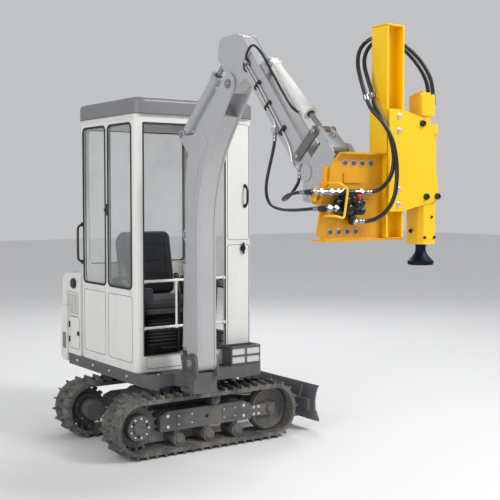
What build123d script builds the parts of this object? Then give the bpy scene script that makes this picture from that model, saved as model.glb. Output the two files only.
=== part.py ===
from build123d import *
import math
import os

os.makedirs("parts", exist_ok=True)

# A post driver carried on the arm of a small tracked excavator. Millimetres.
# The origin is on the ground under the slewing axis, +X is the way the cab faces,
# +Y is to the operator's left and +Z is up. The upper works stand square across the tracks.

# Clearances
RUN = 0.4  # between a moving piece and the piece that carries it
SEAT = 0.3  # between curved or soft pieces that rest on each other
FIT = 0.3  # radial, between a pin and its bore

# Tracks
GAUGE = 750  # between the middles of the two tracks
BELT_WIDTH = 230
BELT_THICKNESS = 25
LUG_HEIGHT = 22
LUG_LENGTH = 26
LUG_PITCH = 69
WHEELBASE = 1040
WHEEL_RADIUS = 155  # to the inside of the belt
WHEEL_GAP = 1.0
WHEEL_Z = LUG_HEIGHT + BELT_THICKNESS + WHEEL_RADIUS

# Sprockets, idlers and rollers
SPROCKET_TEETH = 17
SPROCKET_ROOT = 132
SPROCKET_WIDTH = 44
MOTOR_RADIUS = 92
MOTOR_WIDTH = 150
IDLER_WIDTH = 70
ROLLER_RADIUS = 44
ROLLER_WIDTH = 150
ROLLER_SPREAD = 230
TOP_ROLLER_RADIUS = 32
AXLE_RADIUS = 17

# Track frames and the body between them
SIDE_WIDTH = 96
SIDE_LOW_Z = 150
SIDE_HIGH_Z = 282
SIDE_LENGTH = WHEELBASE - 2 * (WHEEL_RADIUS + 7)
CARBODY_LOW_Z = 190
CARBODY_HIGH_Z = 350
CARBODY_WIDTH = 420
ARM_WIDTH = 150
BELLY_LENGTH = 760
RING_RADIUS = 245
RING_LOW_Z = CARBODY_HIGH_Z
RING_HIGH_Z = 450
RING_FLANGE = 22

# Blade
BLADE_WIDTH = 980
BLADE_LOW_Z = 70
BLADE_HEIGHT = 262
BLADE_BACK_Y = 868
BLADE_PLATE = 10
BLADE_BOW = 46
BLADE_PIVOT_Y = 430
BLADE_PIVOT_Z = 235
BLADE_ARM_X = 165
BLADE_ARM_WIDTH = 44
BLADE_ARM_HEIGHT = 80
BLADE_PIN = 15
BLADE_CYL_BASE = (300, 315)
BLADE_CYL_EYE = (792, 262)
BLADE_EYE = 40
NOTCH_DEPTH = 80  # under the cylinder's pin
NOTCH_HALF_WIDTH = 42

# Upper frame, counterweight and hood
DECK_LOW_Z = RING_HIGH_Z + RUN
DECK_HIGH_Z = 530
DECK_FRONT_X = 430
DECK_EDGE = 5  # how far the deck stands out beside the cab
DECK_CORNER = 40
TAIL_RADIUS = 1000
DECK_TAIL_STEP = 12  # the deck's and the hood's tails end inside the counterweight's
HOOD_TAIL_STEP = 10
WEIGHT_DEPTH = 230
WEIGHT_EDGE = 15
WEIGHT_CHAMFER = 30
WEIGHT_LOW_Z = 470
WEIGHT_HIGH_Z = 880
HOOD_GAP = 6
HOOD_HIGH_Z = 1120
HOOD_WALL = 6
HOOD_TAIL_WALL = 60
HOOD_CROWN = 60
GRILLE_SLOTS = 7
GRILLE_SLOT = 14
GRILLE_PITCH = 26
GRILLE_LENGTH = 150
GRILLE_SETBACK = 134
GRILLE_Z = 900
ENGINE_GAP = 12
ENGINE_WIDTH = 520
ENGINE_HEIGHT = 330
ENGINE_Y = 20

# Cab
CAB_FRONT_X = 290
CAB_REAR_X = -560
CAB_HALF_WIDTH = 460
CAB_TOP_Z = 2230
CAB_CORNER = 40
FLOOR = 24
ROOF_HEIGHT = 110
ROOF_OVERHANG = 26
ROOF_SIDE = 8
ROOF_CORNER = 70
ROOF_EDGE = 34
POST = 58  # section of the cab's posts
MULLION = 41  # bar between the two right windows
MULLION_X = -150
SHEET = 22  # thickness of the cab's lower side sheets
WAIST_Z = 1080
BACK_WAIST_RISE = 120
WINDOW_CORNER = 36
SILL_Z = 640
CORNER_PANEL_WIDTH = 225
DOOR_FRONT_X = 150
DOOR_REAR_X = -400
DOOR_SILL = 60
DOOR_LAP = 26  # how far the door laps over its opening
DOOR_OPENING_CORNER = 30
DOOR_THICKNESS = 34
DOOR_CORNER = 40
DOOR_FOOT_GAP = 4
DOOR_FRAME = 46
DOOR_KICK = 90  # height of the closed part under the door's lower window
DOOR_RAIL = 60  # height of the rail between its windows
DOOR_WINDOW_CORNER = 30
HINGE_RADIUS = 11
HINGE_HEIGHT = 80
HINGE_INSET = 160
HINGE_OUT = 22
HINGE_LUG = 22
HINGE_LEAF = 70
HANDLE_WIDTH = 26
HANDLE_HEIGHT = 120
HANDLE_DEPTH = 18
GLASS = 6
GUARD_BAR = 9
GUARD_UPRIGHT = 7
GUARD_UPRIGHT_Y = -150
GUARD_BAR_Z = (820, 1130)

# Seat, consoles and pedals
SEAT_X = -240
SEAT_BASE_LENGTH = 400
SEAT_BASE_HEIGHT = 330
SEAT_SIDE_GAP = 23
SEAT_BASE_INSET = 15
SEAT_EDGE = 18
BACKREST_HEIGHT = 450
CONSOLE_WIDTH = 124
CONSOLE_GAP = 66
CONSOLE_FRONT_X = -20
CONSOLE_REAR_X = -400
CONSOLE_HEIGHT = 560
STALK_SETBACK = 40
STALK_RADIUS = 34
STALK_NECK = 14
STALK_HEIGHT = 70
GRIP_HEIGHT = 120
GRIP_LENGTH = 24
GRIP_WIDTH = 19
PEDAL_X = 150
PEDAL_SPACING = 140
PEDAL_LENGTH = 110
PEDAL_WIDTH = 90
PEDAL_HEIGHT = 46
LEVER_HEIGHT = 590
LEVER_WIDTH = 16

# Step box before the cab
STEP_DEPTH = 120
STEP_WIDTH = 250
STEP_HEIGHT = 130
STEP_INSET = 5
STEP_CORNER = 12
PANEL_GAP = 16
PANEL_RECESS = 6

# Swing post and boom
BOOM_Y = -150
SWING_X = 500
SWING_PIN = 26
NOSE_RADIUS = 72
NOSE_FLARE = 58  # how much wider the nose is where it leaves the deck
POST_PLATE = 26
POST_NOSE = 4
POST_SHOULDER = 20
POST_TOE = 40
POST_WEB = 70
FOOT = (610, 622)
FOOT_PIN = 22
FOOT_BOSS = 62
FOOT_BOSS_HEIGHT = 6
PIN_HEAD = 8
BOOM_WIDTH = 140
BOOM_WALL = 12
FLANGE_INSET = 5  # how deep the boom's and stick's edge plates lie between their side plates
BOOM_BACK = 91  # from the foot's pin back to the boom's straight back
BOOM_BELLY = 54
BOOM_HEEL = 138
BOOM_HEEL_STEP = 5
BOOM_HEEL_BEND = 500
BOOM_BACK_BEND = 600
BOOM_BELLY_BEND = 1000
BOOM_BACK_SLOPE = 42  # degrees over level, above the bend
BOOM_BELLY_SLOPE = 52
BOOM_TIP = 62
EAR = 16
CYL_EYE = 50
CYL_PIN = 17
CYL_BOSS = 15
BOOM_CYL_BASE = (432, 655)
BOOM_CYL_EYE = (462, 1440)
ARM_CYL_BASE = (424, 2092)
ARM_CYL_EYE = (930, 2545)
STICK_PIVOT = (1026, 2365)
STICK_PIN = 20
FORK_DEPTH = 205

# Stick and its linkage
STICK_WIDTH = 104
STICK_WALL = 10
STICK_END = (1802, 1820)
STICK_TIP = 56
STICK_BOSS = 62
STICK_BACK_SLOPE = 48.3  # degrees under level
HORN_HEIGHT = 107
KNUCKLE_BEND = 120
HORN_BEND = 45
HEEL_BEND = 60
KNUCKLE_HOLE = (1205, 2455)
KNUCKLE_HOLE_RADIUS = 34
KNUCKLE_RING = 7
KNUCKLE_RING_HEIGHT = 5
TILT_EYE = 44
TILT_CYL_BASE = (1385, 2452)
TILT_CYL_EYE = (1850, 2040)
ROCKER_FOOT = (1700, 1910)
ROCKER_BAR = 12
ROCKER_RADIUS = 28
LINK_RADIUS = 27
HITCH_PIN = (1955, 1945)
LINK_PIN = 15
HITCH_PIN_RADIUS = 18
HITCH_PLATE = 12
HITCH_CORNER = 12
HITCH_BOSS = 46
HITCH_BOSS_HEIGHT = 6
EYE_ROOM = 53  # what a rod's eye may wander at its opened pin
ROD_ROOM_END = (912, 2440)
ROD_ROOM_RADIUS = 26
NECK_LENGTH = 46  # from a cylinder's base pin to its tube
CYL_WALL = 7
GLAND_EDGE = 5
GLAND_LENGTH = 44
PORT_RADIUS = 9
PORT_SETBACK = 22
PISTON_LENGTH = 34
ROD_SHARE = 0.56  # the rod's radius as a share of its bore

# Post driver's ears, bracket and mast
HITCH_LOW_PIN = (1800, 1690)
HITCH_HIGH_PIN = (1996, 1800)
EAR_SPREAD = 38
EAR_PLATE = 16
FOOT_PLATE = (-176, 1690)
FOOT_PLATE_SIZE = (330, 300)
MAST_X = 2077
MAST_Y = 100
MAST_SIZE = 120
MAST_FLANGE = 11
MAST_WEB = 6.5
MAST_LOW_Z = 1473
MAST_HIGH_Z = 2580
MAST_CAP = 8
CLIP_Z = 2205
CLIP_HEIGHT = 34
CLIP_WIDTH = 22
BRACKET_PLATE = 12
BRACKET_PLATE_X = 2090
BRACKET_HIGH_Z = 1917
BRACKET_LEFT_Y = 40
BRACKET_FLANGE = 12
BRACKET_FLANGE_WIDTH = 280
BRACKET_TOE = 363
BRACKET_BOLT = 10
BRACKET_BOLT_PITCH = 57
BRACKET_ROWS = ((-128, 1862), (-226, 1510))  # y and z of the middle of each row
RIB_WIDTH = 8

# Valve
VALVE_PLACE = (-205, 1640)
VALVE_SIZE = (120, 84)
VALVE_DEPTH = 58
VALVE_LINE = 30  # from the bracket's plate to the middle of the couplings
COUPLING = 14
SPOOL_RADIUS = 19
SPOOL_SPREAD = 40
SPOOL_CAP = 14
SPOOL_RISE = 12
PLUG_RADIUS = 9
LOW_COUPLING = 15
LINE_LOW_Y = -470
LINE_HIGH_Y = -110
LINE_Z = 1712
LOW_LINE_Z = 1630
ELBOW_DEPTH = 30
OUTLET_Y = -196
OUTLET_Z = 1562
OUTLET_LENGTH = 36
GUARD_WIRE = 6
GUARD_OUT = 90

# Carriage and hammer
CARRIAGE_PLATE = 12
CARRIAGE_GAP = 5
PAD_HEIGHT = 96
PAD_Z = (1640, 2026)
HAMMER_Y = 350
HAMMER_SIZE = 2 * CARRIAGE_GAP + MAST_SIZE
HOUSING_LOW_Z = 1433
HOUSING_HIGH_Z = 1860
HOUSING_CHAMFER = 22
RETAINER = 13
RETAINER_Z = 1504
RETAINER_OUT = 8
TIE_ROD = 9
TIE_ROD_SPREAD = 96
HAMMER_TUBE = 38
COLLAR_LOW_Z = 2030
COLLAR_HEIGHT = 50
COLLAR_CORNER = 14
HEAD_NECK_HEIGHT = 46
HEAD_HIGH_Z = 2236
HEAD_SIZE = 104
HEAD_CORNER = 12
HEAD_STEP_SIZE = 72
HEAD_STEP_HEIGHT = 16
STUD_RADIUS = 15
STUD_HEIGHT = 12
CAP_NECK = 30
CAP_LOW_Z = 1318
CAP_RADIUS = 71
CAP_LIP = 22
CAP_BORE = 62
CAP_DEPTH = 24
CAP_CROWN = 42

# Hoses
HOSE = 22
SUPPLY_HOSE = 18
HOSE_END = 0.5  # between a hose and its fitting
HOSE_BLOCKS = [(1500, 2060), (1730, 1850)]  # x and z on the stick's right side
HOSE_BLOCK_SIZE = (34, 30)
HOSE_BLOCK_DEPTH = 30
HEAD_PORT_X = (2084, 2050)
HEAD_PORT_Y = 426
HEAD_PORT_Z = 2180
HEAD_PORT = 10
HEAD_ELBOW = 12


def rounded_path(points, name):
    """The route as straight runs joined by arcs as large as the runs beside them allow."""
    radii = []
    for before, here, after in zip(points, points[1:], points[2:]):
        a = Vector(*here) - Vector(*before)
        b = Vector(*after) - Vector(*here)
        half_turn = math.radians(a.get_angle(b)) / 2
        radii.append(0.45 * min(a.length, b.length) / math.tan(half_turn))
    print(name, "radii", [round(radius) for radius in radii])
    return FilletPolyline(*points, radius=radii)


def side_plane(y):
    """The upright plane along the machine at this distance to the left; it faces right."""
    return Plane.XZ.offset(-y)


def on_circle(centre, radius, degrees):
    """The point of a circle at this angle from its right-hand side."""
    turn = math.radians(degrees)
    return (centre[0] + radius * math.cos(turn), centre[1] + radius * math.sin(turn))


def drop(point, slope, x):
    """Where a line through this point, so many degrees over level, passes x."""
    return (x, point[1] - math.tan(math.radians(slope)) * (point[0] - x))


def slot_between(start, end, radius):
    """Draws a bar with rounded ends from start to end on the sketch's plane."""
    with Locations(((start[0] + end[0]) / 2, (start[1] + end[1]) / 2)):
        SlotCenterToCenter(
            math.dist(start, end),
            2 * radius,
            rotation=math.degrees(math.atan2(end[1] - start[1], end[0] - start[0])),
        )


def write(name, part):
    """Labels a finished piece and writes it."""
    part.label = name
    export_step(part, f"parts/{name}.step")


# Tracks: a belt with its lugs in two staggered rows, as one loop along Y

loop_length = 2 * WHEELBASE + 2 * math.pi * (WHEEL_RADIUS + BELT_THICKNESS)
lug_count = round(loop_length / LUG_PITCH)
lug_step = loop_length / lug_count


def lug_places(phase):
    """Where the lugs stand on the outside of the loop: y, z and the turn of each."""
    radius = WHEEL_RADIUS + BELT_THICKNESS
    bend = math.pi * radius
    places = []
    for index in range(lug_count):
        s = ((index + phase) * lug_step) % loop_length
        if s < WHEELBASE:
            places.append((s - WHEELBASE / 2, -radius, 180))
        elif s < WHEELBASE + bend:
            turn = (s - WHEELBASE) / radius
            y = WHEELBASE / 2 + radius * math.sin(turn)
            places.append((y, -radius * math.cos(turn), 180 + math.degrees(turn)))
        elif s < 2 * WHEELBASE + bend:
            places.append((WHEELBASE / 2 - (s - WHEELBASE - bend), radius, 0))
        else:
            turn = (s - 2 * WHEELBASE - bend) / radius
            y = -WHEELBASE / 2 - radius * math.sin(turn)
            places.append((y, radius * math.cos(turn), math.degrees(turn)))
    return places


# columns: side, sign of x
TRACKS = [("right", 1), ("left", -1)]

for side, sign in TRACKS:
    with BuildPart() as track:
        # columns: x where the row of lugs starts, phase of its lugs
        for row_x, phase in ((-BELT_WIDTH / 2, 0.0), (0, 0.5)):
            with BuildSketch(Plane.YZ.offset(sign * GAUGE / 2 + row_x)) as loop:
                with Locations((0, WHEEL_Z)):
                    SlotCenterToCenter(WHEELBASE, 2 * (WHEEL_RADIUS + BELT_THICKNESS))
                for y, z, turn in lug_places(phase):
                    with Locations(Location((y, z + WHEEL_Z), turn)):
                        Trapezoid(LUG_LENGTH, 2 * LUG_HEIGHT, 78)
                with Locations((0, WHEEL_Z)):
                    SlotCenterToCenter(WHEELBASE, 2 * WHEEL_RADIUS, mode=Mode.SUBTRACT)
            extrude(amount=BELT_WIDTH / 2)
    write(f"track_{side}", track.part)

# Undercarriage: a box beam inside each track, the body between them and its arms

with BuildPart() as undercarriage:
    for _, sign in TRACKS:
        with BuildSketch(Plane.YZ.offset(sign * GAUGE / 2)) as beam:
            with BuildLine():
                Polyline(
                    (-SIDE_LENGTH / 2, SIDE_LOW_Z),
                    (SIDE_LENGTH / 2, SIDE_LOW_Z),
                    (SIDE_LENGTH / 2, SIDE_HIGH_Z - 24),
                    (SIDE_LENGTH / 2 - 60, SIDE_HIGH_Z),
                    (-SIDE_LENGTH / 2 + 60, SIDE_HIGH_Z),
                    (-SIDE_LENGTH / 2, SIDE_HIGH_Z - 24),
                    close=True,
                )
            make_face()
        extrude(amount=SIDE_WIDTH / 2, both=True)
        # the fork that holds the idler at the blade's end
        for fork_sign in (1, -1):
            fork_x = sign * GAUGE / 2 + fork_sign * (IDLER_WIDTH / 2 + WHEEL_GAP + 6)
            with BuildSketch(Plane.YZ.offset(fork_x)) as fork:
                with BuildLine():
                    Polyline(
                        (SIDE_LENGTH / 2 - 30, WHEEL_Z - 40),
                        (WHEELBASE / 2 + 42, WHEEL_Z - 40),
                        (WHEELBASE / 2 + 42, WHEEL_Z + 40),
                        (SIDE_LENGTH / 2 - 30, WHEEL_Z + 40),
                        close=True,
                    )
                make_face()
                with Locations((WHEELBASE / 2, WHEEL_Z)):
                    Circle(AXLE_RADIUS, mode=Mode.SUBTRACT)
            extrude(amount=6, both=True)
        # the motor's mounting plate at the other end
        plate_x = sign * (GAUGE / 2 - SPROCKET_WIDTH / 2 - WHEEL_GAP)
        with BuildSketch(Plane.YZ.offset(plate_x - sign * 8)) as motor_plate:
            with Locations((-WHEELBASE / 2, WHEEL_Z)):
                Circle(MOTOR_RADIUS + 8)
                Circle(MOTOR_RADIUS - 22, mode=Mode.SUBTRACT)
            with BuildLine():
                Polyline(
                    (-WHEELBASE / 2 + 70, WHEEL_Z - 52),
                    (-SIDE_LENGTH / 2 + 20, WHEEL_Z - 52),
                    (-SIDE_LENGTH / 2 + 20, WHEEL_Z + 52),
                    (-WHEELBASE / 2 + 70, WHEEL_Z + 52),
                    close=True,
                )
            make_face()
        extrude(amount=8, both=True)
    # the four arms run from the beams to the middle
    with BuildSketch(Plane.XY.offset(CARBODY_LOW_Z)) as arms:
        Rectangle(CARBODY_WIDTH, BELLY_LENGTH)
        for arm_sign in (1, -1):
            with Locations((0, arm_sign * (BELLY_LENGTH / 2 - ARM_WIDTH))):
                Rectangle(GAUGE - SIDE_WIDTH + 20, ARM_WIDTH)
    extrude(amount=SIDE_HIGH_Z - CARBODY_LOW_Z - 12)
    with BuildSketch(Plane.XY.offset(SIDE_HIGH_Z - 12)) as crown_low:
        Rectangle(CARBODY_WIDTH, BELLY_LENGTH)
    with BuildSketch(Plane.XY.offset(CARBODY_HIGH_Z)) as crown_high:
        Rectangle(CARBODY_WIDTH - 30, 2 * RING_RADIUS + 20)
    loft()
    # ears for the blade's arms and for its cylinder
    for sign in (1, -1):
        for ear_sign in (1, -1):
            ear_x = sign * BLADE_ARM_X + ear_sign * (BLADE_ARM_WIDTH / 2 + RUN + EAR / 2)
            with BuildSketch(Plane.YZ.offset(ear_x)) as blade_ear:
                with BuildLine():
                    Polyline(
                        (BELLY_LENGTH / 2 - 20, CARBODY_LOW_Z),
                        (BLADE_PIVOT_Y, BLADE_PIVOT_Z - 38),
                        (BLADE_PIVOT_Y + 38, BLADE_PIVOT_Z),
                        (BLADE_PIVOT_Y, BLADE_PIVOT_Z + 38),
                        (BELLY_LENGTH / 2 - 20, SIDE_HIGH_Z),
                        close=True,
                    )
                make_face()
            extrude(amount=EAR / 2, both=True)
        with BuildSketch(Plane.YZ.offset(sign * BLADE_ARM_X)) as blade_pin:
            with Locations((BLADE_PIVOT_Y, BLADE_PIVOT_Z)):
                Circle(BLADE_PIN)
        extrude(amount=BLADE_ARM_WIDTH / 2 + RUN + EAR + 6, both=True)
        with BuildSketch(Plane.YZ.offset(sign * (BLADE_EYE / 2 + RUN + EAR / 2))) as cylinder_ear:
            with BuildLine():
                Polyline(
                    (BLADE_CYL_BASE[0] - 50, SIDE_HIGH_Z - 20),
                    (BLADE_CYL_BASE[0] + 32, SIDE_HIGH_Z - 20),
                    (BLADE_CYL_BASE[0] + 32, BLADE_CYL_BASE[1]),
                    (BLADE_CYL_BASE[0] - 20, BLADE_CYL_BASE[1] + 26),
                    close=True,
                )
            make_face()
            with Locations(BLADE_CYL_BASE):
                Circle(LINK_PIN + 15)
        extrude(amount=EAR / 2, both=True)
    # a notch in the crown leaves room for the blade's cylinder, wider beyond its ears
    # columns: y where it starts, half width
    notch_low_z = BLADE_CYL_BASE[1] - NOTCH_DEPTH
    notch_high_z = CARBODY_HIGH_Z + 40
    for notch_y, half_width in (
        (BLADE_CYL_BASE[0] - 60, BLADE_EYE / 2 + RUN),
        (BLADE_CYL_BASE[0] + 34, NOTCH_HALF_WIDTH),
    ):
        with BuildSketch(Plane.YZ) as notch:
            with Locations((notch_y + 100, (notch_low_z + notch_high_z) / 2)):
                Rectangle(200, notch_high_z - notch_low_z)
        extrude(amount=half_width, both=True, mode=Mode.SUBTRACT)
    with BuildSketch(Plane.YZ) as base_pin:
        with Locations(BLADE_CYL_BASE):
            Circle(LINK_PIN)
    extrude(amount=BLADE_EYE / 2 + RUN + EAR + 5, both=True)
write("undercarriage", undercarriage.part)

with BuildPart() as sprockets:
    for _, sign in TRACKS:
        centre = (-WHEELBASE / 2, WHEEL_Z)
        with BuildSketch(Plane.YZ.offset(sign * GAUGE / 2)) as teeth:
            with Locations(centre):
                Circle(SPROCKET_ROOT)
                with PolarLocations(SPROCKET_ROOT, SPROCKET_TEETH, start_angle=-90):
                    Rectangle(2 * (WHEEL_RADIUS - WHEEL_GAP - SPROCKET_ROOT), 16)
        extrude(amount=SPROCKET_WIDTH / 2, both=True)
        with BuildSketch(Plane.YZ.offset(sign * (GAUGE / 2 + SPROCKET_WIDTH / 2))) as hub:
            with Locations(centre):
                Circle(MOTOR_RADIUS)
        extrude(amount=sign * 46, taper=12)
        motor_x = sign * (GAUGE / 2 - SPROCKET_WIDTH / 2)
        with BuildSketch(Plane.YZ.offset(motor_x)) as motor:
            with Locations(centre):
                Circle(MOTOR_RADIUS - 22 - SEAT)
        extrude(amount=-sign * MOTOR_WIDTH)
write("sprockets", sprockets.part)

with BuildPart() as idlers:
    for _, sign in TRACKS:
        rim = WHEEL_RADIUS - WHEEL_GAP
        with BuildSketch(Plane.XY.offset(WHEEL_Z)) as idler_profile:
            with BuildLine():
                Polyline(
                    (sign * GAUGE / 2 - IDLER_WIDTH / 2, WHEELBASE / 2),
                    (sign * GAUGE / 2 + IDLER_WIDTH / 2, WHEELBASE / 2),
                    (sign * GAUGE / 2 + IDLER_WIDTH / 2, WHEELBASE / 2 + 46),
                    (sign * GAUGE / 2 + 14, WHEELBASE / 2 + 56),
                    (sign * GAUGE / 2 + 14, WHEELBASE / 2 + rim - 34),
                    (sign * GAUGE / 2 + IDLER_WIDTH / 2, WHEELBASE / 2 + rim - 26),
                    (sign * GAUGE / 2 + IDLER_WIDTH / 2, WHEELBASE / 2 + rim - 10),
                    (sign * GAUGE / 2 + 20, WHEELBASE / 2 + rim - 8),
                    (sign * GAUGE / 2 + 20, WHEELBASE / 2 + rim),
                    (sign * GAUGE / 2 - 20, WHEELBASE / 2 + rim),
                    (sign * GAUGE / 2 - 20, WHEELBASE / 2 + rim - 8),
                    (sign * GAUGE / 2 - IDLER_WIDTH / 2, WHEELBASE / 2 + rim - 10),
                    (sign * GAUGE / 2 - IDLER_WIDTH / 2, WHEELBASE / 2 + rim - 26),
                    (sign * GAUGE / 2 - 14, WHEELBASE / 2 + rim - 34),
                    (sign * GAUGE / 2 - 14, WHEELBASE / 2 + 56),
                    (sign * GAUGE / 2 - IDLER_WIDTH / 2, WHEELBASE / 2 + 46),
                    close=True,
                )
            make_face()
        revolve(axis=Axis((0, WHEELBASE / 2, WHEEL_Z), (1, 0, 0)))
        with BuildSketch(Plane.YZ.offset(sign * GAUGE / 2)) as axle:
            with Locations((WHEELBASE / 2, WHEEL_Z)):
                Circle(AXLE_RADIUS - SEAT)
        extrude(amount=IDLER_WIDTH / 2 + WHEEL_GAP + 20, both=True)
write("idlers", idlers.part)

with BuildPart() as rollers:
    roller_z = LUG_HEIGHT + BELT_THICKNESS + ROLLER_RADIUS + SEAT
    top_z = WHEEL_Z + WHEEL_RADIUS - TOP_ROLLER_RADIUS - SEAT
    # columns: y, z, radius
    places = [
        (-ROLLER_SPREAD, roller_z, ROLLER_RADIUS),
        (0, roller_z, ROLLER_RADIUS),
        (ROLLER_SPREAD, roller_z, ROLLER_RADIUS),
        (60, top_z, TOP_ROLLER_RADIUS),
    ]
    for _, sign in TRACKS:
        for y, z, radius in places:
            with BuildSketch(Plane.YZ.offset(sign * GAUGE / 2)) as waist:
                with Locations((y, z)):
                    Circle(radius - 8)
            extrude(amount=ROLLER_WIDTH / 2 - 30, both=True)
            for end_sign in (1, -1):
                with BuildSketch(
                    Plane.YZ.offset(sign * GAUGE / 2 + end_sign * (ROLLER_WIDTH / 2 - 18))
                ) as end:
                    with Locations((y, z)):
                        Circle(radius)
                extrude(amount=18, both=True)
            # the bracket that carries the roller from the beam
            low, high = sorted((z, (SIDE_LOW_Z if z < SIDE_LOW_Z else SIDE_HIGH_Z)))
            with BuildSketch(Plane.YZ.offset(sign * GAUGE / 2)) as strap:
                with Locations((y, (low + high) / 2)):
                    Rectangle(40, high - low)
            extrude(amount=SIDE_WIDTH / 2 - 8, both=True)
write("rollers", rollers.part)

with BuildPart() as slew_ring:
    with BuildSketch(Plane.XY.offset(RING_LOW_Z)) as ring_low:
        Circle(RING_RADIUS)
        Circle(RING_RADIUS - 70, mode=Mode.SUBTRACT)
    extrude(amount=RING_HIGH_Z - RING_LOW_Z)
    with BuildSketch(Plane.XY.offset(RING_HIGH_Z - RING_FLANGE)) as ring_high:
        Circle(RING_RADIUS + 14)
        Circle(RING_RADIUS - 70, mode=Mode.SUBTRACT)
    extrude(amount=RING_FLANGE)
write("slew_ring", slew_ring.part)

# Blade: a bowed plate, its back frame and two arms to the pivot

with BuildPart() as blade:
    with BuildSketch(Plane.YZ.offset(-BLADE_WIDTH / 2)) as blade_section:
        with BuildLine():
            low = (BLADE_BACK_Y + BLADE_BOW, BLADE_LOW_Z)
            high = (BLADE_BACK_Y + BLADE_BOW - 6, BLADE_LOW_Z + BLADE_HEIGHT)
            middle = (BLADE_BACK_Y + BLADE_PLATE, BLADE_LOW_Z + BLADE_HEIGHT * 0.52)
            ThreePointArc(low, middle, high)
            Line(high, (high[0] - BLADE_PLATE, high[1]))
            ThreePointArc(
                (high[0] - BLADE_PLATE, high[1]),
                (middle[0] - BLADE_PLATE, middle[1]),
                (low[0] - BLADE_PLATE - 4, low[1]),
            )
            Line((low[0] - BLADE_PLATE - 4, low[1]), low)
        make_face()
    extrude(amount=BLADE_WIDTH)
    # two ribs and a box across the back
    with BuildSketch(Plane.YZ.offset(-BLADE_WIDTH / 2 + 40)) as back_box:
        with Locations((BLADE_BACK_Y - 12, BLADE_LOW_Z + 120)):
            Rectangle(34, 84)
    extrude(amount=BLADE_WIDTH - 80)
    for sign in (1, -1):
        with BuildSketch(Plane.YZ.offset(sign * BLADE_ARM_X)) as arm:
            with BuildLine():
                Polyline(
                    (BLADE_PIVOT_Y, BLADE_PIVOT_Z - 32),
                    (BLADE_BACK_Y - 12, BLADE_LOW_Z + 62),
                    (BLADE_BACK_Y - 12, BLADE_LOW_Z + 62 + BLADE_ARM_HEIGHT),
                    (BLADE_PIVOT_Y, BLADE_PIVOT_Z + 32),
                    close=True,
                )
            make_face()
            with Locations((BLADE_PIVOT_Y, BLADE_PIVOT_Z)):
                Circle(32)
                Circle(BLADE_PIN + FIT, mode=Mode.SUBTRACT)
        extrude(amount=BLADE_ARM_WIDTH / 2, both=True)
        with BuildSketch(Plane.YZ.offset(sign * (BLADE_EYE / 2 + RUN + EAR / 2))) as eye_ear:
            with BuildLine():
                Polyline(
                    (BLADE_BACK_Y + 2, BLADE_LOW_Z + 90),
                    (BLADE_BACK_Y + 2, BLADE_LOW_Z + 236),
                    (BLADE_CYL_EYE[0], BLADE_CYL_EYE[1] + 32),
                    (BLADE_CYL_EYE[0] - 30, BLADE_CYL_EYE[1]),
                    (BLADE_CYL_EYE[0], BLADE_CYL_EYE[1] - 34),
                    close=True,
                )
            make_face()
        extrude(amount=EAR / 2, both=True)
write("blade", blade.part)


# Cylinders: a barrel with its eye, and a rod with its eye. Each lies in a plane along its arm.


def barrel(name, plane, base, eye, length, bore, eye_width, pin):
    """A cylinder's barrel from its base eye towards the rod's eye, on a plane with u and v."""
    span = math.dist(base, eye)
    u, v = (eye[0] - base[0]) / span, (eye[1] - base[1]) / span
    start = plane.from_local_coords(Vector(*base, 0))
    along = plane.from_local_coords(Vector(base[0] + u, base[1] + v, 0)) - start
    axis_plane = Plane(origin=start, x_dir=plane.z_dir, z_dir=along)
    outside = bore + CYL_WALL
    with BuildPart() as made:
        with BuildSketch(plane) as eye_disc:
            with Locations(base):
                Circle(pin + CYL_BOSS)
        extrude(amount=eye_width / 2, both=True)
        with BuildSketch(axis_plane) as neck_section:
            Rectangle(eye_width, 2 * pin + 10)
        extrude(amount=NECK_LENGTH)
        with BuildSketch(axis_plane.offset(NECK_LENGTH)) as tube:
            Circle(outside)
        extrude(amount=length - NECK_LENGTH)
        with BuildSketch(axis_plane.offset(length - GLAND_LENGTH)) as gland:
            Circle(outside + GLAND_EDGE)
        extrude(amount=GLAND_LENGTH)
        # the ports for oil, on the side away from the pin's arm
        for port_at in (NECK_LENGTH + PORT_SETBACK, length - GLAND_LENGTH - PORT_SETBACK):
            port_plane = Plane(
                origin=axis_plane.from_local_coords(Vector(0, 0, port_at)),
                x_dir=plane.z_dir,
                z_dir=axis_plane.y_dir,
            )
            with BuildSketch(port_plane) as port:
                Circle(PORT_RADIUS)
            extrude(amount=outside + PORT_RADIUS)
        with BuildSketch(axis_plane.offset(NECK_LENGTH + 10)) as room:
            Circle(bore)
        extrude(amount=length - NECK_LENGTH - 10 - GLAND_LENGTH + 4, mode=Mode.SUBTRACT)
        with BuildSketch(axis_plane.offset(length - GLAND_LENGTH - 16)) as mouth:
            Circle(bore * ROD_SHARE + FIT)
        extrude(amount=GLAND_LENGTH + 26, mode=Mode.SUBTRACT)
        with BuildSketch(plane) as pin_hole:
            with Locations(base):
                Circle(pin + FIT)
        extrude(amount=eye_width, both=True, mode=Mode.SUBTRACT)
    write(name, made.part)


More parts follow.
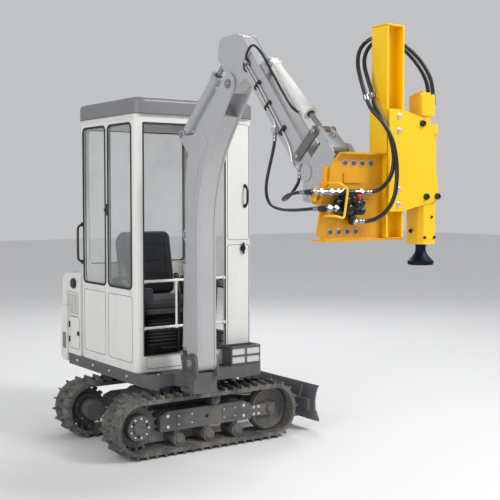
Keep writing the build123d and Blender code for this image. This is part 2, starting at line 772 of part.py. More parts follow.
def rod(name, plane, base, eye, inside, bore, eye_width, eye_radius):
    """A cylinder's rod: its piston in the barrel, its bar and the eye at its end."""
    span = math.dist(base, eye)
    u, v = (eye[0] - base[0]) / span, (eye[1] - base[1]) / span
    start = plane.from_local_coords(Vector(*base, 0))
    along = plane.from_local_coords(Vector(base[0] + u, base[1] + v, 0)) - start
    axis_plane = Plane(origin=start, x_dir=plane.z_dir, z_dir=along)
    with BuildPart() as made:
        with BuildSketch(axis_plane.offset(inside)) as piston:
            Circle(bore - SEAT)
        extrude(amount=PISTON_LENGTH)
        with BuildSketch(axis_plane.offset(inside + PISTON_LENGTH)) as bar:
            Circle(bore * ROD_SHARE)
        extrude(amount=span - inside - PISTON_LENGTH - eye_radius * 0.6)
        with BuildSketch(plane) as eye_disc:
            with Locations(eye):
                Circle(eye_radius)
        extrude(amount=eye_width / 2, both=True)
    write(name, made.part)


boom_plane = side_plane(BOOM_Y)
track_plane = Plane.YZ

# columns: name, plane, base, eye, barrel length, piston's start, bore radius, eye width, pin
CYLINDERS = [
    ("blade_cylinder", track_plane, BLADE_CYL_BASE, BLADE_CYL_EYE, 340, 200, 26, BLADE_EYE, LINK_PIN),
    ("boom_cylinder", boom_plane, BOOM_CYL_BASE, BOOM_CYL_EYE, 590, 330, 30, CYL_EYE, CYL_PIN),
    ("arm_cylinder", boom_plane, ARM_CYL_BASE, ARM_CYL_EYE, 520, 130, 30, CYL_EYE, CYL_PIN),
    ("tilt_cylinder", boom_plane, TILT_CYL_BASE, TILT_CYL_EYE, 470, 190, 26, TILT_EYE, LINK_PIN),
]
for name, plane, base, eye, length, inside, bore, eye_width, pin in CYLINDERS:
    barrel(f"{name}_barrel", plane, base, eye, length, bore, eye_width, pin)
    rod(f"{name}_rod", plane, base, eye, inside, bore, eye_width, pin + CYL_BOSS)


# Upper frame, counterweight and hood

deck_half_width = CAB_HALF_WIDTH + DECK_EDGE
weight_front_x = WEIGHT_DEPTH - TAIL_RADIUS
hood_front_x = CAB_REAR_X - HOOD_GAP


def tail_x(y, radius):
    """Where a tail of this radius reaches at this distance from the middle."""
    return -math.sqrt(radius * radius - y * y)


def tail_outline(front_x, radius, half_width):
    """Draws a closed outline that is square in front and round behind."""
    corner = tail_x(half_width, radius)
    Polyline((corner, half_width), (front_x, half_width), (front_x, -half_width), (corner, -half_width))
    ThreePointArc((corner, -half_width), (-radius, 0), (corner, half_width))


with BuildPart() as platform:
    with BuildSketch(Plane.XY.offset(DECK_LOW_Z)) as deck:
        with BuildLine():
            tail_outline(DECK_FRONT_X, TAIL_RADIUS - DECK_TAIL_STEP, deck_half_width)
        make_face()
        with Locations((-TAIL_RADIUS, 0)):
            Rectangle(2 * WEIGHT_DEPTH, 2 * TAIL_RADIUS, mode=Mode.SUBTRACT)
        front_corners = deck.vertices().group_by(Axis.X)[-1]
        chamfer(front_corners, DECK_CORNER)
    extrude(amount=DECK_HIGH_Z - DECK_LOW_Z)
    # the nose that carries the swing pin
    with BuildSketch(Plane.XY.offset(DECK_LOW_Z)) as nose:
        with Locations((SWING_X, BOOM_Y)):
            Circle(NOSE_RADIUS)
        with BuildLine():
            Polyline(
                (DECK_FRONT_X - NOSE_FLARE, BOOM_Y - NOSE_RADIUS - NOSE_FLARE),
                (SWING_X, BOOM_Y - NOSE_RADIUS),
                (SWING_X, BOOM_Y + NOSE_RADIUS),
                (DECK_FRONT_X - NOSE_FLARE, BOOM_Y + NOSE_RADIUS + NOSE_FLARE),
                close=True,
            )
        make_face()
    extrude(amount=DECK_HIGH_Z - DECK_LOW_Z)
    with BuildSketch(Plane.XY.offset(DECK_LOW_Z)) as swing_bore:
        with Locations((SWING_X, BOOM_Y)):
            Circle(SWING_PIN + FIT)
    extrude(amount=DECK_HIGH_Z - DECK_LOW_Z, mode=Mode.SUBTRACT)
write("platform", platform.part)

with BuildPart() as counterweight:
    with BuildSketch(Plane.XY.offset(WEIGHT_LOW_Z)) as weight:
        with BuildLine():
            tail_outline(weight_front_x - SEAT, TAIL_RADIUS, CAB_HALF_WIDTH + DECK_EDGE + WEIGHT_EDGE)
        make_face()
    extrude(amount=WEIGHT_HIGH_Z - WEIGHT_LOW_Z)
    rim = counterweight.faces().sort_by(Axis.Z)[0].edges().filter_by(GeomType.CIRCLE)
    chamfer(rim, WEIGHT_CHAMFER)
write("counterweight", counterweight.part)

with BuildPart() as engine_hood:
    with BuildSketch(Plane.XY.offset(DECK_HIGH_Z)) as hood:
        with BuildLine():
            tail_outline(hood_front_x, TAIL_RADIUS - HOOD_TAIL_STEP, deck_half_width)
        make_face()
    extrude(amount=HOOD_HIGH_Z - DECK_HIGH_Z)
    crown = engine_hood.faces().sort_by(Axis.Z)[-1].edges().filter_by(GeomType.CIRCLE)
    fillet(crown, HOOD_CROWN)
    with BuildSketch(Plane.XY.offset(DECK_HIGH_Z)) as hood_room:
        with BuildLine():
            room_radius = TAIL_RADIUS - HOOD_TAIL_STEP - HOOD_TAIL_WALL
            tail_outline(hood_front_x - HOOD_WALL, room_radius, deck_half_width - HOOD_WALL)
        make_face()
    extrude(amount=HOOD_HIGH_Z - DECK_HIGH_Z - HOOD_CROWN, mode=Mode.SUBTRACT)
    # the counterweight's place below the tail
    with BuildSketch(Plane.XZ) as weight_room:
        with Locations((-TAIL_RADIUS + SEAT, (WEIGHT_LOW_Z + WEIGHT_HIGH_Z) / 2)):
            Rectangle(2 * WEIGHT_DEPTH + 2 * SEAT, WEIGHT_HIGH_Z - WEIGHT_LOW_Z)
    extrude(amount=2 * TAIL_RADIUS, both=True, mode=Mode.SUBTRACT)
    # air slots through both sides
    with BuildSketch(Plane.XZ) as slots:
        with Locations((hood_front_x - GRILLE_SETBACK, GRILLE_Z)):
            with GridLocations(GRILLE_PITCH, 0, GRILLE_SLOTS, 1):
                Rectangle(GRILLE_SLOT, GRILLE_LENGTH)
    extrude(amount=2 * TAIL_RADIUS, both=True, mode=Mode.SUBTRACT)
write("engine_hood", engine_hood.part)

with BuildPart() as engine:
    engine_low_x = weight_front_x + ENGINE_GAP
    engine_high_x = hood_front_x - ENGINE_GAP
    with BuildSketch(Plane.XY.offset(DECK_HIGH_Z)) as block:
        with Locations(((engine_low_x + engine_high_x) / 2, ENGINE_Y)):
            Rectangle(engine_high_x - engine_low_x, ENGINE_WIDTH)
    extrude(amount=ENGINE_HEIGHT)
write("engine", engine.part)

# Cab: posts and rails, lower sheets, the tall corner panel, the floor and the door's hinge lugs

door_low_z = DECK_HIGH_Z + DOOR_SILL + DOOR_FOOT_GAP
door_high_z = CAB_TOP_Z - POST - DOOR_FOOT_GAP
door_mid_x = (DOOR_REAR_X + DOOR_FRONT_X) / 2
door_width = DOOR_FRONT_X - DOOR_REAR_X
hinge_y = CAB_HALF_WIDTH + DOOR_THICKNESS + HINGE_OUT
hinge_places = (door_low_z + HINGE_INSET, door_high_z - HINGE_INSET)
cab_depth = CAB_FRONT_X - CAB_REAR_X
cab_mid_x = (CAB_FRONT_X + CAB_REAR_X) / 2
cab_height = CAB_TOP_Z - DECK_HIGH_Z
floor_z = DECK_HIGH_Z + FLOOR
front_left = CAB_HALF_WIDTH - CORNER_PANEL_WIDTH

# the right side's windows, each as low x, high x, low z, high z
right_windows = [
    (CAB_REAR_X + POST, MULLION_X, WAIST_Z, CAB_TOP_Z - POST),
    (MULLION_X + MULLION, CAB_FRONT_X - POST, WAIST_Z, CAB_TOP_Z - POST),
]
back_window_low_z = WAIST_Z + BACK_WAIST_RISE
back_window_height = CAB_TOP_Z - POST - back_window_low_z
back_window_mid_z = back_window_low_z + back_window_height / 2

with BuildPart() as cab_frame:
    with BuildSketch(Plane.XY.offset(DECK_HIGH_Z)) as cab_plan:
        with Locations((cab_mid_x, 0)):
            RectangleRounded(cab_depth, 2 * CAB_HALF_WIDTH, CAB_CORNER)
    extrude(amount=cab_height)
    with BuildSketch(Plane.XY.offset(floor_z)) as cab_room:
        with Locations((cab_mid_x, 0)):
            Rectangle(cab_depth - 2 * SHEET, 2 * CAB_HALF_WIDTH - 2 * SHEET)
    extrude(amount=cab_height - FLOOR, mode=Mode.SUBTRACT)
    for low_x, high_x, low_z, high_z in right_windows:
        with BuildSketch(side_plane(-CAB_HALF_WIDTH)) as window:
            with Locations(((low_x + high_x) / 2, (low_z + high_z) / 2)):
                RectangleRounded(high_x - low_x, high_z - low_z, WINDOW_CORNER)
        extrude(amount=SHEET * 2, both=True, mode=Mode.SUBTRACT)
    with BuildSketch(side_plane(CAB_HALF_WIDTH)) as door_opening:
        opening_low_z = DECK_HIGH_Z + DOOR_SILL + DOOR_LAP
        opening_high_z = CAB_TOP_Z - POST - DOOR_LAP
        with Locations((door_mid_x, (opening_low_z + opening_high_z) / 2)):
            RectangleRounded(
                door_width - 2 * DOOR_LAP, opening_high_z - opening_low_z, DOOR_OPENING_CORNER
            )
    extrude(amount=SHEET * 2, both=True, mode=Mode.SUBTRACT)
    with BuildSketch(Plane.YZ.offset(CAB_REAR_X)) as back_window:
        with Locations((0, back_window_mid_z)):
            RectangleRounded(2 * (CAB_HALF_WIDTH - POST), back_window_height, WINDOW_CORNER)
    extrude(amount=SHEET * 2, both=True, mode=Mode.SUBTRACT)
    # the open front above the sill, beside the corner panel
    with BuildSketch(Plane.YZ.offset(CAB_FRONT_X)) as front_opening:
        with Locations(((front_left - CAB_HALF_WIDTH + POST) / 2, (SILL_Z + CAB_TOP_Z - POST) / 2)):
            Rectangle(front_left + CAB_HALF_WIDTH - POST, CAB_TOP_Z - POST - SILL_Z)
    extrude(amount=SHEET * 2, both=True, mode=Mode.SUBTRACT)
    # lugs above and below each of the door's hinges
    for hinge_z in hinge_places:
        lug_low_z = hinge_z - HINGE_HEIGHT / 2 - RUN - HINGE_LUG
        lug_high_z = hinge_z + HINGE_HEIGHT / 2 + RUN
        for lug_z in (lug_low_z, lug_high_z):
            with BuildSketch(Plane.XY.offset(lug_z)) as hinge_lug:
                with BuildLine():
                    Polyline(
                        (DOOR_REAR_X - HINGE_LEAF, CAB_HALF_WIDTH - 2),
                        (DOOR_REAR_X - HINGE_RADIUS, CAB_HALF_WIDTH - 2),
                        (DOOR_REAR_X - HINGE_RADIUS + 3, hinge_y - HINGE_RADIUS + 1),
                        (DOOR_REAR_X, hinge_y - HINGE_RADIUS + 1),
                        (DOOR_REAR_X, hinge_y + HINGE_RADIUS),
                        (DOOR_REAR_X - 2 * HINGE_RADIUS, hinge_y + 6),
                        close=True,
                    )
                make_face()
                with Locations((DOOR_REAR_X, hinge_y)):
                    Circle(HINGE_RADIUS)
            extrude(amount=HINGE_LUG)
write("cab_frame", cab_frame.part)

with BuildPart() as cab_roof:
    with BuildSketch(Plane.XY.offset(CAB_TOP_Z)) as roof:
        with Locations((cab_mid_x, 0)):
            RectangleRounded(
                cab_depth + 2 * ROOF_OVERHANG, 2 * (CAB_HALF_WIDTH + ROOF_SIDE), ROOF_CORNER
            )
    extrude(amount=ROOF_HEIGHT)
    fillet(cab_roof.faces().sort_by(Axis.Z)[-1].edges(), ROOF_EDGE)
write("cab_roof", cab_roof.part)

with BuildPart() as cab_glass:
    for low_x, high_x, low_z, high_z in right_windows:
        with BuildSketch(side_plane(-CAB_HALF_WIDTH + SHEET / 2)) as pane:
            with Locations(((low_x + high_x) / 2, (low_z + high_z) / 2)):
                RectangleRounded(high_x - low_x - 2 * SEAT, high_z - low_z - 2 * SEAT, WINDOW_CORNER)
        extrude(amount=GLASS / 2, both=True)
    with BuildSketch(Plane.YZ.offset(CAB_REAR_X + SHEET / 2)) as back_pane:
        with Locations((0, back_window_mid_z)):
            RectangleRounded(
                2 * (CAB_HALF_WIDTH - POST - SEAT), back_window_height - 2 * SEAT, WINDOW_CORNER
            )
    extrude(amount=GLASS / 2, both=True)
write("cab_glass", cab_glass.part)

# Door: a frame with its windows cut, hinged at its rear edge

door_y = CAB_HALF_WIDTH + RUN + DOOR_THICKNESS / 2
# low z and high z of each window
door_windows = [
    (WAIST_Z, door_high_z - DOOR_FRAME),
    (door_low_z + DOOR_KICK, WAIST_Z - DOOR_RAIL),
]
with BuildPart() as door:
    with BuildSketch(side_plane(door_y)) as leaf:
        with Locations((door_mid_x, (door_low_z + door_high_z) / 2)):
            RectangleRounded(door_width, door_high_z - door_low_z, DOOR_CORNER)
    extrude(amount=DOOR_THICKNESS / 2, both=True)
    for low_z, high_z in door_windows:
        with BuildSketch(side_plane(door_y)) as door_window:
            with Locations((door_mid_x, (low_z + high_z) / 2)):
                RectangleRounded(door_width - 2 * DOOR_FRAME, high_z - low_z, DOOR_WINDOW_CORNER)
        extrude(amount=DOOR_THICKNESS, both=True, mode=Mode.SUBTRACT)
    for hinge_z in hinge_places:
        with BuildSketch(Plane.XY.offset(hinge_z)) as knuckle:
            with Locations((DOOR_REAR_X, hinge_y)):
                Circle(HINGE_RADIUS)
            with BuildLine():
                Polyline(
                    (DOOR_REAR_X, hinge_y + HINGE_RADIUS),
                    (DOOR_REAR_X + HINGE_LEAF, hinge_y - HINGE_OUT + 6),
                    (DOOR_REAR_X + HINGE_LEAF, hinge_y - HINGE_OUT - 4),
                    (DOOR_REAR_X, hinge_y - HINGE_OUT - 4),
                    close=True,
                )
            make_face()
        extrude(amount=HINGE_HEIGHT / 2, both=True)
    # the outside handle
    with BuildSketch(side_plane(door_y + DOOR_THICKNESS / 2)) as handle:
        with Locations((DOOR_FRONT_X - 22, WAIST_Z - DOOR_RAIL / 2)):
            RectangleRounded(HANDLE_WIDTH, HANDLE_HEIGHT, 8)
    extrude(amount=-HANDLE_DEPTH)
write("door", door.part)

with BuildPart() as door_glass:
    for low_z, high_z in door_windows:
        with BuildSketch(side_plane(door_y)) as door_pane:
            with Locations((door_mid_x, (low_z + high_z) / 2)):
                RectangleRounded(
                    door_width - 2 * DOOR_FRAME - 2 * SEAT, high_z - low_z - 2 * SEAT, DOOR_WINDOW_CORNER
                )
        extrude(amount=GLASS / 2, both=True)
write("door_glass", door_glass.part)

# Inside the cab: seat, consoles with their sticks, and the travel levers

console_y = CAB_HALF_WIDTH - SHEET - CONSOLE_GAP - CONSOLE_WIDTH / 2
seat_half_width = console_y - CONSOLE_WIDTH / 2 - SEAT_SIDE_GAP
seat_top_z = floor_z + SEAT_BASE_HEIGHT
with BuildPart() as seat:
    with BuildSketch(Plane.XY.offset(floor_z)) as seat_base:
        with Locations((SEAT_X, 0)):
            Rectangle(SEAT_BASE_LENGTH, 2 * (seat_half_width - SEAT_BASE_INSET))
    extrude(amount=SEAT_BASE_HEIGHT)
    with BuildSketch(side_plane(0)) as seat_shell:
        with BuildLine():
            Polyline(
                (SEAT_X + 200, seat_top_z - 4),
                (SEAT_X + 220, seat_top_z + 70),
                (SEAT_X + 196, seat_top_z + 100),
                (SEAT_X - 110, seat_top_z + 80),
                (SEAT_X - 200, seat_top_z + 100 + BACKREST_HEIGHT),
                (SEAT_X - 260, seat_top_z + 100 + BACKREST_HEIGHT),
                (SEAT_X - 210, seat_top_z - 4),
                close=True,
            )
        make_face()
        fillet(seat_shell.vertices(), SEAT_EDGE)
    extrude(amount=seat_half_width, both=True)
write("seat", seat.part)

with BuildPart() as consoles:
    for sign in (1, -1):
        with BuildSketch(side_plane(sign * console_y)) as console:
            with BuildLine():
                Polyline(
                    (CONSOLE_REAR_X, floor_z),
                    (CONSOLE_FRONT_X - STALK_SETBACK, floor_z),
                    (CONSOLE_FRONT_X, floor_z + CONSOLE_HEIGHT - STALK_SETBACK),
                    (CONSOLE_FRONT_X - 70, floor_z + CONSOLE_HEIGHT),
                    (CONSOLE_REAR_X, floor_z + CONSOLE_HEIGHT - 60),
                    close=True,
                )
            make_face()
        extrude(amount=CONSOLE_WIDTH / 2, both=True)
        stalk_x = CONSOLE_FRONT_X - STALK_SETBACK
        stalk_plane = Plane.XY.offset(floor_z + CONSOLE_HEIGHT - STALK_SETBACK)
        with BuildSketch(stalk_plane) as stalk_low:
            with Locations((stalk_x, sign * console_y)):
                Circle(STALK_RADIUS)
        with BuildSketch(stalk_plane.offset(STALK_HEIGHT)) as stalk_high:
            with Locations((stalk_x + 8, sign * console_y)):
                Circle(STALK_NECK)
        loft()
        with BuildSketch(stalk_plane.offset(STALK_HEIGHT - 4)) as grip:
            with Locations((stalk_x + 10, sign * (console_y - 2))):
                Ellipse(GRIP_LENGTH, GRIP_WIDTH)
        extrude(amount=GRIP_HEIGHT)
write("consoles", consoles.part)

with BuildPart() as travel_levers:
    for sign in (1, -1):
        with BuildSketch(Plane.XY.offset(floor_z)) as pedal_base:
            with Locations((PEDAL_X, sign * PEDAL_SPACING / 2)):
                Rectangle(PEDAL_LENGTH, PEDAL_WIDTH)
        extrude(amount=PEDAL_HEIGHT)
        with BuildSketch(side_plane(sign * PEDAL_SPACING / 2)) as lever:
            with BuildLine():
                Polyline(
                    (PEDAL_X, floor_z + PEDAL_HEIGHT - 6),
                    (PEDAL_X + 16, floor_z + PEDAL_HEIGHT - 6),
                    (PEDAL_X + 36, floor_z + LEVER_HEIGHT - 110),
                    (PEDAL_X, floor_z + LEVER_HEIGHT),
                    (PEDAL_X - 12, floor_z + LEVER_HEIGHT - 4),
                    (PEDAL_X + 20, floor_z + LEVER_HEIGHT - 112),
                    close=True,
                )
            make_face()
        extrude(amount=LEVER_WIDTH / 2, both=True)
write("travel_levers", travel_levers.part)

with BuildPart() as front_guard:
    bar_x = CAB_FRONT_X - SHEET / 2
    bar_left = front_left - SEAT
    bar_right = -CAB_HALF_WIDTH + POST + SEAT
    for bar_z in GUARD_BAR_Z:
        with BuildSketch(Plane.XZ.offset(-bar_left)) as bar:
            with Locations((bar_x, bar_z)):
                Circle(GUARD_BAR)
        extrude(amount=bar_left - bar_right)
    with BuildSketch(Plane.XY.offset(GUARD_BAR_Z[0])) as upright:
        with Locations((bar_x, GUARD_UPRIGHT_Y)):
            Circle(GUARD_UPRIGHT)
    extrude(amount=GUARD_BAR_Z[1] - GUARD_BAR_Z[0])
write("front_guard", front_guard.part)

with BuildPart() as step_box:
    step_y = CAB_HALF_WIDTH - STEP_INSET - STEP_WIDTH / 2
    with BuildSketch(Plane.XY.offset(DECK_HIGH_Z)) as box:
        with Locations((CAB_FRONT_X + SEAT + STEP_DEPTH / 2, step_y)):
            Rectangle(STEP_DEPTH, STEP_WIDTH)
    extrude(amount=STEP_HEIGHT)
    fillet(step_box.edges().filter_by(Axis.Z), STEP_CORNER)
    panel_width = (STEP_WIDTH - 2 * STEP_CORNER - PANEL_GAP) / 2
    panel_height = (STEP_HEIGHT - 3 * PANEL_GAP) / 2
    with BuildSketch(Plane.YZ.offset(CAB_FRONT_X + SEAT + STEP_DEPTH)) as box_panels:
        with Locations((step_y, DECK_HIGH_Z + STEP_HEIGHT / 2)):
            with GridLocations(panel_width + PANEL_GAP, panel_height + PANEL_GAP, 2, 2):
                RectangleRounded(panel_width, panel_height, PANEL_RECESS)
    extrude(amount=-PANEL_RECESS, mode=Mode.SUBTRACT)
write("step_box", step_box.part)

# Swing post: two plates round the platform's nose, the pin, and ears for boom and cylinder

fork_width = BOOM_WIDTH + 2 * EAR + 2 * RUN
ear_offset = CYL_EYE / 2 + RUN + EAR / 2
low_plate_z = DECK_LOW_Z - RUN - POST_PLATE
high_plate_z = DECK_HIGH_Z + RUN
with BuildPart() as swing_post:
    for plate_z in (low_plate_z, high_plate_z):
        with BuildSketch(Plane.XY.offset(plate_z)) as post_plate:
            with Locations((SWING_X, BOOM_Y)):
                Circle(NOSE_RADIUS - POST_NOSE)
            with Locations(((SWING_X - POST_SHOULDER + FOOT[0] + POST_TOE) / 2, BOOM_Y)):
                Rectangle(FOOT[0] + POST_TOE - SWING_X + POST_SHOULDER, fork_width)
        extrude(amount=POST_PLATE)
    with BuildSketch(Plane.XY.offset(low_plate_z)) as swing_pin:
        with Locations((SWING_X, BOOM_Y)):
            Circle(SWING_PIN)
    extrude(amount=high_plate_z - low_plate_z + POST_PLATE + 12)
    with BuildSketch(Plane.XY.offset(low_plate_z)) as post_web:
        with Locations((FOOT[0] + POST_TOE - POST_WEB / 2, BOOM_Y)):
            Rectangle(POST_WEB, fork_width)
    extrude(amount=high_plate_z - low_plate_z)
    for sign in (1, -1):
        ear_y = BOOM_Y + sign * (BOOM_WIDTH / 2 + RUN + EAR / 2)
        with BuildSketch(side_plane(ear_y)) as foot_ear:
            with BuildLine():
                Polyline(
                    (FOOT[0] - FOOT_BOSS - 8, high_plate_z + 2),
                    (FOOT[0] + FOOT_BOSS + 13, high_plate_z + 2),
                    (FOOT[0] + FOOT_BOSS, FOOT[1]),
                    (FOOT[0] - FOOT_BOSS, FOOT[1]),
                    close=True,
                )
            make_face()
            with Locations(FOOT):
                Circle(FOOT_BOSS)
        extrude(amount=EAR / 2, both=True)
        with BuildSketch(side_plane(BOOM_Y + sign * ear_offset)) as base_ear:
            with BuildLine():
                Polyline(
                    (SWING_X - NOSE_RADIUS + 6, high_plate_z + 2),
                    (SWING_X + 10, high_plate_z + 2),
                    (SWING_X + 4, high_plate_z + POST_PLATE + 30),
                    (BOOM_CYL_BASE[0] + 26, BOOM_CYL_BASE[1] + 22),
                    (BOOM_CYL_BASE[0] - 24, BOOM_CYL_BASE[1] + 24),
                    (BOOM_CYL_BASE[0] - 30, BOOM_CYL_BASE[1] - 14),
                    close=True,
                )
            make_face()
        extrude(amount=EAR / 2, both=True)
    # round bosses outside the ears, and the pins
    with BuildSketch(boom_plane) as foot_pin:
        with Locations(FOOT):
            Circle(FOOT_PIN)
    extrude(amount=fork_width / 2 + PIN_HEAD, both=True)
    for sign in (1, -1):
        with BuildSketch(side_plane(BOOM_Y + sign * (fork_width / 2 - 1))) as foot_boss:
            with Locations(FOOT):
                Circle(FOOT_BOSS - 16)
        extrude(amount=-sign * FOOT_BOSS_HEIGHT)
    with BuildSketch(boom_plane) as boom_cyl_pin:
        with Locations(BOOM_CYL_BASE):
            Circle(CYL_PIN)
    extrude(amount=ear_offset + EAR / 2 + PIN_HEAD - 2, both=True)
write("swing_post", swing_post.part)

# Boom: straight and slim up to the bend, deep at the bend, and forked at the stick. Its side
# plates stand out beyond the plates along its back and its belly.

boom_back_x = FOOT[0] - BOOM_BACK
boom_belly_x = FOOT[0] + BOOM_BELLY
boom_tip_high = on_circle(STICK_PIVOT, BOOM_TIP, 90 + BOOM_BACK_SLOPE)
boom_tip_low = on_circle(STICK_PIVOT, BOOM_TIP, BOOM_BELLY_SLOPE - 90)


def boom_lines():
    """Draws the boom's outline from its foot over its bend to its tip and back."""
    FilletPolyline(
        (FOOT[0] - FOOT_BOSS, FOOT[1]),
        (boom_back_x + BOOM_HEEL_STEP, FOOT[1] + BOOM_HEEL),
        drop(boom_tip_high, BOOM_BACK_SLOPE, boom_back_x),
        boom_tip_high,
        radius=[BOOM_HEEL_BEND, BOOM_BACK_BEND],
    )
    Line(boom_tip_high, boom_tip_low)
    FilletPolyline(
        boom_tip_low,
        drop(boom_tip_low, BOOM_BELLY_SLOPE, boom_belly_x),
        (boom_belly_x + BOOM_HEEL_STEP, FOOT[1] + BOOM_HEEL),
        (FOOT[0] + FOOT_BOSS, FOOT[1]),
        radius=[BOOM_BELLY_BEND, BOOM_HEEL_BEND],
    )
    Line((FOOT[0] + FOOT_BOSS, FOOT[1]), (FOOT[0] - FOOT_BOSS, FOOT[1]))


with BuildPart() as boom:
    # the middle, then the two side plates
    # columns: y, half of its thickness, how far it lies inside the outline
    for plate_y, half_width, inset in (
        (BOOM_Y, BOOM_WIDTH / 2 - 1, FLANGE_INSET),
        (BOOM_Y + (BOOM_WIDTH - BOOM_WALL) / 2, BOOM_WALL / 2, 0),
        (BOOM_Y - (BOOM_WIDTH - BOOM_WALL) / 2, BOOM_WALL / 2, 0),
    ):
        with BuildSketch(side_plane(plate_y)) as boom_plate:
            with BuildLine():
                boom_lines()
            make_face()
            with Locations(FOOT):
                Circle(FOOT_BOSS)
            with Locations(STICK_PIVOT):
                Circle(BOOM_TIP)
            if inset:
                offset(amount=-inset)
        extrude(amount=half_width, both=True)
    # the fork's slot for the stick
    with BuildSketch(boom_plane) as fork_slot:
        with Locations(STICK_PIVOT):
            Circle(FORK_DEPTH)
    extrude(amount=STICK_WIDTH / 2 + RUN, both=True, mode=Mode.SUBTRACT)
    with BuildSketch(boom_plane) as foot_hole:
        with Locations(FOOT):
            Circle(FOOT_PIN + FIT)
    extrude(amount=BOOM_WIDTH, both=True, mode=Mode.SUBTRACT)
    with BuildSketch(boom_plane) as stick_pin:
        with Locations(STICK_PIVOT):
            Circle(STICK_PIN)
    extrude(amount=BOOM_WIDTH / 2 + PIN_HEAD, both=True)
    for sign in (1, -1):
        with BuildSketch(side_plane(BOOM_Y + sign * ear_offset)) as back_ears:
            with BuildLine():
                Polyline(
                    (boom_back_x + 11, BOOM_CYL_EYE[1] - 90),
                    (boom_back_x + 11, BOOM_CYL_EYE[1] + 60),
                    (BOOM_CYL_EYE[0] - 6, BOOM_CYL_EYE[1] + 32),
                    (BOOM_CYL_EYE[0] - 32, BOOM_CYL_EYE[1]),
                    (BOOM_CYL_EYE[0] - 6, BOOM_CYL_EYE[1] - 32),
                    close=True,
                )
            make_face()
            with BuildLine():
                Polyline(
                    (ARM_CYL_BASE[0] + 146, ARM_CYL_BASE[1] - 192),
                    (ARM_CYL_BASE[0] + 226, ARM_CYL_BASE[1] - 10),
                    (ARM_CYL_BASE[0] + 31, ARM_CYL_BASE[1] - 6),
                    (ARM_CYL_BASE[0] - 31, ARM_CYL_BASE[1] - 8),
                    close=True,
                )
            make_face()
            with Locations(ARM_CYL_BASE):
                Circle(CYL_PIN + CYL_BOSS)
        extrude(amount=EAR / 2, both=True)
    with BuildSketch(boom_plane) as arm_base_pin:
        with Locations(ARM_CYL_BASE):
            Circle(CYL_PIN)
    extrude(amount=ear_offset + EAR / 2 + PIN_HEAD - 2, both=True)
write("boom", boom.part)

# Stick: a box with the horn above its pivot, a pipe through its knuckle and the boss at its end

stick_end_high = on_circle(STICK_END, STICK_TIP, 90 - STICK_BACK_SLOPE)
stick_back_z = ARM_CYL_EYE[1] + HORN_HEIGHT
back_run = (stick_back_z - stick_end_high[1]) / math.tan(math.radians(STICK_BACK_SLOPE))
knuckle_corner = (stick_end_high[0] - back_run, stick_back_z)
horn_foot = (ARM_CYL_EYE[0] - 45, ARM_CYL_EYE[1] - 20)


def stick_lines():
    """Draws the stick's outline: horn and knuckle, the straight part and its underside."""
    FilletPolyline(
        horn_foot,
        (ARM_CYL_EYE[0] - 32, stick_back_z),
        knuckle_corner,
        stick_end_high,
        radius=[HORN_BEND, KNUCKLE_BEND],
    )
    Line(stick_end_high, (STICK_END[0], STICK_END[1] - STICK_TIP))
    FilletPolyline(
        (STICK_END[0], STICK_END[1] - STICK_TIP),
        (STICK_END[0] - 60, STICK_END[1] - STICK_TIP + 4),
        (STICK_PIVOT[0] + 154, STICK_PIVOT[1] + 37),
        (STICK_PIVOT[0] + 42, STICK_PIVOT[1] - 46),
        radius=[HEEL_BEND / 2, HEEL_BEND],
    )
    Polyline(
        (STICK_PIVOT[0] + 42, STICK_PIVOT[1] - 46),
        (STICK_PIVOT[0] - STICK_BOSS + 2, STICK_PIVOT[1] - 10),
        (STICK_PIVOT[0] - 54, STICK_PIVOT[1] + 65),
        horn_foot,
    )


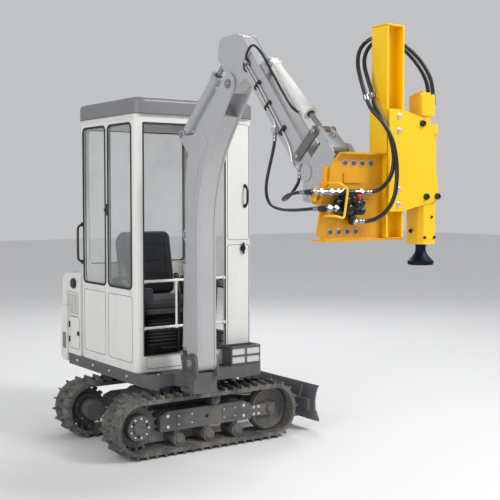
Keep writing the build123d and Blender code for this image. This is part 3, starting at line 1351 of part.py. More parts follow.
with BuildPart() as stick:
    # the middle, then the two side plates
    # columns: y, half of its thickness, how far it lies inside the outline
    for plate_y, half_width, inset in (
        (BOOM_Y, STICK_WIDTH / 2 - 1, FLANGE_INSET),
        (BOOM_Y + (STICK_WIDTH - STICK_WALL) / 2, STICK_WALL / 2, 0),
        (BOOM_Y - (STICK_WIDTH - STICK_WALL) / 2, STICK_WALL / 2, 0),
    ):
        with BuildSketch(side_plane(plate_y)) as stick_plate:
            with BuildLine():
                stick_lines()
            make_face()
            with Locations(STICK_PIVOT):
                Circle(STICK_BOSS)
            with Locations(STICK_END):
                Circle(STICK_TIP)
            if inset:
                offset(amount=-inset)
        extrude(amount=half_width, both=True)
    # ears on the top edge for the tilt cylinder
    for sign in (1, -1):
        with BuildSketch(side_plane(BOOM_Y + sign * (TILT_EYE / 2 + RUN + EAR / 2))) as tilt_ear:
            with Locations(TILT_CYL_BASE):
                Circle(LINK_PIN + CYL_BOSS)
            with BuildLine():
                Polyline(
                    (TILT_CYL_BASE[0] - 100, TILT_CYL_BASE[1] - 14),
                    (TILT_CYL_BASE[0] - 22, TILT_CYL_BASE[1] + 20),
                    (TILT_CYL_BASE[0] + 20, TILT_CYL_BASE[1] - 22),
                    (TILT_CYL_BASE[0] - 20, TILT_CYL_BASE[1] - 96),
                    close=True,
                )
            make_face()
        extrude(amount=EAR / 2, both=True)
    # blocks on the right side that the supply hoses leave downwards
    for block_x, block_z in HOSE_BLOCKS:
        with BuildSketch(side_plane(BOOM_Y - STICK_WIDTH / 2)) as hose_block:
            with Locations((block_x, block_z)):
                Rectangle(*HOSE_BLOCK_SIZE)
        extrude(amount=HOSE_BLOCK_DEPTH)
    # the pipe through the knuckle
    with BuildSketch(boom_plane) as knuckle_ring:
        with Locations(KNUCKLE_HOLE):
            Circle(KNUCKLE_HOLE_RADIUS + KNUCKLE_RING)
    extrude(amount=STICK_WIDTH / 2 + KNUCKLE_RING_HEIGHT, both=True)
    with BuildSketch(boom_plane) as bores:
        with Locations(KNUCKLE_HOLE):
            Circle(KNUCKLE_HOLE_RADIUS)
        with Locations(STICK_PIVOT):
            Circle(STICK_PIN + FIT)
        with Locations(STICK_END):
            Circle(HITCH_PIN_RADIUS + FIT)
    extrude(amount=STICK_WIDTH, both=True, mode=Mode.SUBTRACT)
    # room between the horn's plates for the rod and its eye
    with BuildSketch(boom_plane) as horn_room:
        with Locations(ARM_CYL_EYE):
            Circle(EYE_ROOM)
        slot_between(ARM_CYL_EYE, ROD_ROOM_END, ROD_ROOM_RADIUS)
    extrude(amount=CYL_EYE / 2 + RUN, both=True, mode=Mode.SUBTRACT)
    with BuildSketch(boom_plane) as tilt_pin:
        with Locations(TILT_CYL_BASE):
            Circle(LINK_PIN)
    extrude(amount=TILT_EYE / 2 + RUN + EAR + PIN_HEAD - 2, both=True)
    with BuildSketch(boom_plane) as rocker_pin:
        with Locations(ROCKER_FOOT):
            Circle(LINK_PIN)
    extrude(amount=STICK_WIDTH / 2 + RUN + ROCKER_BAR + RUN + 5, both=True)
write("stick", stick.part)

# Rocker and link: the rocker is a pair of flat bars, each with a stub pin that the link turns on

rocker_spacing = STICK_WIDTH / 2 + RUN + ROCKER_BAR / 2
rod_gap = TILT_EYE / 2 + RUN

with BuildPart() as rocker:
    for sign in (1, -1):
        with BuildSketch(side_plane(BOOM_Y + sign * rocker_spacing)) as rocker_bar:
            slot_between(ROCKER_FOOT, TILT_CYL_EYE, ROCKER_RADIUS)
            with Locations(ROCKER_FOOT):
                Circle(LINK_PIN + FIT, mode=Mode.SUBTRACT)
        extrude(amount=ROCKER_BAR / 2, both=True)
        with BuildSketch(side_plane(BOOM_Y + sign * (rod_gap + 1))) as stub:
            with Locations(TILT_CYL_EYE):
                Circle(LINK_PIN)
        extrude(amount=-sign * (rocker_spacing + ROCKER_BAR - rod_gap - 1))
write("rocker", rocker.part)

with BuildPart() as link:
    with BuildSketch(boom_plane) as link_side:
        slot_between(TILT_CYL_EYE, HITCH_PIN, LINK_RADIUS)
        with Locations(TILT_CYL_EYE):
            Circle(LINK_PIN + FIT, mode=Mode.SUBTRACT)
    extrude(amount=STICK_WIDTH / 2, both=True)
    with BuildSketch(boom_plane) as rod_room:
        with Locations(TILT_CYL_EYE):
            Circle(EYE_ROOM)
    extrude(amount=rod_gap, both=True, mode=Mode.SUBTRACT)
write("link", link.part)

# Quick hitch: two side plates between the arm's pins and the driver's two pins

HITCH_OUTLINE = [
    (1770, 1850),
    (1806, 1862),
    (1930, 1976),
    (1980, 1972),
    (2018, 1930),
    (2026, 1790),
    (2000, 1764),
    (1830, 1656),
    (1772, 1664),
]
hitch_y = STICK_WIDTH / 2 + 2 * RUN + ROCKER_BAR + HITCH_PLATE / 2 + 1
with BuildPart() as quick_hitch:
    for sign in (1, -1):
        with BuildSketch(side_plane(BOOM_Y + sign * hitch_y)) as hitch_plate:
            with BuildLine():
                Polyline(*HITCH_OUTLINE, close=True)
            make_face()
            fillet(hitch_plate.vertices(), HITCH_CORNER)
        extrude(amount=HITCH_PLATE / 2, both=True)
        # the round boss on the outside, and the one that the link's end bears on
        with BuildSketch(side_plane(BOOM_Y + sign * (hitch_y + HITCH_PLATE / 2 - 1))) as hitch_boss:
            with Locations(STICK_END):
                Circle(HITCH_BOSS)
        extrude(amount=-sign * (HITCH_BOSS_HEIGHT + 1))
        with BuildSketch(side_plane(BOOM_Y + sign * (STICK_WIDTH / 2 + RUN))) as link_boss:
            with Locations(HITCH_PIN):
                Circle(HITCH_PIN_RADIUS + 4)
        extrude(amount=-sign * (hitch_y - STICK_WIDTH / 2 - RUN))
    # columns: place, radius of each cross pin
    for place, radius in (
        (STICK_END, HITCH_PIN_RADIUS),
        (HITCH_LOW_PIN, LINK_PIN),
        (HITCH_HIGH_PIN, LINK_PIN),
    ):
        with BuildSketch(boom_plane) as cross_pin:
            with Locations(place):
                Circle(radius)
        extrude(amount=hitch_y + HITCH_PLATE / 2 + PIN_HEAD - 2, both=True)
write("quick_hitch", quick_hitch.part)

# Post driver's fixed side: ears, bracket, mast, valve and its guard

EARS_OUTLINE = [
    (BRACKET_PLATE_X, 1860),
    (2000, 1846),
    (1962, 1812),
    (1790, 1722),
    (1766, 1690),
    (1784, 1662),
    (1830, 1650),
    (BRACKET_PLATE_X, 1560),
]
with BuildPart() as tool_ears:
    for sign in (1, -1):
        with BuildSketch(side_plane(BOOM_Y + sign * EAR_SPREAD)) as tool_ear:
            with BuildLine():
                Polyline(*EARS_OUTLINE, close=True)
            make_face()
            with Locations(HITCH_LOW_PIN, HITCH_HIGH_PIN):
                Circle(LINK_PIN + FIT, mode=Mode.SUBTRACT)
        extrude(amount=EAR_PLATE / 2, both=True)
    with BuildSketch(Plane.YZ.offset(BRACKET_PLATE_X)) as foot_plate:
        with Locations(FOOT_PLATE):
            Rectangle(*FOOT_PLATE_SIZE)
    extrude(amount=-BRACKET_PLATE)
write("tool_ears", tool_ears.part)

mast_left = MAST_Y - MAST_SIZE / 2
mast_right = MAST_Y + MAST_SIZE / 2
mast_front = MAST_X + MAST_SIZE / 2
mast_back = MAST_X - MAST_SIZE / 2

# columns: y, z
BRACKET_OUTLINE = [
    (-BRACKET_TOE - 28, MAST_LOW_Z + 30),
    (-BRACKET_TOE, MAST_LOW_Z),
    (BRACKET_LEFT_Y, MAST_LOW_Z),
    (BRACKET_LEFT_Y, BRACKET_HIGH_Z),
    (-240, BRACKET_HIGH_Z),
    (-305, 1845),
    (-311, 1769),
    (-372, 1764),
    (-356, 1688),
]
# the raised angle on the plate, columns: y, z
RIB_OUTLINE = [(-222, 1812), (-214, 1812), (-214, 1768), (-104, 1768), (-104, 1760), (-222, 1760)]
with BuildPart() as bracket:
    with BuildSketch(Plane.YZ.offset(BRACKET_PLATE_X)) as back_plate:
        with BuildLine():
            Polyline(*BRACKET_OUTLINE, close=True)
        make_face()
        for row in BRACKET_ROWS:
            with Locations(row):
                with GridLocations(BRACKET_BOLT_PITCH, 0, 4, 1):
                    Circle(BRACKET_BOLT, mode=Mode.SUBTRACT)
    extrude(amount=BRACKET_PLATE)
    # the top and bottom flanges
    with BuildSketch(Plane.XY.offset(BRACKET_HIGH_Z - BRACKET_FLANGE + 2)) as top_flange:
        with Locations(
            ((BRACKET_PLATE_X + mast_front) / 2, BRACKET_LEFT_Y - BRACKET_FLANGE_WIDTH / 2)
        ):
            Rectangle(mast_front - BRACKET_PLATE_X, BRACKET_FLANGE_WIDTH)
    extrude(amount=BRACKET_FLANGE - 2)
    with BuildSketch(Plane.XY.offset(MAST_LOW_Z - BRACKET_FLANGE)) as bottom_flange:
        with Locations((MAST_X, (mast_right - BRACKET_TOE) / 2)):
            Rectangle(MAST_SIZE, mast_right + BRACKET_TOE)
    extrude(amount=BRACKET_FLANGE)
    with BuildSketch(Plane.YZ.offset(BRACKET_PLATE_X + BRACKET_PLATE)) as rib:
        with BuildLine():
            Polyline(*RIB_OUTLINE, close=True)
        make_face()
    extrude(amount=RIB_WIDTH)
write("bracket", bracket.part)

with BuildPart() as mast:
    with BuildSketch(Plane.XY.offset(MAST_LOW_Z)) as beam_section:
        for sign in (1, -1):
            with Locations((MAST_X, MAST_Y + sign * (MAST_SIZE - MAST_FLANGE) / 2)):
                Rectangle(MAST_SIZE, MAST_FLANGE)
        with Locations((MAST_X, MAST_Y)):
            Rectangle(MAST_WEB, MAST_SIZE)
    extrude(amount=MAST_HIGH_Z - MAST_LOW_Z)
    with BuildSketch(Plane.XY.offset(MAST_HIGH_Z)) as mast_cap:
        with Locations((MAST_X, MAST_Y)):
            Rectangle(MAST_SIZE, MAST_SIZE)
    extrude(amount=MAST_CAP)
    # the clip that holds the hoses on the mast's right face
    with BuildSketch(Plane.XY.offset(CLIP_Z)) as hose_clip:
        with Locations((MAST_X - 12, mast_left - CLIP_WIDTH / 2)):
            Rectangle(CLIP_HEIGHT, CLIP_WIDTH)
    extrude(amount=CLIP_HEIGHT)
write("mast", mast.part)

valve_x = BRACKET_PLATE_X + BRACKET_PLATE
line_x = valve_x + VALVE_LINE
valve_right = VALVE_PLACE[0] - VALVE_SIZE[0] / 2
with BuildPart() as valve_block:
    with BuildSketch(Plane.YZ.offset(valve_x)) as valve_body:
        with Locations(VALVE_PLACE):
            RectangleRounded(*VALVE_SIZE, 8)
    extrude(amount=VALVE_DEPTH - SPOOL_RISE)
    # the two spools' housings, their caps and the plugs on their front
    for spool_z in (VALVE_PLACE[1] + SPOOL_SPREAD / 2, VALVE_PLACE[1] - SPOOL_SPREAD / 2):
        with BuildSketch(Plane.XZ.offset(-valve_right + SPOOL_CAP)) as spool:
            with Locations((line_x, spool_z)):
                Circle(SPOOL_RADIUS)
        extrude(amount=-VALVE_SIZE[0] - 2 * SPOOL_CAP)
        with BuildSketch(Plane.YZ.offset(valve_x + VALVE_DEPTH - SPOOL_RISE - 4)) as spool_plug:
            with Locations((VALVE_PLACE[0] - 22, spool_z), (VALVE_PLACE[0] + 26, spool_z)):
                Circle(PLUG_RADIUS)
        extrude(amount=SPOOL_RISE + 4)
    # the coupling line across the top and the coupling below it
    # columns: low y, high y, z, radius
    for low_y, high_y, line_z, radius in (
        (LINE_LOW_Y, LINE_HIGH_Y, LINE_Z, COUPLING),
        (LINE_LOW_Y + 98, VALVE_PLACE[0] - 57, LOW_LINE_Z, LOW_COUPLING),
    ):
        with BuildSketch(Plane.XZ.offset(-high_y)) as coupling:
            with Locations((line_x, line_z)):
                Circle(radius)
        extrude(amount=high_y - low_y)
    # elbows at the outer ends, facing back to the arm
    # columns: y, z, radius
    for elbow_y, elbow_z, radius in (
        (LINE_LOW_Y - HOSE_END, LINE_Z, COUPLING),
        (LINE_LOW_Y + 86 - HOSE_END, LOW_LINE_Z, LOW_COUPLING),
    ):
        with BuildSketch(Plane.YZ.offset(valve_x + BRACKET_PLATE)) as elbow:
            with Locations((elbow_y, elbow_z)):
                Circle(radius)
        extrude(amount=ELBOW_DEPTH)
    with BuildSketch(Plane.XZ.offset(140)) as line_block:
        with Locations((line_x, LINE_Z - 22)):
            Rectangle(40, 44)
    extrude(amount=VALVE_SIZE[0])
    with BuildSketch(Plane.XY.offset(OUTLET_Z - 2)) as outlet:
        with Locations((line_x, OUTLET_Y)):
            Circle(COUPLING)
    extrude(amount=VALVE_PLACE[1] - OUTLET_Z - 20)
    with BuildSketch(Plane.XZ.offset(-OUTLET_Y + 4)) as outlet_elbow:
        with Locations((line_x, OUTLET_Z)):
            Circle(COUPLING)
    extrude(amount=-(OUTLET_LENGTH + 4))
write("valve_block", valve_block.part)

with BuildPart() as valve_guard:
    with BuildLine() as guard_path:
        FilletPolyline(
            (valve_x, -318, 1758),
            (valve_x + GUARD_OUT, -318, 1758),
            (valve_x + GUARD_OUT, -268, 1726),
            (valve_x + GUARD_OUT, -292, 1580),
            (valve_x + GUARD_OUT, -346, 1594),
            (valve_x, -346, 1594),
            radius=16,
        )
    with BuildSketch(Plane(origin=guard_path.line @ 0, z_dir=guard_path.line % 0)) as guard_section:
        Circle(GUARD_WIRE)
    sweep()
write("valve_guard", valve_guard.part)

# Carriage: two plates before and behind the mast, with slide pads in the beam's grooves

# columns: y, z
PLATE_OUTLINE = [
    (44, 1612),
    (142, 1612),
    (414, 1675),
    (383, 1835),
    (371, 2029),
    (280, 2114),
    (122, 2148),
    (44, 2148),
]
with BuildPart() as carriage_plates:
    for plate_x in (mast_front + CARRIAGE_GAP, mast_back - CARRIAGE_GAP - CARRIAGE_PLATE):
        with BuildSketch(Plane.YZ.offset(plate_x)) as side_plate:
            with BuildLine():
                Polyline(*PLATE_OUTLINE, close=True)
            make_face()
        extrude(amount=CARRIAGE_PLATE)
write("carriage_plates", carriage_plates.part)

with BuildPart() as slide_pads:
    pad_width = MAST_SIZE - 2 * MAST_FLANGE - 2 * RUN
    pad_depth = MAST_SIZE / 2 + CARRIAGE_GAP - MAST_WEB / 2 - RUN
    for sign in (1, -1):
        pad_x = MAST_X + sign * (MAST_WEB / 2 + RUN + pad_depth / 2)
        for pad_z in PAD_Z:
            with BuildSketch(Plane.XY.offset(pad_z)) as pad:
                with Locations((pad_x, MAST_Y)):
                    Rectangle(pad_depth, pad_width)
            extrude(amount=PAD_HEIGHT)
write("slide_pads", slide_pads.part)

# Hammer: square housing, tube with four tie rods, collar and head

with BuildPart() as hammer_housing:
    with BuildSketch(Plane.XY.offset(HOUSING_LOW_Z)) as housing:
        with Locations((MAST_X, HAMMER_Y)):
            Rectangle(HAMMER_SIZE, HAMMER_SIZE)
        chamfer(housing.vertices(), HOUSING_CHAMFER)
    extrude(amount=HOUSING_HIGH_Z - HOUSING_LOW_Z)
    with BuildSketch(Plane.XZ.offset(-(HAMMER_Y + HAMMER_SIZE / 2 + RETAINER_OUT))) as retainer:
        with Locations((MAST_X, RETAINER_Z)):
            Circle(RETAINER)
    extrude(amount=HAMMER_SIZE + 2 * RETAINER_OUT)
write("hammer_housing", hammer_housing.part)

with BuildPart() as hammer_tube:
    with BuildSketch(Plane.XY.offset(HOUSING_HIGH_Z)) as tube:
        with Locations((MAST_X, HAMMER_Y)):
            Circle(HAMMER_TUBE)
            with GridLocations(TIE_ROD_SPREAD, TIE_ROD_SPREAD, 2, 2):
                Circle(TIE_ROD)
    extrude(amount=COLLAR_LOW_Z - HOUSING_HIGH_Z)
write("hammer_tube", hammer_tube.part)

with BuildPart() as hammer_head:
    block_low_z = COLLAR_LOW_Z + COLLAR_HEIGHT + HEAD_NECK_HEIGHT
    with BuildSketch(Plane.XY.offset(COLLAR_LOW_Z)) as collar:
        with Locations((MAST_X, HAMMER_Y)):
            RectangleRounded(HAMMER_SIZE, HAMMER_SIZE, COLLAR_CORNER)
    extrude(amount=COLLAR_HEIGHT)
    with BuildSketch(Plane.XY.offset(COLLAR_LOW_Z + COLLAR_HEIGHT)) as neck:
        with Locations((MAST_X, HAMMER_Y)):
            Circle(HEAD_SIZE / 2 - 6)
    extrude(amount=HEAD_NECK_HEIGHT)
    with BuildSketch(Plane.XY.offset(block_low_z)) as head_block:
        with Locations((MAST_X, HAMMER_Y)):
            RectangleRounded(HEAD_SIZE, HEAD_SIZE, HEAD_CORNER)
    extrude(amount=HEAD_HIGH_Z - block_low_z)
    # fittings on the far side that the hoses come down into
    for port_x in HEAD_PORT_X:
        with BuildSketch(Plane.XZ.offset(-HAMMER_Y - HEAD_SIZE / 2 + 2)) as port:
            with Locations((port_x, HEAD_PORT_Z)):
                Circle(HEAD_PORT)
        extrude(amount=-(HEAD_PORT_Y - HAMMER_Y - HEAD_SIZE / 2 + 2))
        with BuildSketch(Plane.XY.offset(HEAD_PORT_Z - HEAD_ELBOW)) as port_elbow:
            with Locations((port_x, HEAD_PORT_Y)):
                Circle(HEAD_ELBOW)
        extrude(amount=HEAD_ELBOW + 26)
    with BuildSketch(Plane.XY.offset(HEAD_HIGH_Z)) as step_low:
        with Locations((MAST_X, HAMMER_Y)):
            RectangleRounded(HEAD_STEP_SIZE, HEAD_STEP_SIZE, 10)
    extrude(amount=HEAD_STEP_HEIGHT)
    with BuildSketch(Plane.XY.offset(HEAD_HIGH_Z + HEAD_STEP_HEIGHT)) as stud:
        with Locations((MAST_X, HAMMER_Y)):
            Circle(STUD_RADIUS)
    extrude(amount=STUD_HEIGHT)
write("hammer_head", hammer_head.part)

# Driving cap: a neck out of the housing and a bell that sits over the post

with BuildPart() as driving_cap:
    with BuildSketch(Plane.XZ.offset(-HAMMER_Y)) as cap_profile:
        with BuildLine():
            Polyline(
                (MAST_X, HOUSING_LOW_Z),
                (MAST_X + CAP_NECK, HOUSING_LOW_Z),
                (MAST_X + CAP_NECK - 2, HOUSING_LOW_Z - 26),
            )
            Spline(
                (MAST_X + CAP_NECK - 2, HOUSING_LOW_Z - 26),
                (MAST_X + CAP_RADIUS - 24, CAP_LOW_Z + CAP_CROWN + 4),
                (MAST_X + CAP_RADIUS, CAP_LOW_Z + CAP_LIP),
                tangents=((0, -1), (1, -0.8)),
            )
            Polyline(
                (MAST_X + CAP_RADIUS, CAP_LOW_Z + CAP_LIP),
                (MAST_X + CAP_RADIUS, CAP_LOW_Z + 5),
                (MAST_X + CAP_RADIUS - 5, CAP_LOW_Z),
                (MAST_X + CAP_BORE, CAP_LOW_Z),
                (MAST_X + CAP_BORE, CAP_LOW_Z + CAP_DEPTH),
                (MAST_X, CAP_LOW_Z + CAP_DEPTH),
                (MAST_X, HOUSING_LOW_Z),
            )
        make_face()
    revolve(axis=Axis((MAST_X, HAMMER_Y, 0), (0, 0, 1)))
write("driving_cap", driving_cap.part)

# Hoses. Each route is a list of points in x, y, z.

DRIVER_HOSE_A = [
    (2132, -109.5, 1712),
    (2132, -60, 1712),
    (2148, -4, 1730),
    (2172, 36, 1784),
    (2182, 52, 1862),
    (2180, 46, 1944),
    (2166, 28, 2030),
    (2128, 2, 2110),
    (2084, -2, 2166),
    (2066, 4, 2222),
    (2040, -10, 2310),
    (2000, -4, 2396),
    (1980, 36, 2474),
    (1976, 112, 2530),
    (1982, 204, 2546),
    (2004, 296, 2512),
    (2040, 368, 2440),
    (2072, 414, 2350),
    (2084, 426, 2270),
    (2084, 426, 2206.5),
]
DRIVER_HOSE_B = [
    (2132, -159.5, 1562),
    (2132, -100, 1562),
    (2158, -46, 1574),
    (2188, 0, 1614),
    (2206, 38, 1690),
    (2208, 50, 1790),
    (2206, 46, 1890),
    (2196, 26, 1990),
    (2160, -10, 2080),
    (2098, -34, 2140),
    (2060, -36, 2206),
    (2030, -44, 2290),
    (1986, -36, 2390),
    (1954, 8, 2480),
    (1948, 94, 2544),
    (1952, 190, 2556),
    (1966, 290, 2516),
    (1998, 368, 2440),
    (2034, 414, 2350),
    (2050, 426, 2270),
    (2050, 426, 2206.5),
]
SUPPLY_HOSE_A = [
    (1500, -218, 2044.5),
    (1500, -218, 1996),
    (1486, -227, 1920),
    (1472, -238, 1846),
    (1466, -250, 1782),
    (1476, -262, 1728),
    (1504, -275, 1683),
    (1550, -290, 1652),
    (1620, -308, 1632),
    (1712, -330, 1622),
    (1812, -352, 1619),
    (1912, -371, 1621),
    (2004, -382, 1626),
    (2066, -384.5, 1630),
    (2113.5, -384.5, 1630),
]
SUPPLY_HOSE_B = [
    (1730, -218, 1834.5),
    (1730, -218, 1782),
    (1722, -240, 1736),
    (1724, -276, 1698),
    (1744, -322, 1676),
    (1790, -374, 1672),
    (1856, -420, 1682),
    (1936, -452, 1698),
    (2010, -468, 1708),
    (2068, -470.5, 1712),
    (2113.5, -470.5, 1712),
]


def hose(name, points, diameter):
    """A plain tube of straight runs and arcs along the route."""
    with BuildPart() as made:
        with BuildLine() as route:
            rounded_path(points, name)
        with BuildSketch(Plane(origin=route.line @ 0, z_dir=route.line % 0)) as section:
            Circle(diameter / 2)
        sweep(transition=Transition.ROUND)
    length = sum(edge.length for edge in route.edges())
    ratio = made.part.volume / (math.pi * diameter**2 / 4 * length)
    print(name, "length", round(length), "volume ratio", round(ratio, 4))
    write(name, made.part)


# columns: name, route, diameter
HOSES = [
    ("driver_hose_a", DRIVER_HOSE_A, HOSE),
    ("driver_hose_b", DRIVER_HOSE_B, HOSE),
    ("supply_hose_a", SUPPLY_HOSE_A, SUPPLY_HOSE),
    ("supply_hose_b", SUPPLY_HOSE_B, SUPPLY_HOSE),
]
for name, points, diameter in HOSES:
    hose(name, points, diameter)
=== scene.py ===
"""Looks of a post driver on a tracked mini excavator, over its CAD frame."""

import logging
import math
from dataclasses import dataclass
from enum import Enum
from itertools import product
from typing import Any, ClassVar, Iterable, Sequence

import bpy
import numpy as np
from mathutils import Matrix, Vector


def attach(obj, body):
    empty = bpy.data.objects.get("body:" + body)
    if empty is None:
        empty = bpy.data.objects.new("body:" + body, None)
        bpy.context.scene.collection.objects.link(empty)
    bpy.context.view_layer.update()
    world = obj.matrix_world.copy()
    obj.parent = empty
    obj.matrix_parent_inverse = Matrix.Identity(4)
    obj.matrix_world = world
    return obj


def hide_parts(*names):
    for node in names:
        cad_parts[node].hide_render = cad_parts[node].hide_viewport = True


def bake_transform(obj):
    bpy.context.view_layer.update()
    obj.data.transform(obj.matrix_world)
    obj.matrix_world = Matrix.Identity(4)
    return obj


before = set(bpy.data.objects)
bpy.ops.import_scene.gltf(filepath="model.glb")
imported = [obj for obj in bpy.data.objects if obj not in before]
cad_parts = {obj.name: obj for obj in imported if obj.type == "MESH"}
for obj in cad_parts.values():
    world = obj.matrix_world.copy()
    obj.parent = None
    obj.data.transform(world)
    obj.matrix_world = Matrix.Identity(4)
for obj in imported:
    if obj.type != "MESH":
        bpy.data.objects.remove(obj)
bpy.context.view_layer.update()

log = logging.getLogger("post_driver")
Point = tuple[float, float, float]
Pair = tuple[float, float]
Flat = Sequence[Pair]
Place = Sequence[float]
Spot = tuple[Place, Place]
Colour = tuple[float, float, float, float]
# places are in metres; sections and fasteners' sizes are in millimetres
MM = 0.001
AHEAD, BEHIND = (1, 0, 0), (-1, 0, 0)
LEFT, RIGHT = (0, 1, 0), (0, -1, 0)
UP, DOWN = (0, 0, 1), (0, 0, -1)


class Face(Enum):
    """The way a flat side faces, as its axis and sign; it is drawn on in the machine's axes."""

    FRONT = (0, 1)
    BACK = (0, -1)
    LEFT = (1, 1)
    RIGHT = (1, -1)
    TOP = (2, 1)

    @property
    def turned(self) -> bool:
        """Whether a loop drawn counterclockwise runs clockwise as seen from outside."""
        axis, way = self.value
        return (way > 0) if axis == 1 else (way < 0)

    @property
    def outwards(self) -> Point:
        """The direction that the side faces."""
        axis, way = self.value
        return tuple(float(way) if k == axis else 0.0 for k in range(3))

    def lift(self, flat: np.ndarray, level: float, height: Any) -> np.ndarray:
        """Puts drawn pairs on the side: the third coordinate is level + sign * height.

        Args:
            flat: pairs of coordinates along the side's two other axes, in their order.
            level: where the side lies along its own axis.
            height: how far outside it each point is.

        Returns:
            The points.
        """
        axis, way = self.value
        columns = [flat[..., 0], flat[..., 1]]
        across = level + way * np.asarray(height, float)
        columns.insert(axis, np.broadcast_to(across, flat.shape[:-1]))
        return np.stack(columns, axis=-1)

    def spots(self, level: float, pairs: Iterable[Pair]) -> list[Spot]:
        """Places on the side at this level, each with the way out of it."""
        return [(tuple(self.lift(np.array(pair), level, 0.0)), self.outwards) for pair in pairs]


# shader maths


class Signal:
    """A value that runs through a material's nodes, with arithmetic."""

    def __init__(self, board: "Board", socket: bpy.types.NodeSocket) -> None:
        """Keeps the node tree's board and the output socket."""
        self.board = board
        self.socket = socket

    def _maths(self, operation: str, *values: Any) -> "Signal":
        """The value of a Math node into which these signals or numbers go."""
        return self.board.node("ShaderNodeMath", {"operation": operation}, dict(enumerate(values)))

    def __add__(self, other: Any) -> "Signal":
        """Sum."""
        return self._maths("ADD", self, other)

    __radd__ = __add__

    def __sub__(self, other: Any) -> "Signal":
        """Difference."""
        return self._maths("SUBTRACT", self, other)

    def __rsub__(self, other: Any) -> "Signal":
        """Difference the other way round."""
        return self._maths("SUBTRACT", other, self)

    def __mul__(self, other: Any) -> "Signal":
        """Product."""
        return self._maths("MULTIPLY", self, other)

    __rmul__ = __mul__

    def wave(self, pitch: float) -> "Signal":
        """A smooth wave from 0 to 1 that repeats once a pitch."""
        return self._maths("SINE", self * (2 * math.pi / pitch)) * 0.5 + 0.5

    def band(self, low: float, high: float) -> "Signal":
        """Rises smoothly from 0 at low to 1 at high; falls where low is above high.

        Args:
            low: where it is 0.
            high: where it is 1.

        Returns:
            The step.
        """
        if low > high:
            return 1 - self.band(high, low)
        settings, ends = {"interpolation_type": "SMOOTHSTEP"}, {1: low, 2: high, 3: 0.0, 4: 1.0}
        return self.board.node("ShaderNodeMapRange", settings, {0: self, **ends})

    def axis(self, letter: str) -> "Signal":
        """One coordinate of a vector."""
        return self.board.node("ShaderNodeSeparateXYZ", {}, {0: self}, "XYZ".index(letter))


class Board:
    """One material's nodes."""

    def __init__(self, name: str) -> None:
        """Starts an empty material of that name."""
        self.material = bpy.data.materials.new(name)
        self.material.use_nodes = True
        self.tree = self.material.node_tree
        self.tree.nodes.clear()
        self.place = self.node("ShaderNodeTexCoord", {}, {}, "Object")

    def node(
        self, kind: str, settings: dict[str, Any], inputs: dict[Any, Any], output: Any = 0
    ) -> Signal | None:
        """Adds a node.

        Args:
            kind: the node's type.
            settings: its own settings, set before its sockets.
            inputs: the values or signals of its sockets, by name or number.
            output: the name or number of the socket that is used, or None where it has none.

        Returns:
            The signal that leaves it.
        """
        made = self.tree.nodes.new(kind)
        for key, value in settings.items():
            setattr(made, key, value)
        for key, value in inputs.items():
            if isinstance(value, Signal):
                self.tree.links.new(value.socket, made.inputs[key])
            else:
                made.inputs[key].default_value = value
        return None if output is None else Signal(self, made.outputs[output])

    def noise(
        self, scale: float, detail: float = 3, rough: float = 0.55, stretch: Point = (1, 1, 1)
    ) -> Signal:
        """Noise over the piece's own coordinates.

        Args:
            scale: how fine it is, in waves a metre.
            detail: how many finer layers it has.
            rough: how strong the finer layers are.
            stretch: how much each axis is packed.

        Returns:
            A value from 0 to 1.
        """
        at = self.node("ShaderNodeMapping", {}, {"Vector": self.place, "Scale": stretch})
        sockets = {"Vector": at, "Scale": scale, "Detail": detail, "Roughness": rough}
        return self.node("ShaderNodeTexNoise", {}, sockets)

    def blend(self, mask: Signal, below: Any, above: Any) -> Signal:
        """A colour that goes from below to above as the mask goes from 0 to 1."""
        return self.node("ShaderNodeMix", {"data_type": "RGBA"}, {0: mask, 6: below, 7: above}, 2)

    def bump(self, height: Signal, strength: float, depth: float) -> Signal:
        """A normal that follows a height from 0 to 1, this strong and this many metres deep."""
        sockets = {"Strength": strength, "Distance": depth, "Height": height}
        return self.node("ShaderNodeBump", {}, sockets)

    def surface(self, **sockets: Any) -> bpy.types.Material:
        """Closes the material with one Principled shader.

        Args:
            sockets: its sockets, with the spaces of their names as underscores.

        Returns:
            The material.
        """
        inputs = {key.replace("_", " "): value for key, value in sockets.items()}
        shader = self.node("ShaderNodeBsdfPrincipled", {}, inputs)
        self.node("ShaderNodeOutputMaterial", {}, {"Surface": shader}, None)
        return self.material


def rgb(red: float, green: float, blue: float) -> Colour:
    """The opaque colour of 0 to 255 values as the screen shows them, in linear light."""
    shares = [v / 255 for v in (red, green, blue)]
    return (*(((s + 0.055) / 1.055) ** 2.4 if s > 10 / 255 else s / 12.92 for s in shares), 1.0)


def dimmed(colour: Colour, share: float) -> Colour:
    """The colour with this share of its light."""
    return (*(share * c for c in colour[:3]), 1.0)


# finishes


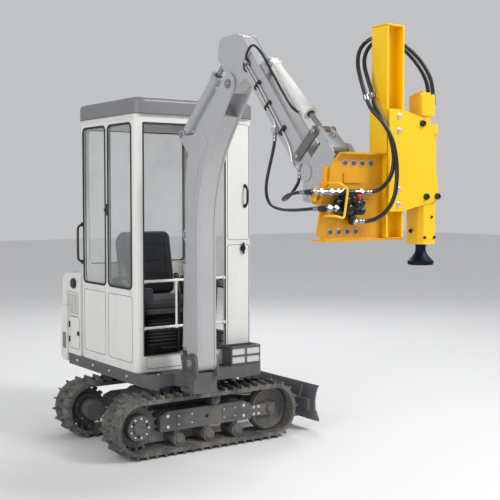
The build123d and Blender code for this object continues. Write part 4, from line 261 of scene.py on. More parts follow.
@dataclass(frozen=True)
class Paint:
    """Sprayed paint: orange peel, dust towards the ground, streaks that run down, a few chips."""

    name: str
    colour: Colour
    dust: Colour = rgb(150, 140, 122)
    dust_share: float = 0.2
    dust_top: float = 0.9
    rough: float = 0.36
    coat: float = 0.25
    chips: float = 0.0
    under: Colour = rgb(70, 66, 62)

    def make(self) -> bpy.types.Material:
        """Builds the material; the dust thins out with height up to dust_top."""
        board = Board(self.name)
        broad, fine = board.noise(5), board.noise(60, 4, 0.6)
        low = board.place.axis("Z").band(self.dust_top, 0.1)
        streak = board.noise(14, 3, 0.6, (1, 1, 0.12)).band(0.5, 0.78)
        dirt = (broad * 0.6 + fine * 0.4).band(0.42, 0.68) * (low * 0.85 + 0.15) * self.dust_share
        dirt = dirt + streak * (0.3 * self.dust_share)
        shade = board.noise(2.2, 2).band(0.3, 0.75) * 0.2
        base = board.blend(shade, self.colour, dimmed(self.colour, 0.8))
        chip = (board.noise(75, 6, 0.72) + board.noise(9, 2) * 0.35).band(0.86, 0.9) * self.chips
        base = board.blend(chip, board.blend(dirt, base, self.dust), self.under)
        peel = board.noise(420, 1)
        return board.surface(
            Base_Color=base,
            Roughness=dirt * 0.4 + fine * 0.1 + self.rough,
            Coat_Weight=self.coat,
            Coat_Roughness=0.14,
            Normal=board.bump(peel * 0.3 + dirt - chip, 0.14, 0.0006),
        )


@dataclass(frozen=True)
class Metal:
    """Bare or plated steel with fine turning marks and stains."""

    name: str
    colour: Colour
    rough: float = 0.25
    stain: float = 0.2

    def make(self) -> bpy.types.Material:
        """Builds the material; stains make it darker and duller."""
        board = Board(self.name)
        stain = board.noise(38, 5, 0.65).band(0.5, 0.75) * self.stain
        grain = board.noise(700, 2, 0.5, (1, 1, 0.2))
        return board.surface(
            Base_Color=board.blend(stain, self.colour, dimmed(self.colour, 0.3)),
            Roughness=stain * 0.5 + grain * 0.08 + self.rough,
            Metallic=1.0,
            Normal=board.bump(grain, 0.08, 0.0002),
        )


@dataclass(frozen=True)
class Rubber:
    """Black rubber with a dusty bloom and scuffs."""

    name: str
    colour: Colour = rgb(38, 39, 43)
    bloom: Colour = rgb(112, 108, 100)
    bloom_share: float = 0.3
    rough: float = 0.55
    grain: float = 90

    def make(self) -> bpy.types.Material:
        """Builds the material; the bloom lies in a broad noise and a fine one."""
        board = Board(self.name)
        fine = board.noise(self.grain, 5, 0.6)
        bloom = (board.noise(7) * 0.55 + fine * 0.45).band(0.4, 0.7) * self.bloom_share
        scuff = board.noise(28, 5, 0.7).band(0.6, 0.72) * self.bloom_share
        bloomed = board.blend(bloom, self.colour, self.bloom)
        return board.surface(
            Base_Color=board.blend(scuff * 0.5, bloomed, self.bloom),
            Roughness=bloom * 0.4 + self.rough,
            Normal=board.bump(fine + scuff, 0.25, 0.001),
        )


@dataclass(frozen=True)
class Plain:
    """A moulded or painted part in one colour with a fine grain and a little dust."""

    name: str
    colour: Colour
    rough: float = 0.5
    grain: float = 0.12
    fineness: float = 300

    def make(self) -> bpy.types.Material:
        """Builds the material."""
        board = Board(self.name)
        grain = board.noise(self.fineness, 2)
        dust = board.noise(24, 4).band(0.5, 0.8) * 0.12
        return board.surface(
            Base_Color=board.blend(dust, self.colour, rgb(120, 116, 108)),
            Roughness=grain * 0.1 + dust + self.rough,
            Normal=board.bump(grain, self.grain, 0.0004),
        )


@dataclass(frozen=True)
class Cloth:
    """Woven seat cloth: threads cross in two waves, and the colour wanders a little."""

    name: str
    colour: Colour
    thread: float = 0.0022

    def make(self) -> bpy.types.Material:
        """Builds the material; the weave is the product of waves along Y and along Z plus X."""
        board = Board(self.name)
        across = board.place.axis("Y").wave(self.thread)
        along = (board.place.axis("Z") + board.place.axis("X")).wave(self.thread)
        weave = across * along
        tone = board.noise(9, 3).band(0.3, 0.75) * 0.35 + weave * 0.3
        return board.surface(
            Base_Color=board.blend(tone, self.colour, dimmed(self.colour, 2.0)),
            Roughness=0.9,
            Sheen_Weight=0.3,
            Normal=board.bump(weave, 0.5, 0.0006),
        )


@dataclass(frozen=True)
class Pane:
    """Window glass: mostly clear, with a faint tint and a little dust."""

    name: str
    tint: Colour = rgb(206, 216, 214)
    body: float = 0.14

    def make(self) -> bpy.types.Material:
        """Builds the material; the tint is a thin film over clear glass."""
        board = Board(self.name)
        dust = board.noise(6, 4).band(0.45, 0.8) * 0.08
        return board.surface(
            Base_Color=self.tint,
            Roughness=0.06,
            Alpha=dust + self.body,
            Coat_Weight=1.0,
            Coat_Roughness=0.03,
        )


Finish = Paint | Metal | Rubber | Plain | Cloth | Pane
SOIL = rgb(128, 118, 102)
YARD = {"dust_top": 3.0, "coat": 0.1}
# each finish of the machine: how it is made, and its material slot in the record
FINISHES: dict[str, tuple[Finish, str]] = {
    "yellow": (
        Paint("driver_yellow", rgb(252, 200, 2), dust_share=0.04, rough=0.34, chips=0.6, **YARD),
        "driver_yellow",
    ),
    # the driver's yellow darkened to paint the shade in the recessed bracket; it also covers the
    # ears, line lugs and welds
    "yellow_deep": (
        Paint("plate_yellow_painted_shade", rgb(224, 158, 2), dust_share=0.05, chips=0.8, **YARD), "driver_yellow"
    ),
    "cab_white": (Paint("cab_white", rgb(226, 226, 222), dust_share=0.24, chips=0.3), "body_paint"),
    "boom_grey": (
        Paint("boom_grey", rgb(172, 173, 176), dust_share=0.26, dust_top=1.6, chips=0.8),
        "boom_paint",
    ),
    "arm_dark": (Paint("arm_dark_grey", rgb(96, 97, 100), dust_top=3.0), "boom_paint"),
    "chassis": (
        Paint("chassis_grey", rgb(84, 85, 88), SOIL, 0.6, 0.7, 0.5, 0.0, 0.8, rgb(110, 84, 64)),
        "chassis_paint",
    ),
    "blade": (
        Paint("blade_grey", rgb(96, 97, 104), SOIL, 0.5, 0.6, 0.42, 0.0, 1.0, rgb(150, 146, 140)),
        "chassis_paint",
    ),
    "roof": (Paint("roof_grey", rgb(118, 119, 122), dust_top=3.0, rough=0.5), "roof_paint"),
    "track": (
        Rubber("track_rubber", rgb(70, 70, 71), rgb(146, 141, 131), 0.75, 0.7, 70), "track_rubber"
    ),
    "hose": (
        Rubber("hose_rubber", rgb(22, 26, 36), rgb(80, 82, 90), 0.06, 0.36, 260), "hose_rubber"
    ),
    "chrome": (Metal("chrome_rod", rgb(160, 162, 168), 0.24, 0.3), "chrome"),
    "zinc": (Metal("zinc_fastener", rgb(226, 226, 224), 0.34, 0.2), "steel"),
    "steel": (Metal("bare_steel", rgb(120, 120, 122), 0.36, 0.6), "steel"),
    "cap_steel": (Metal("cap_steel", rgb(32, 42, 58), 0.4, 0.5), "cast"),
    "black_steel": (Metal("black_steel", rgb(58, 58, 60), 0.42, 0.5), "cast"),
    "valve": (Plain("valve_black", rgb(22, 23, 26), 0.24, 0.3, 160), "valve_black"),
    "glass": (Pane("cab_glass"), "glass"),
    "seal": (Plain("window_seal", rgb(34, 35, 37), 0.6), "hose_rubber"),
    "plastic": (Plain("console_plastic", rgb(62, 63, 66), 0.55), "console_plastic"),
    "cloth": (Cloth("seat_cloth", rgb(44, 46, 51)), "seat_cloth"),
    "red": (Plain("red_cap", rgb(220, 52, 30), 0.35), "valve_black"),
    "nylon": (Plain("nylon_pad", rgb(212, 206, 188), 0.45), "pad_plastic"),
    "inset": (Paint("pale_inset", rgb(206, 206, 203), dust_share=0.3, rough=0.4), "body_paint"),
}


# surfaces


@dataclass
class Shell:
    """Points and faces of a surface before they go into a mesh."""

    points: np.ndarray
    faces: list[tuple[int, ...]]

    @staticmethod
    def grid(grid: np.ndarray, capped: bool = True, looped: bool = False) -> "Shell":
        """Makes quads between the rows of a grid whose rows close on themselves.

        Args:
            grid: points in rows and columns, as (rows, columns, 3).
            capped: whether the first and last rows are closed by a face.
            looped: whether the last row joins the first, as on a ring.

        Returns:
            The surface; quad (r, c) joins its neighbours in both directions.
        """
        rows, columns = grid.shape[:2]
        index = np.arange(rows * columns).reshape(rows, columns)
        here = np.vstack([index, index[:1]]) if looped else index
        beside = np.roll(here, -1, axis=1)
        quads = np.stack([here[:-1], beside[:-1], beside[1:], here[1:]], axis=-1).reshape(-1, 4)
        faces = [tuple(q) for q in quads.tolist()]
        if capped and not looped:
            faces += [tuple(index[0, ::-1].tolist()), tuple(index[-1].tolist())]
        return Shell(grid.reshape(-1, 3), faces)

    def turned_out(self, turned: bool = True) -> "Shell":
        """The surface with its faces the other way round where turned."""
        return Shell(self.points, [face[::-1] for face in self.faces]) if turned else self

    def mirrored(self) -> "Shell":
        """The surface on the other side of the machine's middle, x turned about, faces outwards."""
        return Shell(self.points * (-1, 1, 1), self.faces).turned_out()


def joined(shells: Iterable[Shell]) -> Shell:
    """All the surfaces as one."""
    parts = list(shells)
    shifts = np.cumsum([0] + [len(part.points) for part in parts[:-1]]).tolist()
    faces = [tuple(i + n for i in face) for part, n in zip(parts, shifts) for face in part.faces]
    return Shell(np.vstack([part.points for part in parts]), faces)


def unit(vectors: Any) -> np.ndarray:
    """The vectors with their length made 1."""
    v = np.array(vectors, float)
    return v / np.linalg.norm(v, axis=-1, keepdims=True)


def turns(count: int) -> np.ndarray:
    """Even angles round a circle."""
    return np.linspace(0, 2 * np.pi, count, endpoint=False)


def frame_of(axis: Place) -> tuple[np.ndarray, np.ndarray, np.ndarray]:
    """Two directions across an axis and the axis itself, all of length 1, right-handed."""
    w = unit(axis)
    u = unit(np.cross((0, 0, 1) if abs(w[2]) < 0.9 else (1, 0, 0), w))
    return u, np.cross(w, u), w


def lathe(
    at: Place, axis: Place, profile: Flat, segments: int = 24, flats: int = 0, looped: bool = False
) -> Shell:
    """Turns a profile about an axis: point = at + h*w + r(a)*(cos a*u + sin a*v).

    Args:
        at: where the axis starts.
        axis: its direction.
        profile: pairs of radius and height along the axis, in millimetres.
        segments: how many points go round.
        flats: a nut's flats; r(a) is the radius over the cosine from the flat's middle.
        looped: whether the profile's end joins its start, as on a ring.

    Returns:
        The closed surface.
    """
    u, v, w = frame_of(axis)
    turn = turns(segments)
    radius, height = MM * np.array(profile, float).T
    swell = np.ones_like(turn)
    if flats:
        part = 2 * np.pi / flats
        swell = np.cos(np.pi / flats) / np.cos((turn % part) - part / 2)
    ring = (np.cos(turn) * swell)[:, None] * u + (np.sin(turn) * swell)[:, None] * v
    grid = np.array(at, float) + height[:, None, None] * w + radius[:, None, None] * ring[None]
    return Shell.grid(grid, looped=looped)


def hoop(at: Place, axis: Place, section: Flat, segments: int = 32) -> Shell:
    """A closed ring of a section, which runs counterclockwise; the arguments are lathe's."""
    return lathe(at, axis, section, segments, looped=True)


HEX = 6
CAP_NUT = (
    (1, 0), (1, 0.3), (0.9, 0.36), (0.86, 0.62), (0.74, 0.8), (0.5, 0.84), (0.42, 0.6), (0.2, 0.56)
)
UNION_SHOULDER = ((1, 0), (1.2, 0.04), (1.2, 1))
UNION_HEXAGON = ((1.2, 0), (1.42, 0.05), (1.42, 0.5), (1.2, 0.56))


def scaled(profile: Flat, wide: float, high: float = 1.0) -> list[Pair]:
    """A profile with its radii and heights multiplied."""
    return [(r * wide, h * high) for r, h in profile]


def placed(name: str, data: bpy.types.ID) -> bpy.types.Object:
    """A new object of this data in the scene."""
    made = bpy.data.objects.new(name, data)
    bpy.context.scene.collection.objects.link(made)
    return made


def hex_bolt(at: Place, axis: Place, size: float, washer: bool = True) -> Shell:
    """A hexagon head with its chamfer and a round mark on top, on a washer.

    Args:
        at: the middle of the seat.
        axis: the way it stands out.
        size: the thread's diameter in millimetres.
        washer: whether a washer lies under it.

    Returns:
        The closed surfaces; the head is one size from its middle to its corners and 0.65 high.
    """
    base = 0.16 * size if washer else 0.0
    head = ((0.99, 0), (0.99, 0.5), (0.86, 0.63), (0.62, 0.65), (0.58, 0.6))
    made = lathe(at, axis, [(r * size, base + h * size) for r, h in head], 24, HEX)
    under = [(1.3 * size, 0), (1.3 * size, base * 0.8), (1.24 * size, base)]
    return joined([made, lathe(at, axis, under)]) if washer else made


def union_nut(at: Place, axis: Place, bore: float, length: float) -> Shell:
    """A hose or pipe union: a turned body with a hexagon round its middle.

    Args:
        at: where it starts.
        axis: its direction.
        bore: the radius that it starts with, in millimetres.
        length: how long it is, in millimetres.

    Returns:
        The closed surfaces.
    """
    start = np.array(at) + 0.22 * MM * length * unit(axis)
    shoulder, hexagon = scaled(UNION_SHOULDER, bore, length), scaled(UNION_HEXAGON, bore, length)
    return joined([lathe(at, axis, shoulder), lathe(start, axis, hexagon, 24, HEX)])


def spun(profile: Flat, spots: Iterable[Spot], segments: int = 24, flats: int = 0) -> list[Shell]:
    """The same turned piece at each spot; the arguments are lathe's."""
    return [lathe(at, axis, profile, segments, flats) for at, axis in spots]


def bolts(size: float, spots: Iterable[Spot], washer: bool = True) -> list[Shell]:
    """The same bolt at each spot; the arguments are hex_bolt's."""
    return [hex_bolt(at, axis, size, washer) for at, axis in spots]


def nuts(radius: float, spots: Iterable[Spot]) -> list[Shell]:
    """Round cap nuts: a collar of this radius, a waist, a low dome and a hollow in its middle."""
    return spun(scaled(CAP_NUT, radius, radius), spots, 28)


def flanks(level: float, pairs: Flat) -> list[Spot]:
    """Places x, z on the left side at y = level, then on the right side at y = -level."""
    return Face.LEFT.spots(level, pairs) + Face.RIGHT.spots(-level, pairs)


def circle(radius: float, angles: Iterable[float], middle: Pair = (0, 0)) -> list[Pair]:
    """Pairs on a circle: the middle plus the radius times each angle's cosine and sine."""
    a, b = middle
    return [(a + radius * math.cos(t), b + radius * math.sin(t)) for t in angles]


def tube(
    path: Sequence[Point] | np.ndarray, radius: float | np.ndarray, segments: int = 12
) -> Shell:
    """Carries a circle along a path: point = p(i) + r(i)*(cos a*n(i) + sin a*b(i)).

    Args:
        path: the points of the middle line.
        radius: one radius, or one for each point.
        segments: how many points go round.

    Returns:
        The closed surface; n(i) keeps as near as it can to one direction across the path.
    """
    p = np.array(path, float)
    tangent = unit(np.gradient(p, axis=0))
    helper = np.eye(3)[np.abs(tangent).max(axis=0).argmin()]
    n = unit(helper - (tangent @ helper)[:, None] * tangent)
    b = np.cross(tangent, n)
    r = np.broadcast_to(np.array(radius, float), (len(p),))[:, None, None]
    turn = turns(segments)[None, :, None]
    return Shell.grid(p[:, None] + r * (np.cos(turn) * n[:, None] + np.sin(turn) * b[:, None]))


def curve_through(points: Sequence[Point], count: int = 40) -> np.ndarray:
    """A smooth path through points: cubics whose slope at a point is half its neighbours' step.

    Args:
        points: what it goes through.
        count: how many points it gets.

    Returns:
        The points of the path.
    """
    p = np.array(points, float)
    p = np.vstack([2 * p[0] - p[1], p, 2 * p[-1] - p[-2]])
    s = np.linspace(0, len(points) - 1 - 1e-6, count)
    i = s.astype(int)
    t = (s - i)[:, None]
    a, b, c, d = p[i], p[i + 1], p[i + 2], p[i + 3]
    square, cube = 2 * a - 5 * b + 4 * c - d, 3 * b - a - 3 * c + d
    return 0.5 * (2 * b + (c - a) * t + square * t**2 + cube * t**3)


def block(low: Point, high: Point, edge: float = 0.003) -> Shell:
    """A box with chamfered edges, as four eight-sided rings stacked along Z.

    Args:
        low: its lowest corner.
        high: its highest corner.
        edge: the chamfer.

    Returns:
        The closed surface.
    """
    (x0, y0, z0), (x1, y1, z1) = low, high

    def ring(inset: float, z: float) -> list[Point]:
        """An eight-sided ring, its sides moved in by inset."""
        a, b, c, d, e = x0 + inset, x1 - inset, y0 + inset, y1 - inset, edge
        right = [(a + e, c), (b - e, c), (b, c + e), (b, d - e)]
        left = [(b - e, d), (a + e, d), (a, d - e), (a, c + e)]
        return [(x, y, z) for x, y in right + left]

    rows = [ring(edge, z0), ring(0, z0 + edge), ring(0, z1 - edge), ring(edge, z1)]
    return Shell.grid(np.array(rows))


def round_box(
    middle: Pair, width: float, height: float, radius: float, steps: int = 6
) -> np.ndarray:
    """A rectangle with round corners: a quarter circle about each corner's centre.

    Args:
        middle: its middle.
        width: its first side.
        height: its second side.
        radius: its corners' radius.
        steps: points in each corner.

    Returns:
        The loop's points as pairs, counterclockwise.
    """
    turn = np.linspace(0, np.pi / 2, steps)[None] + np.arange(4)[:, None] * np.pi / 2
    signs = np.array([[1, 1], [-1, 1], [-1, -1], [1, -1]])
    centres = signs * (width / 2 - radius, height / 2 - radius) + middle
    quarters = radius * np.stack([np.cos(turn), np.sin(turn)], axis=-1)
    return (centres[:, None] + quarters).reshape(-1, 2)


def grown(loop: np.ndarray, amount: float) -> np.ndarray:
    """A closed loop moved outwards: each point goes along the mean of its two sides' normals.

    Args:
        loop: pairs, counterclockwise.
        amount: how far outwards; inwards where negative.

    Returns:
        The moved loop; corners move by amount over the cosine of half their turn.
    """
    side = unit(np.roll(loop, -1, axis=0) - loop)
    normal = np.stack([side[:, 1], -side[:, 0]], axis=1)
    mean = normal + np.roll(normal, 1, axis=0)
    mean /= (mean * mean).sum(axis=1)[:, None] / 2
    return loop + amount * mean


def counterclockwise(loop: Flat) -> np.ndarray:
    """The loop's points, in reverse if they ran clockwise."""
    flat = np.array(loop, float)
    beside = np.roll(flat, -1, axis=0)
    area = (flat[:, 0] * beside[:, 1] - beside[:, 0] * flat[:, 1]).sum()
    return flat if area > 0 else flat[::-1]


def sheet(face: Face, level: float, outline: Flat, thick: float, edge: float = 0.0015) -> Shell:
    """A flat plate on a side: the outline, its copy at full height and one moved in by the edge.

    Args:
        face: the side.
        level: where the side lies.
        outline: the plate's corners.
        thick: how far it stands out.
        edge: the chamfer of its outer edge.

    Returns:
        The closed surface.
    """
    loop = counterclockwise(outline)
    rows = [(loop, 0.0), (loop, thick - edge), (grown(loop, -edge), thick)]
    grid = np.stack([face.lift(flat, level, h) for flat, h in rows])
    return Shell.grid(grid).turned_out(face.turned)


def strip(face: Face, level: float, loop: Flat, section: Flat) -> Shell:
    """A closed frame along a loop on a side: each row is the loop grown by s, at the height h.

    Args:
        face: the side.
        level: where the side lies.
        loop: the frame's middle line.
        section: pairs of growth and height in millimetres, counterclockwise.

    Returns:
        The closed surface.
    """
    flat = counterclockwise(loop)
    rows = np.stack([face.lift(grown(flat, MM * s), level, MM * h) for s, h in section])
    return Shell.grid(rows, looped=True).turned_out(face.turned)


def seam(start: Point, end: Point, radius: float = 0.004, ripple: float = 0.006) -> Shell:
    """A weld bead: a straight tube whose radius swells by a fifth once every ripple.

    Args:
        start: where it starts.
        end: where it ends.
        radius: its middle radius.
        ripple: the length of one swelling.

    Returns:
        The closed surface.
    """
    way = np.subtract(end, start)
    length = float(np.linalg.norm(way))
    s = np.linspace(0, length, max(8, int(length / ripple * 4)))
    line = np.array(start) + s[:, None] / length * way
    return tube(line, radius * (1 + 0.2 * np.sin(2 * np.pi * s / ripple)), 6)


def both_sides(level: float) -> tuple[tuple[Face, float], ...]:
    """The left side at y = level, then the right side at y = -level."""
    return (Face.LEFT, level), (Face.RIGHT, -level)


# sections of strips: pairs of how far outside the loop and how high
SEAL = ((7, -2), (7, 3), (4, 6), (-4, 6), (-8, 2), (-8, -2))
SHUT_LINE = ((1.4, -1), (1.4, 0.8), (-1.4, 0.8), (-1.4, -1))


# what every sub-assembly does


@dataclass
class Assembly:
    """A part of the machine: puts its surfaces into the scene and dresses its CAD nodes.

    DRESSED lists the CAD nodes of each finish, and BODY is the body that its pieces ride on.
    """

    palette: dict[str, bpy.types.Material]
    DRESSED: ClassVar[dict[str, str]] = {}
    BODY: ClassVar[str] = "house"
    SHARP_ANGLE: ClassVar[float] = 32

    def build(self) -> None:
        """Dresses the nodes, then makes the pieces."""
        for finish, nodes in self.DRESSED.items():
            for name in nodes.split():
                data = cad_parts[name].data
                data.materials.clear()
                data.materials.append(self.palette[finish])
        self.detail()

    def detail(self) -> None:
        """Makes the pieces; each sub-assembly has its own."""

    def make(self, name: str, shells: Iterable[Shell] | Shell, finish: str) -> bpy.types.Object:
        """Makes an object of surfaces, shaded smooth with its sharp edges kept.

        Args:
            name: the piece's name.
            shells: its surfaces.
            finish: the name of its finish.

        Returns:
            The object.
        """
        shell = shells if isinstance(shells, Shell) else joined(shells)
        mesh = bpy.data.meshes.new(name)
        mesh.from_pydata(shell.points.tolist(), [], shell.faces)
        mesh.validate()
        mesh.shade_smooth()
        mesh.set_sharp_from_angle(angle=math.radians(self.SHARP_ANGLE))
        mesh.materials.append(self.palette[finish])
        made = placed(name, mesh)
        log.info("%s: %d points, %s", name, len(shell.points), finish)
        return made

    def put(
        self, name: str, shells: Iterable[Shell] | Shell, finish: str, body: str = ""
    ) -> bpy.types.Object:
        """Makes an object as make does, and lets it ride on a body, by default BODY."""
        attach(made := self.make(name, shells, finish), body or self.BODY)
        return made


# the view


@dataclass
class Studio:
    """Camera, lights and floor."""

    eye: Point = (5.93, -3.43, 1.69)
    heading: Pair = (-0.824, 0.566)
    pitch: float = 3.14
    focal_pixels: float = 972.0
    picture_pixels: float = 500
    sensor: float = 36.0
    floor_half: float = 30.0
    floor_white: float = 0.8
    sky_tint: Colour = (0.97, 0.98, 1.0, 1)
    sky: float = 0.55
    machine_middle: Point = (0.8, 0, 1.2)
    # each lamp's name, place, power in watts and side in metres
    lamps: Sequence[tuple[str, Point, float, float]] = (
        ("key", (6.0, 3.5, 6.5), 430, 2.4),
        ("fill", (3.0, -7.0, 4.0), 205, 4.0),
        ("back", (-5.0, 4.0, 5.5), 150, 3.0),
    )

    def set_up(self) -> None:
        """Makes the camera, the floor, the lamps and the sky."""
        self.camera()
        self.floor()
        for name, at, power, size in self.lamps:
            data = bpy.data.lights.new(name, "AREA")
            data.energy, data.size = power, size
            self.aimed(name, data, at, Vector(self.machine_middle) - Vector(at))
        world = bpy.data.worlds.new("sky")
        bpy.context.scene.world = world
        world.use_nodes = True
        background = world.node_tree.nodes["Background"].inputs
        background["Color"].default_value = self.sky_tint
        background["Strength"].default_value = self.sky
        bpy.context.scene.view_settings.view_transform = "Standard"

    def camera(self) -> None:
        """The camera at the photograph's place, with its direction and focal length."""
        data = bpy.data.cameras.new("photo_camera")
        data.sensor_width = self.sensor
        data.lens = self.focal_pixels * data.sensor_width / self.picture_pixels
        data.clip_end = 100
        down = math.radians(self.pitch)
        look = (*(part * math.cos(down) for part in self.heading), -math.sin(down))
        bpy.context.scene.camera = self.aimed("photo_camera", data, self.eye, Vector(look))

    def floor(self) -> None:
        """A pale square floor, which isn't part of the machine."""
        h, white = self.floor_half, self.floor_white
        mesh = bpy.data.meshes.new("studio_floor")
        mesh.from_pydata([(-h, -h, 0), (h, -h, 0), (h, h, 0), (-h, h, 0)], [], [(0, 1, 2, 3)])
        board = Board("floor_pale")
        mesh.materials.append(board.surface(Base_Color=(white, white, white, 1), Roughness=0.9))
        placed("studio_floor", mesh)

    def aimed(self, name: str, data: bpy.types.ID, at: Point, way: Vector) -> bpy.types.Object:
        """A camera or lamp in the scene that looks along a direction.

        Args:
            name: its name.
            data: the camera or the lamp.
            at: its place.
            way: the direction.

        Returns:
            The object.
        """
        made = placed(name, data)
        made.location = at
        made.rotation_mode = "QUATERNION"
        made.rotation_quaternion = way.to_track_quat("-Z", "Y")
        return made


# hoses


@dataclass(frozen=True)
class HoseRun:
    """One hose: its route's points; the two bodies it runs between and two places are unused."""

    name: str
    diameter: float
    joins: tuple[str, str]
    bends: tuple[Point, Point]
    points: Sequence[Point]


OVER_THE_MAST = ((2.0, 0.05, 2.4), (2.0, 0.36, 2.4))
UNDER_THE_ARM = ((1.50, -0.3, 1.7), (1.98, -0.3, 1.7))
BESIDE_THE_HITCH = ((1.72, -0.3, 1.7), (1.98, -0.3, 1.7))
DRIVER_HOSE_A = (
    (2.132, -0.1095, 1.712), (2.132, -0.060, 1.712), (2.148, -0.004, 1.730), (2.172, 0.036, 1.784),
    (2.182, 0.052, 1.862), (2.180, 0.046, 1.944), (2.166, 0.028, 2.030), (2.128, 0.002, 2.110),
    (2.084, -0.002, 2.166), (2.066, 0.004, 2.222), (2.040, -0.010, 2.310), (2.000, -0.004, 2.396),
    (1.980, 0.036, 2.474), (1.976, 0.112, 2.530), (1.982, 0.204, 2.546), (2.004, 0.296, 2.512),
    (2.040, 0.368, 2.440), (2.072, 0.414, 2.350), (2.084, 0.426, 2.270), (2.084, 0.426, 2.2065),
)
DRIVER_HOSE_B = (
    (2.132, -0.1595, 1.562), (2.132, -0.100, 1.562), (2.158, -0.046, 1.574), (2.188, 0.000, 1.614),
    (2.206, 0.038, 1.690), (2.208, 0.050, 1.790), (2.206, 0.046, 1.890), (2.196, 0.026, 1.990),
    (2.160, -0.010, 2.080), (2.098, -0.034, 2.140), (2.060, -0.036, 2.206), (2.030, -0.044, 2.290),
    (1.986, -0.036, 2.390), (1.954, 0.008, 2.480), (1.948, 0.094, 2.544), (1.952, 0.190, 2.556),
    (1.966, 0.290, 2.516), (1.998, 0.368, 2.440), (2.034, 0.414, 2.350), (2.050, 0.426, 2.270),
    (2.050, 0.426, 2.2065),
)
SUPPLY_HOSE_A = (
    (1.500, -0.218, 2.0445), (1.500, -0.218, 1.996), (1.486, -0.227, 1.920), (1.472, -0.238, 1.846),
    (1.466, -0.250, 1.782), (1.476, -0.262, 1.728), (1.504, -0.275, 1.683), (1.550, -0.290, 1.652),
    (1.620, -0.308, 1.632), (1.712, -0.330, 1.622), (1.812, -0.352, 1.619), (1.912, -0.371, 1.621),
    (2.004, -0.382, 1.626), (2.066, -0.3845, 1.630), (2.1135, -0.3845, 1.630),
)
SUPPLY_HOSE_B = (
    (1.730, -0.218, 1.8345), (1.730, -0.218, 1.782), (1.722, -0.240, 1.736), (1.724, -0.276, 1.698),
    (1.744, -0.322, 1.676), (1.790, -0.374, 1.672), (1.856, -0.420, 1.682), (1.936, -0.452, 1.698),
    (2.010, -0.468, 1.708), (2.068, -0.4705, 1.712), (2.1135, -0.4705, 1.712),
)
HOSE_RUNS = (
    HoseRun("driver_hose_a", 0.022, ("driver", "carriage"), OVER_THE_MAST, DRIVER_HOSE_A),
    HoseRun("driver_hose_b", 0.022, ("driver", "carriage"), OVER_THE_MAST, DRIVER_HOSE_B),
    HoseRun("supply_hose_a", 0.018, ("stick", "driver"), UNDER_THE_ARM, SUPPLY_HOSE_A),
    HoseRun("supply_hose_b", 0.018, ("stick", "driver"), BESIDE_THE_HITCH, SUPPLY_HOSE_B),
)


@dataclass
class Hoses(Assembly):
    """The driver's two hoses over the mast and the two supply hoses from the arm."""

    runs: Sequence[HoseRun] = HOSE_RUNS
    segments: int = 16
    steps: int = 8

    def detail(self) -> None:
        """Lays every hose."""
        for run in self.runs:
            self.lay(run)

    def line_of(self, run: HoseRun) -> np.ndarray:
        """Reads the points of a spline of order 3 that has the route's points as control points.

        Args:
            run: the hose.

        Returns:
            The points of its middle line.
        """
        data = bpy.data.curves.new(run.name, "CURVE")
        data.dimensions = "3D"
        spline = data.splines.new("NURBS")
        spline.points.add(len(run.points) - 1)
        weighted = np.c_[np.array(run.points), np.ones(len(run.points))]
        spline.points.foreach_set("co", weighted.ravel())
        spline.order_u = 3
        spline.use_endpoint_u = True
        spline.resolution_u = self.steps
        holder = placed(run.name + "_line", data)
        bpy.context.view_layer.update()
        evaluated = holder.evaluated_get(bpy.context.evaluated_depsgraph_get())
        mesh = bpy.data.meshes.new_from_object(evaluated)
        line = np.empty(len(mesh.vertices) * 3)
        mesh.vertices.foreach_get("co", line)
        bpy.data.objects.remove(holder)
        return line.reshape(-1, 3)

    def lay(self, run: HoseRun) -> None:
        """Args:
            run: the hose.
        """
        line = self.line_of(run)
        made = self.make(run.name + "_rubber", tube(line, run.diameter / 2, self.segments), "hose")
        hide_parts(run.name)
        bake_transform(made)


# post driver


FERRULE = (
    (11.2, 0), (14.6, 2), (14.6, 10), (13.4, 12), (14.6, 14), (14.6, 30), (13.4, 32), (14.6, 34),
    (14.6, 42), (11.5, 45),
)
SLIM_FERRULE = scaled(FERRULE, 0.82)


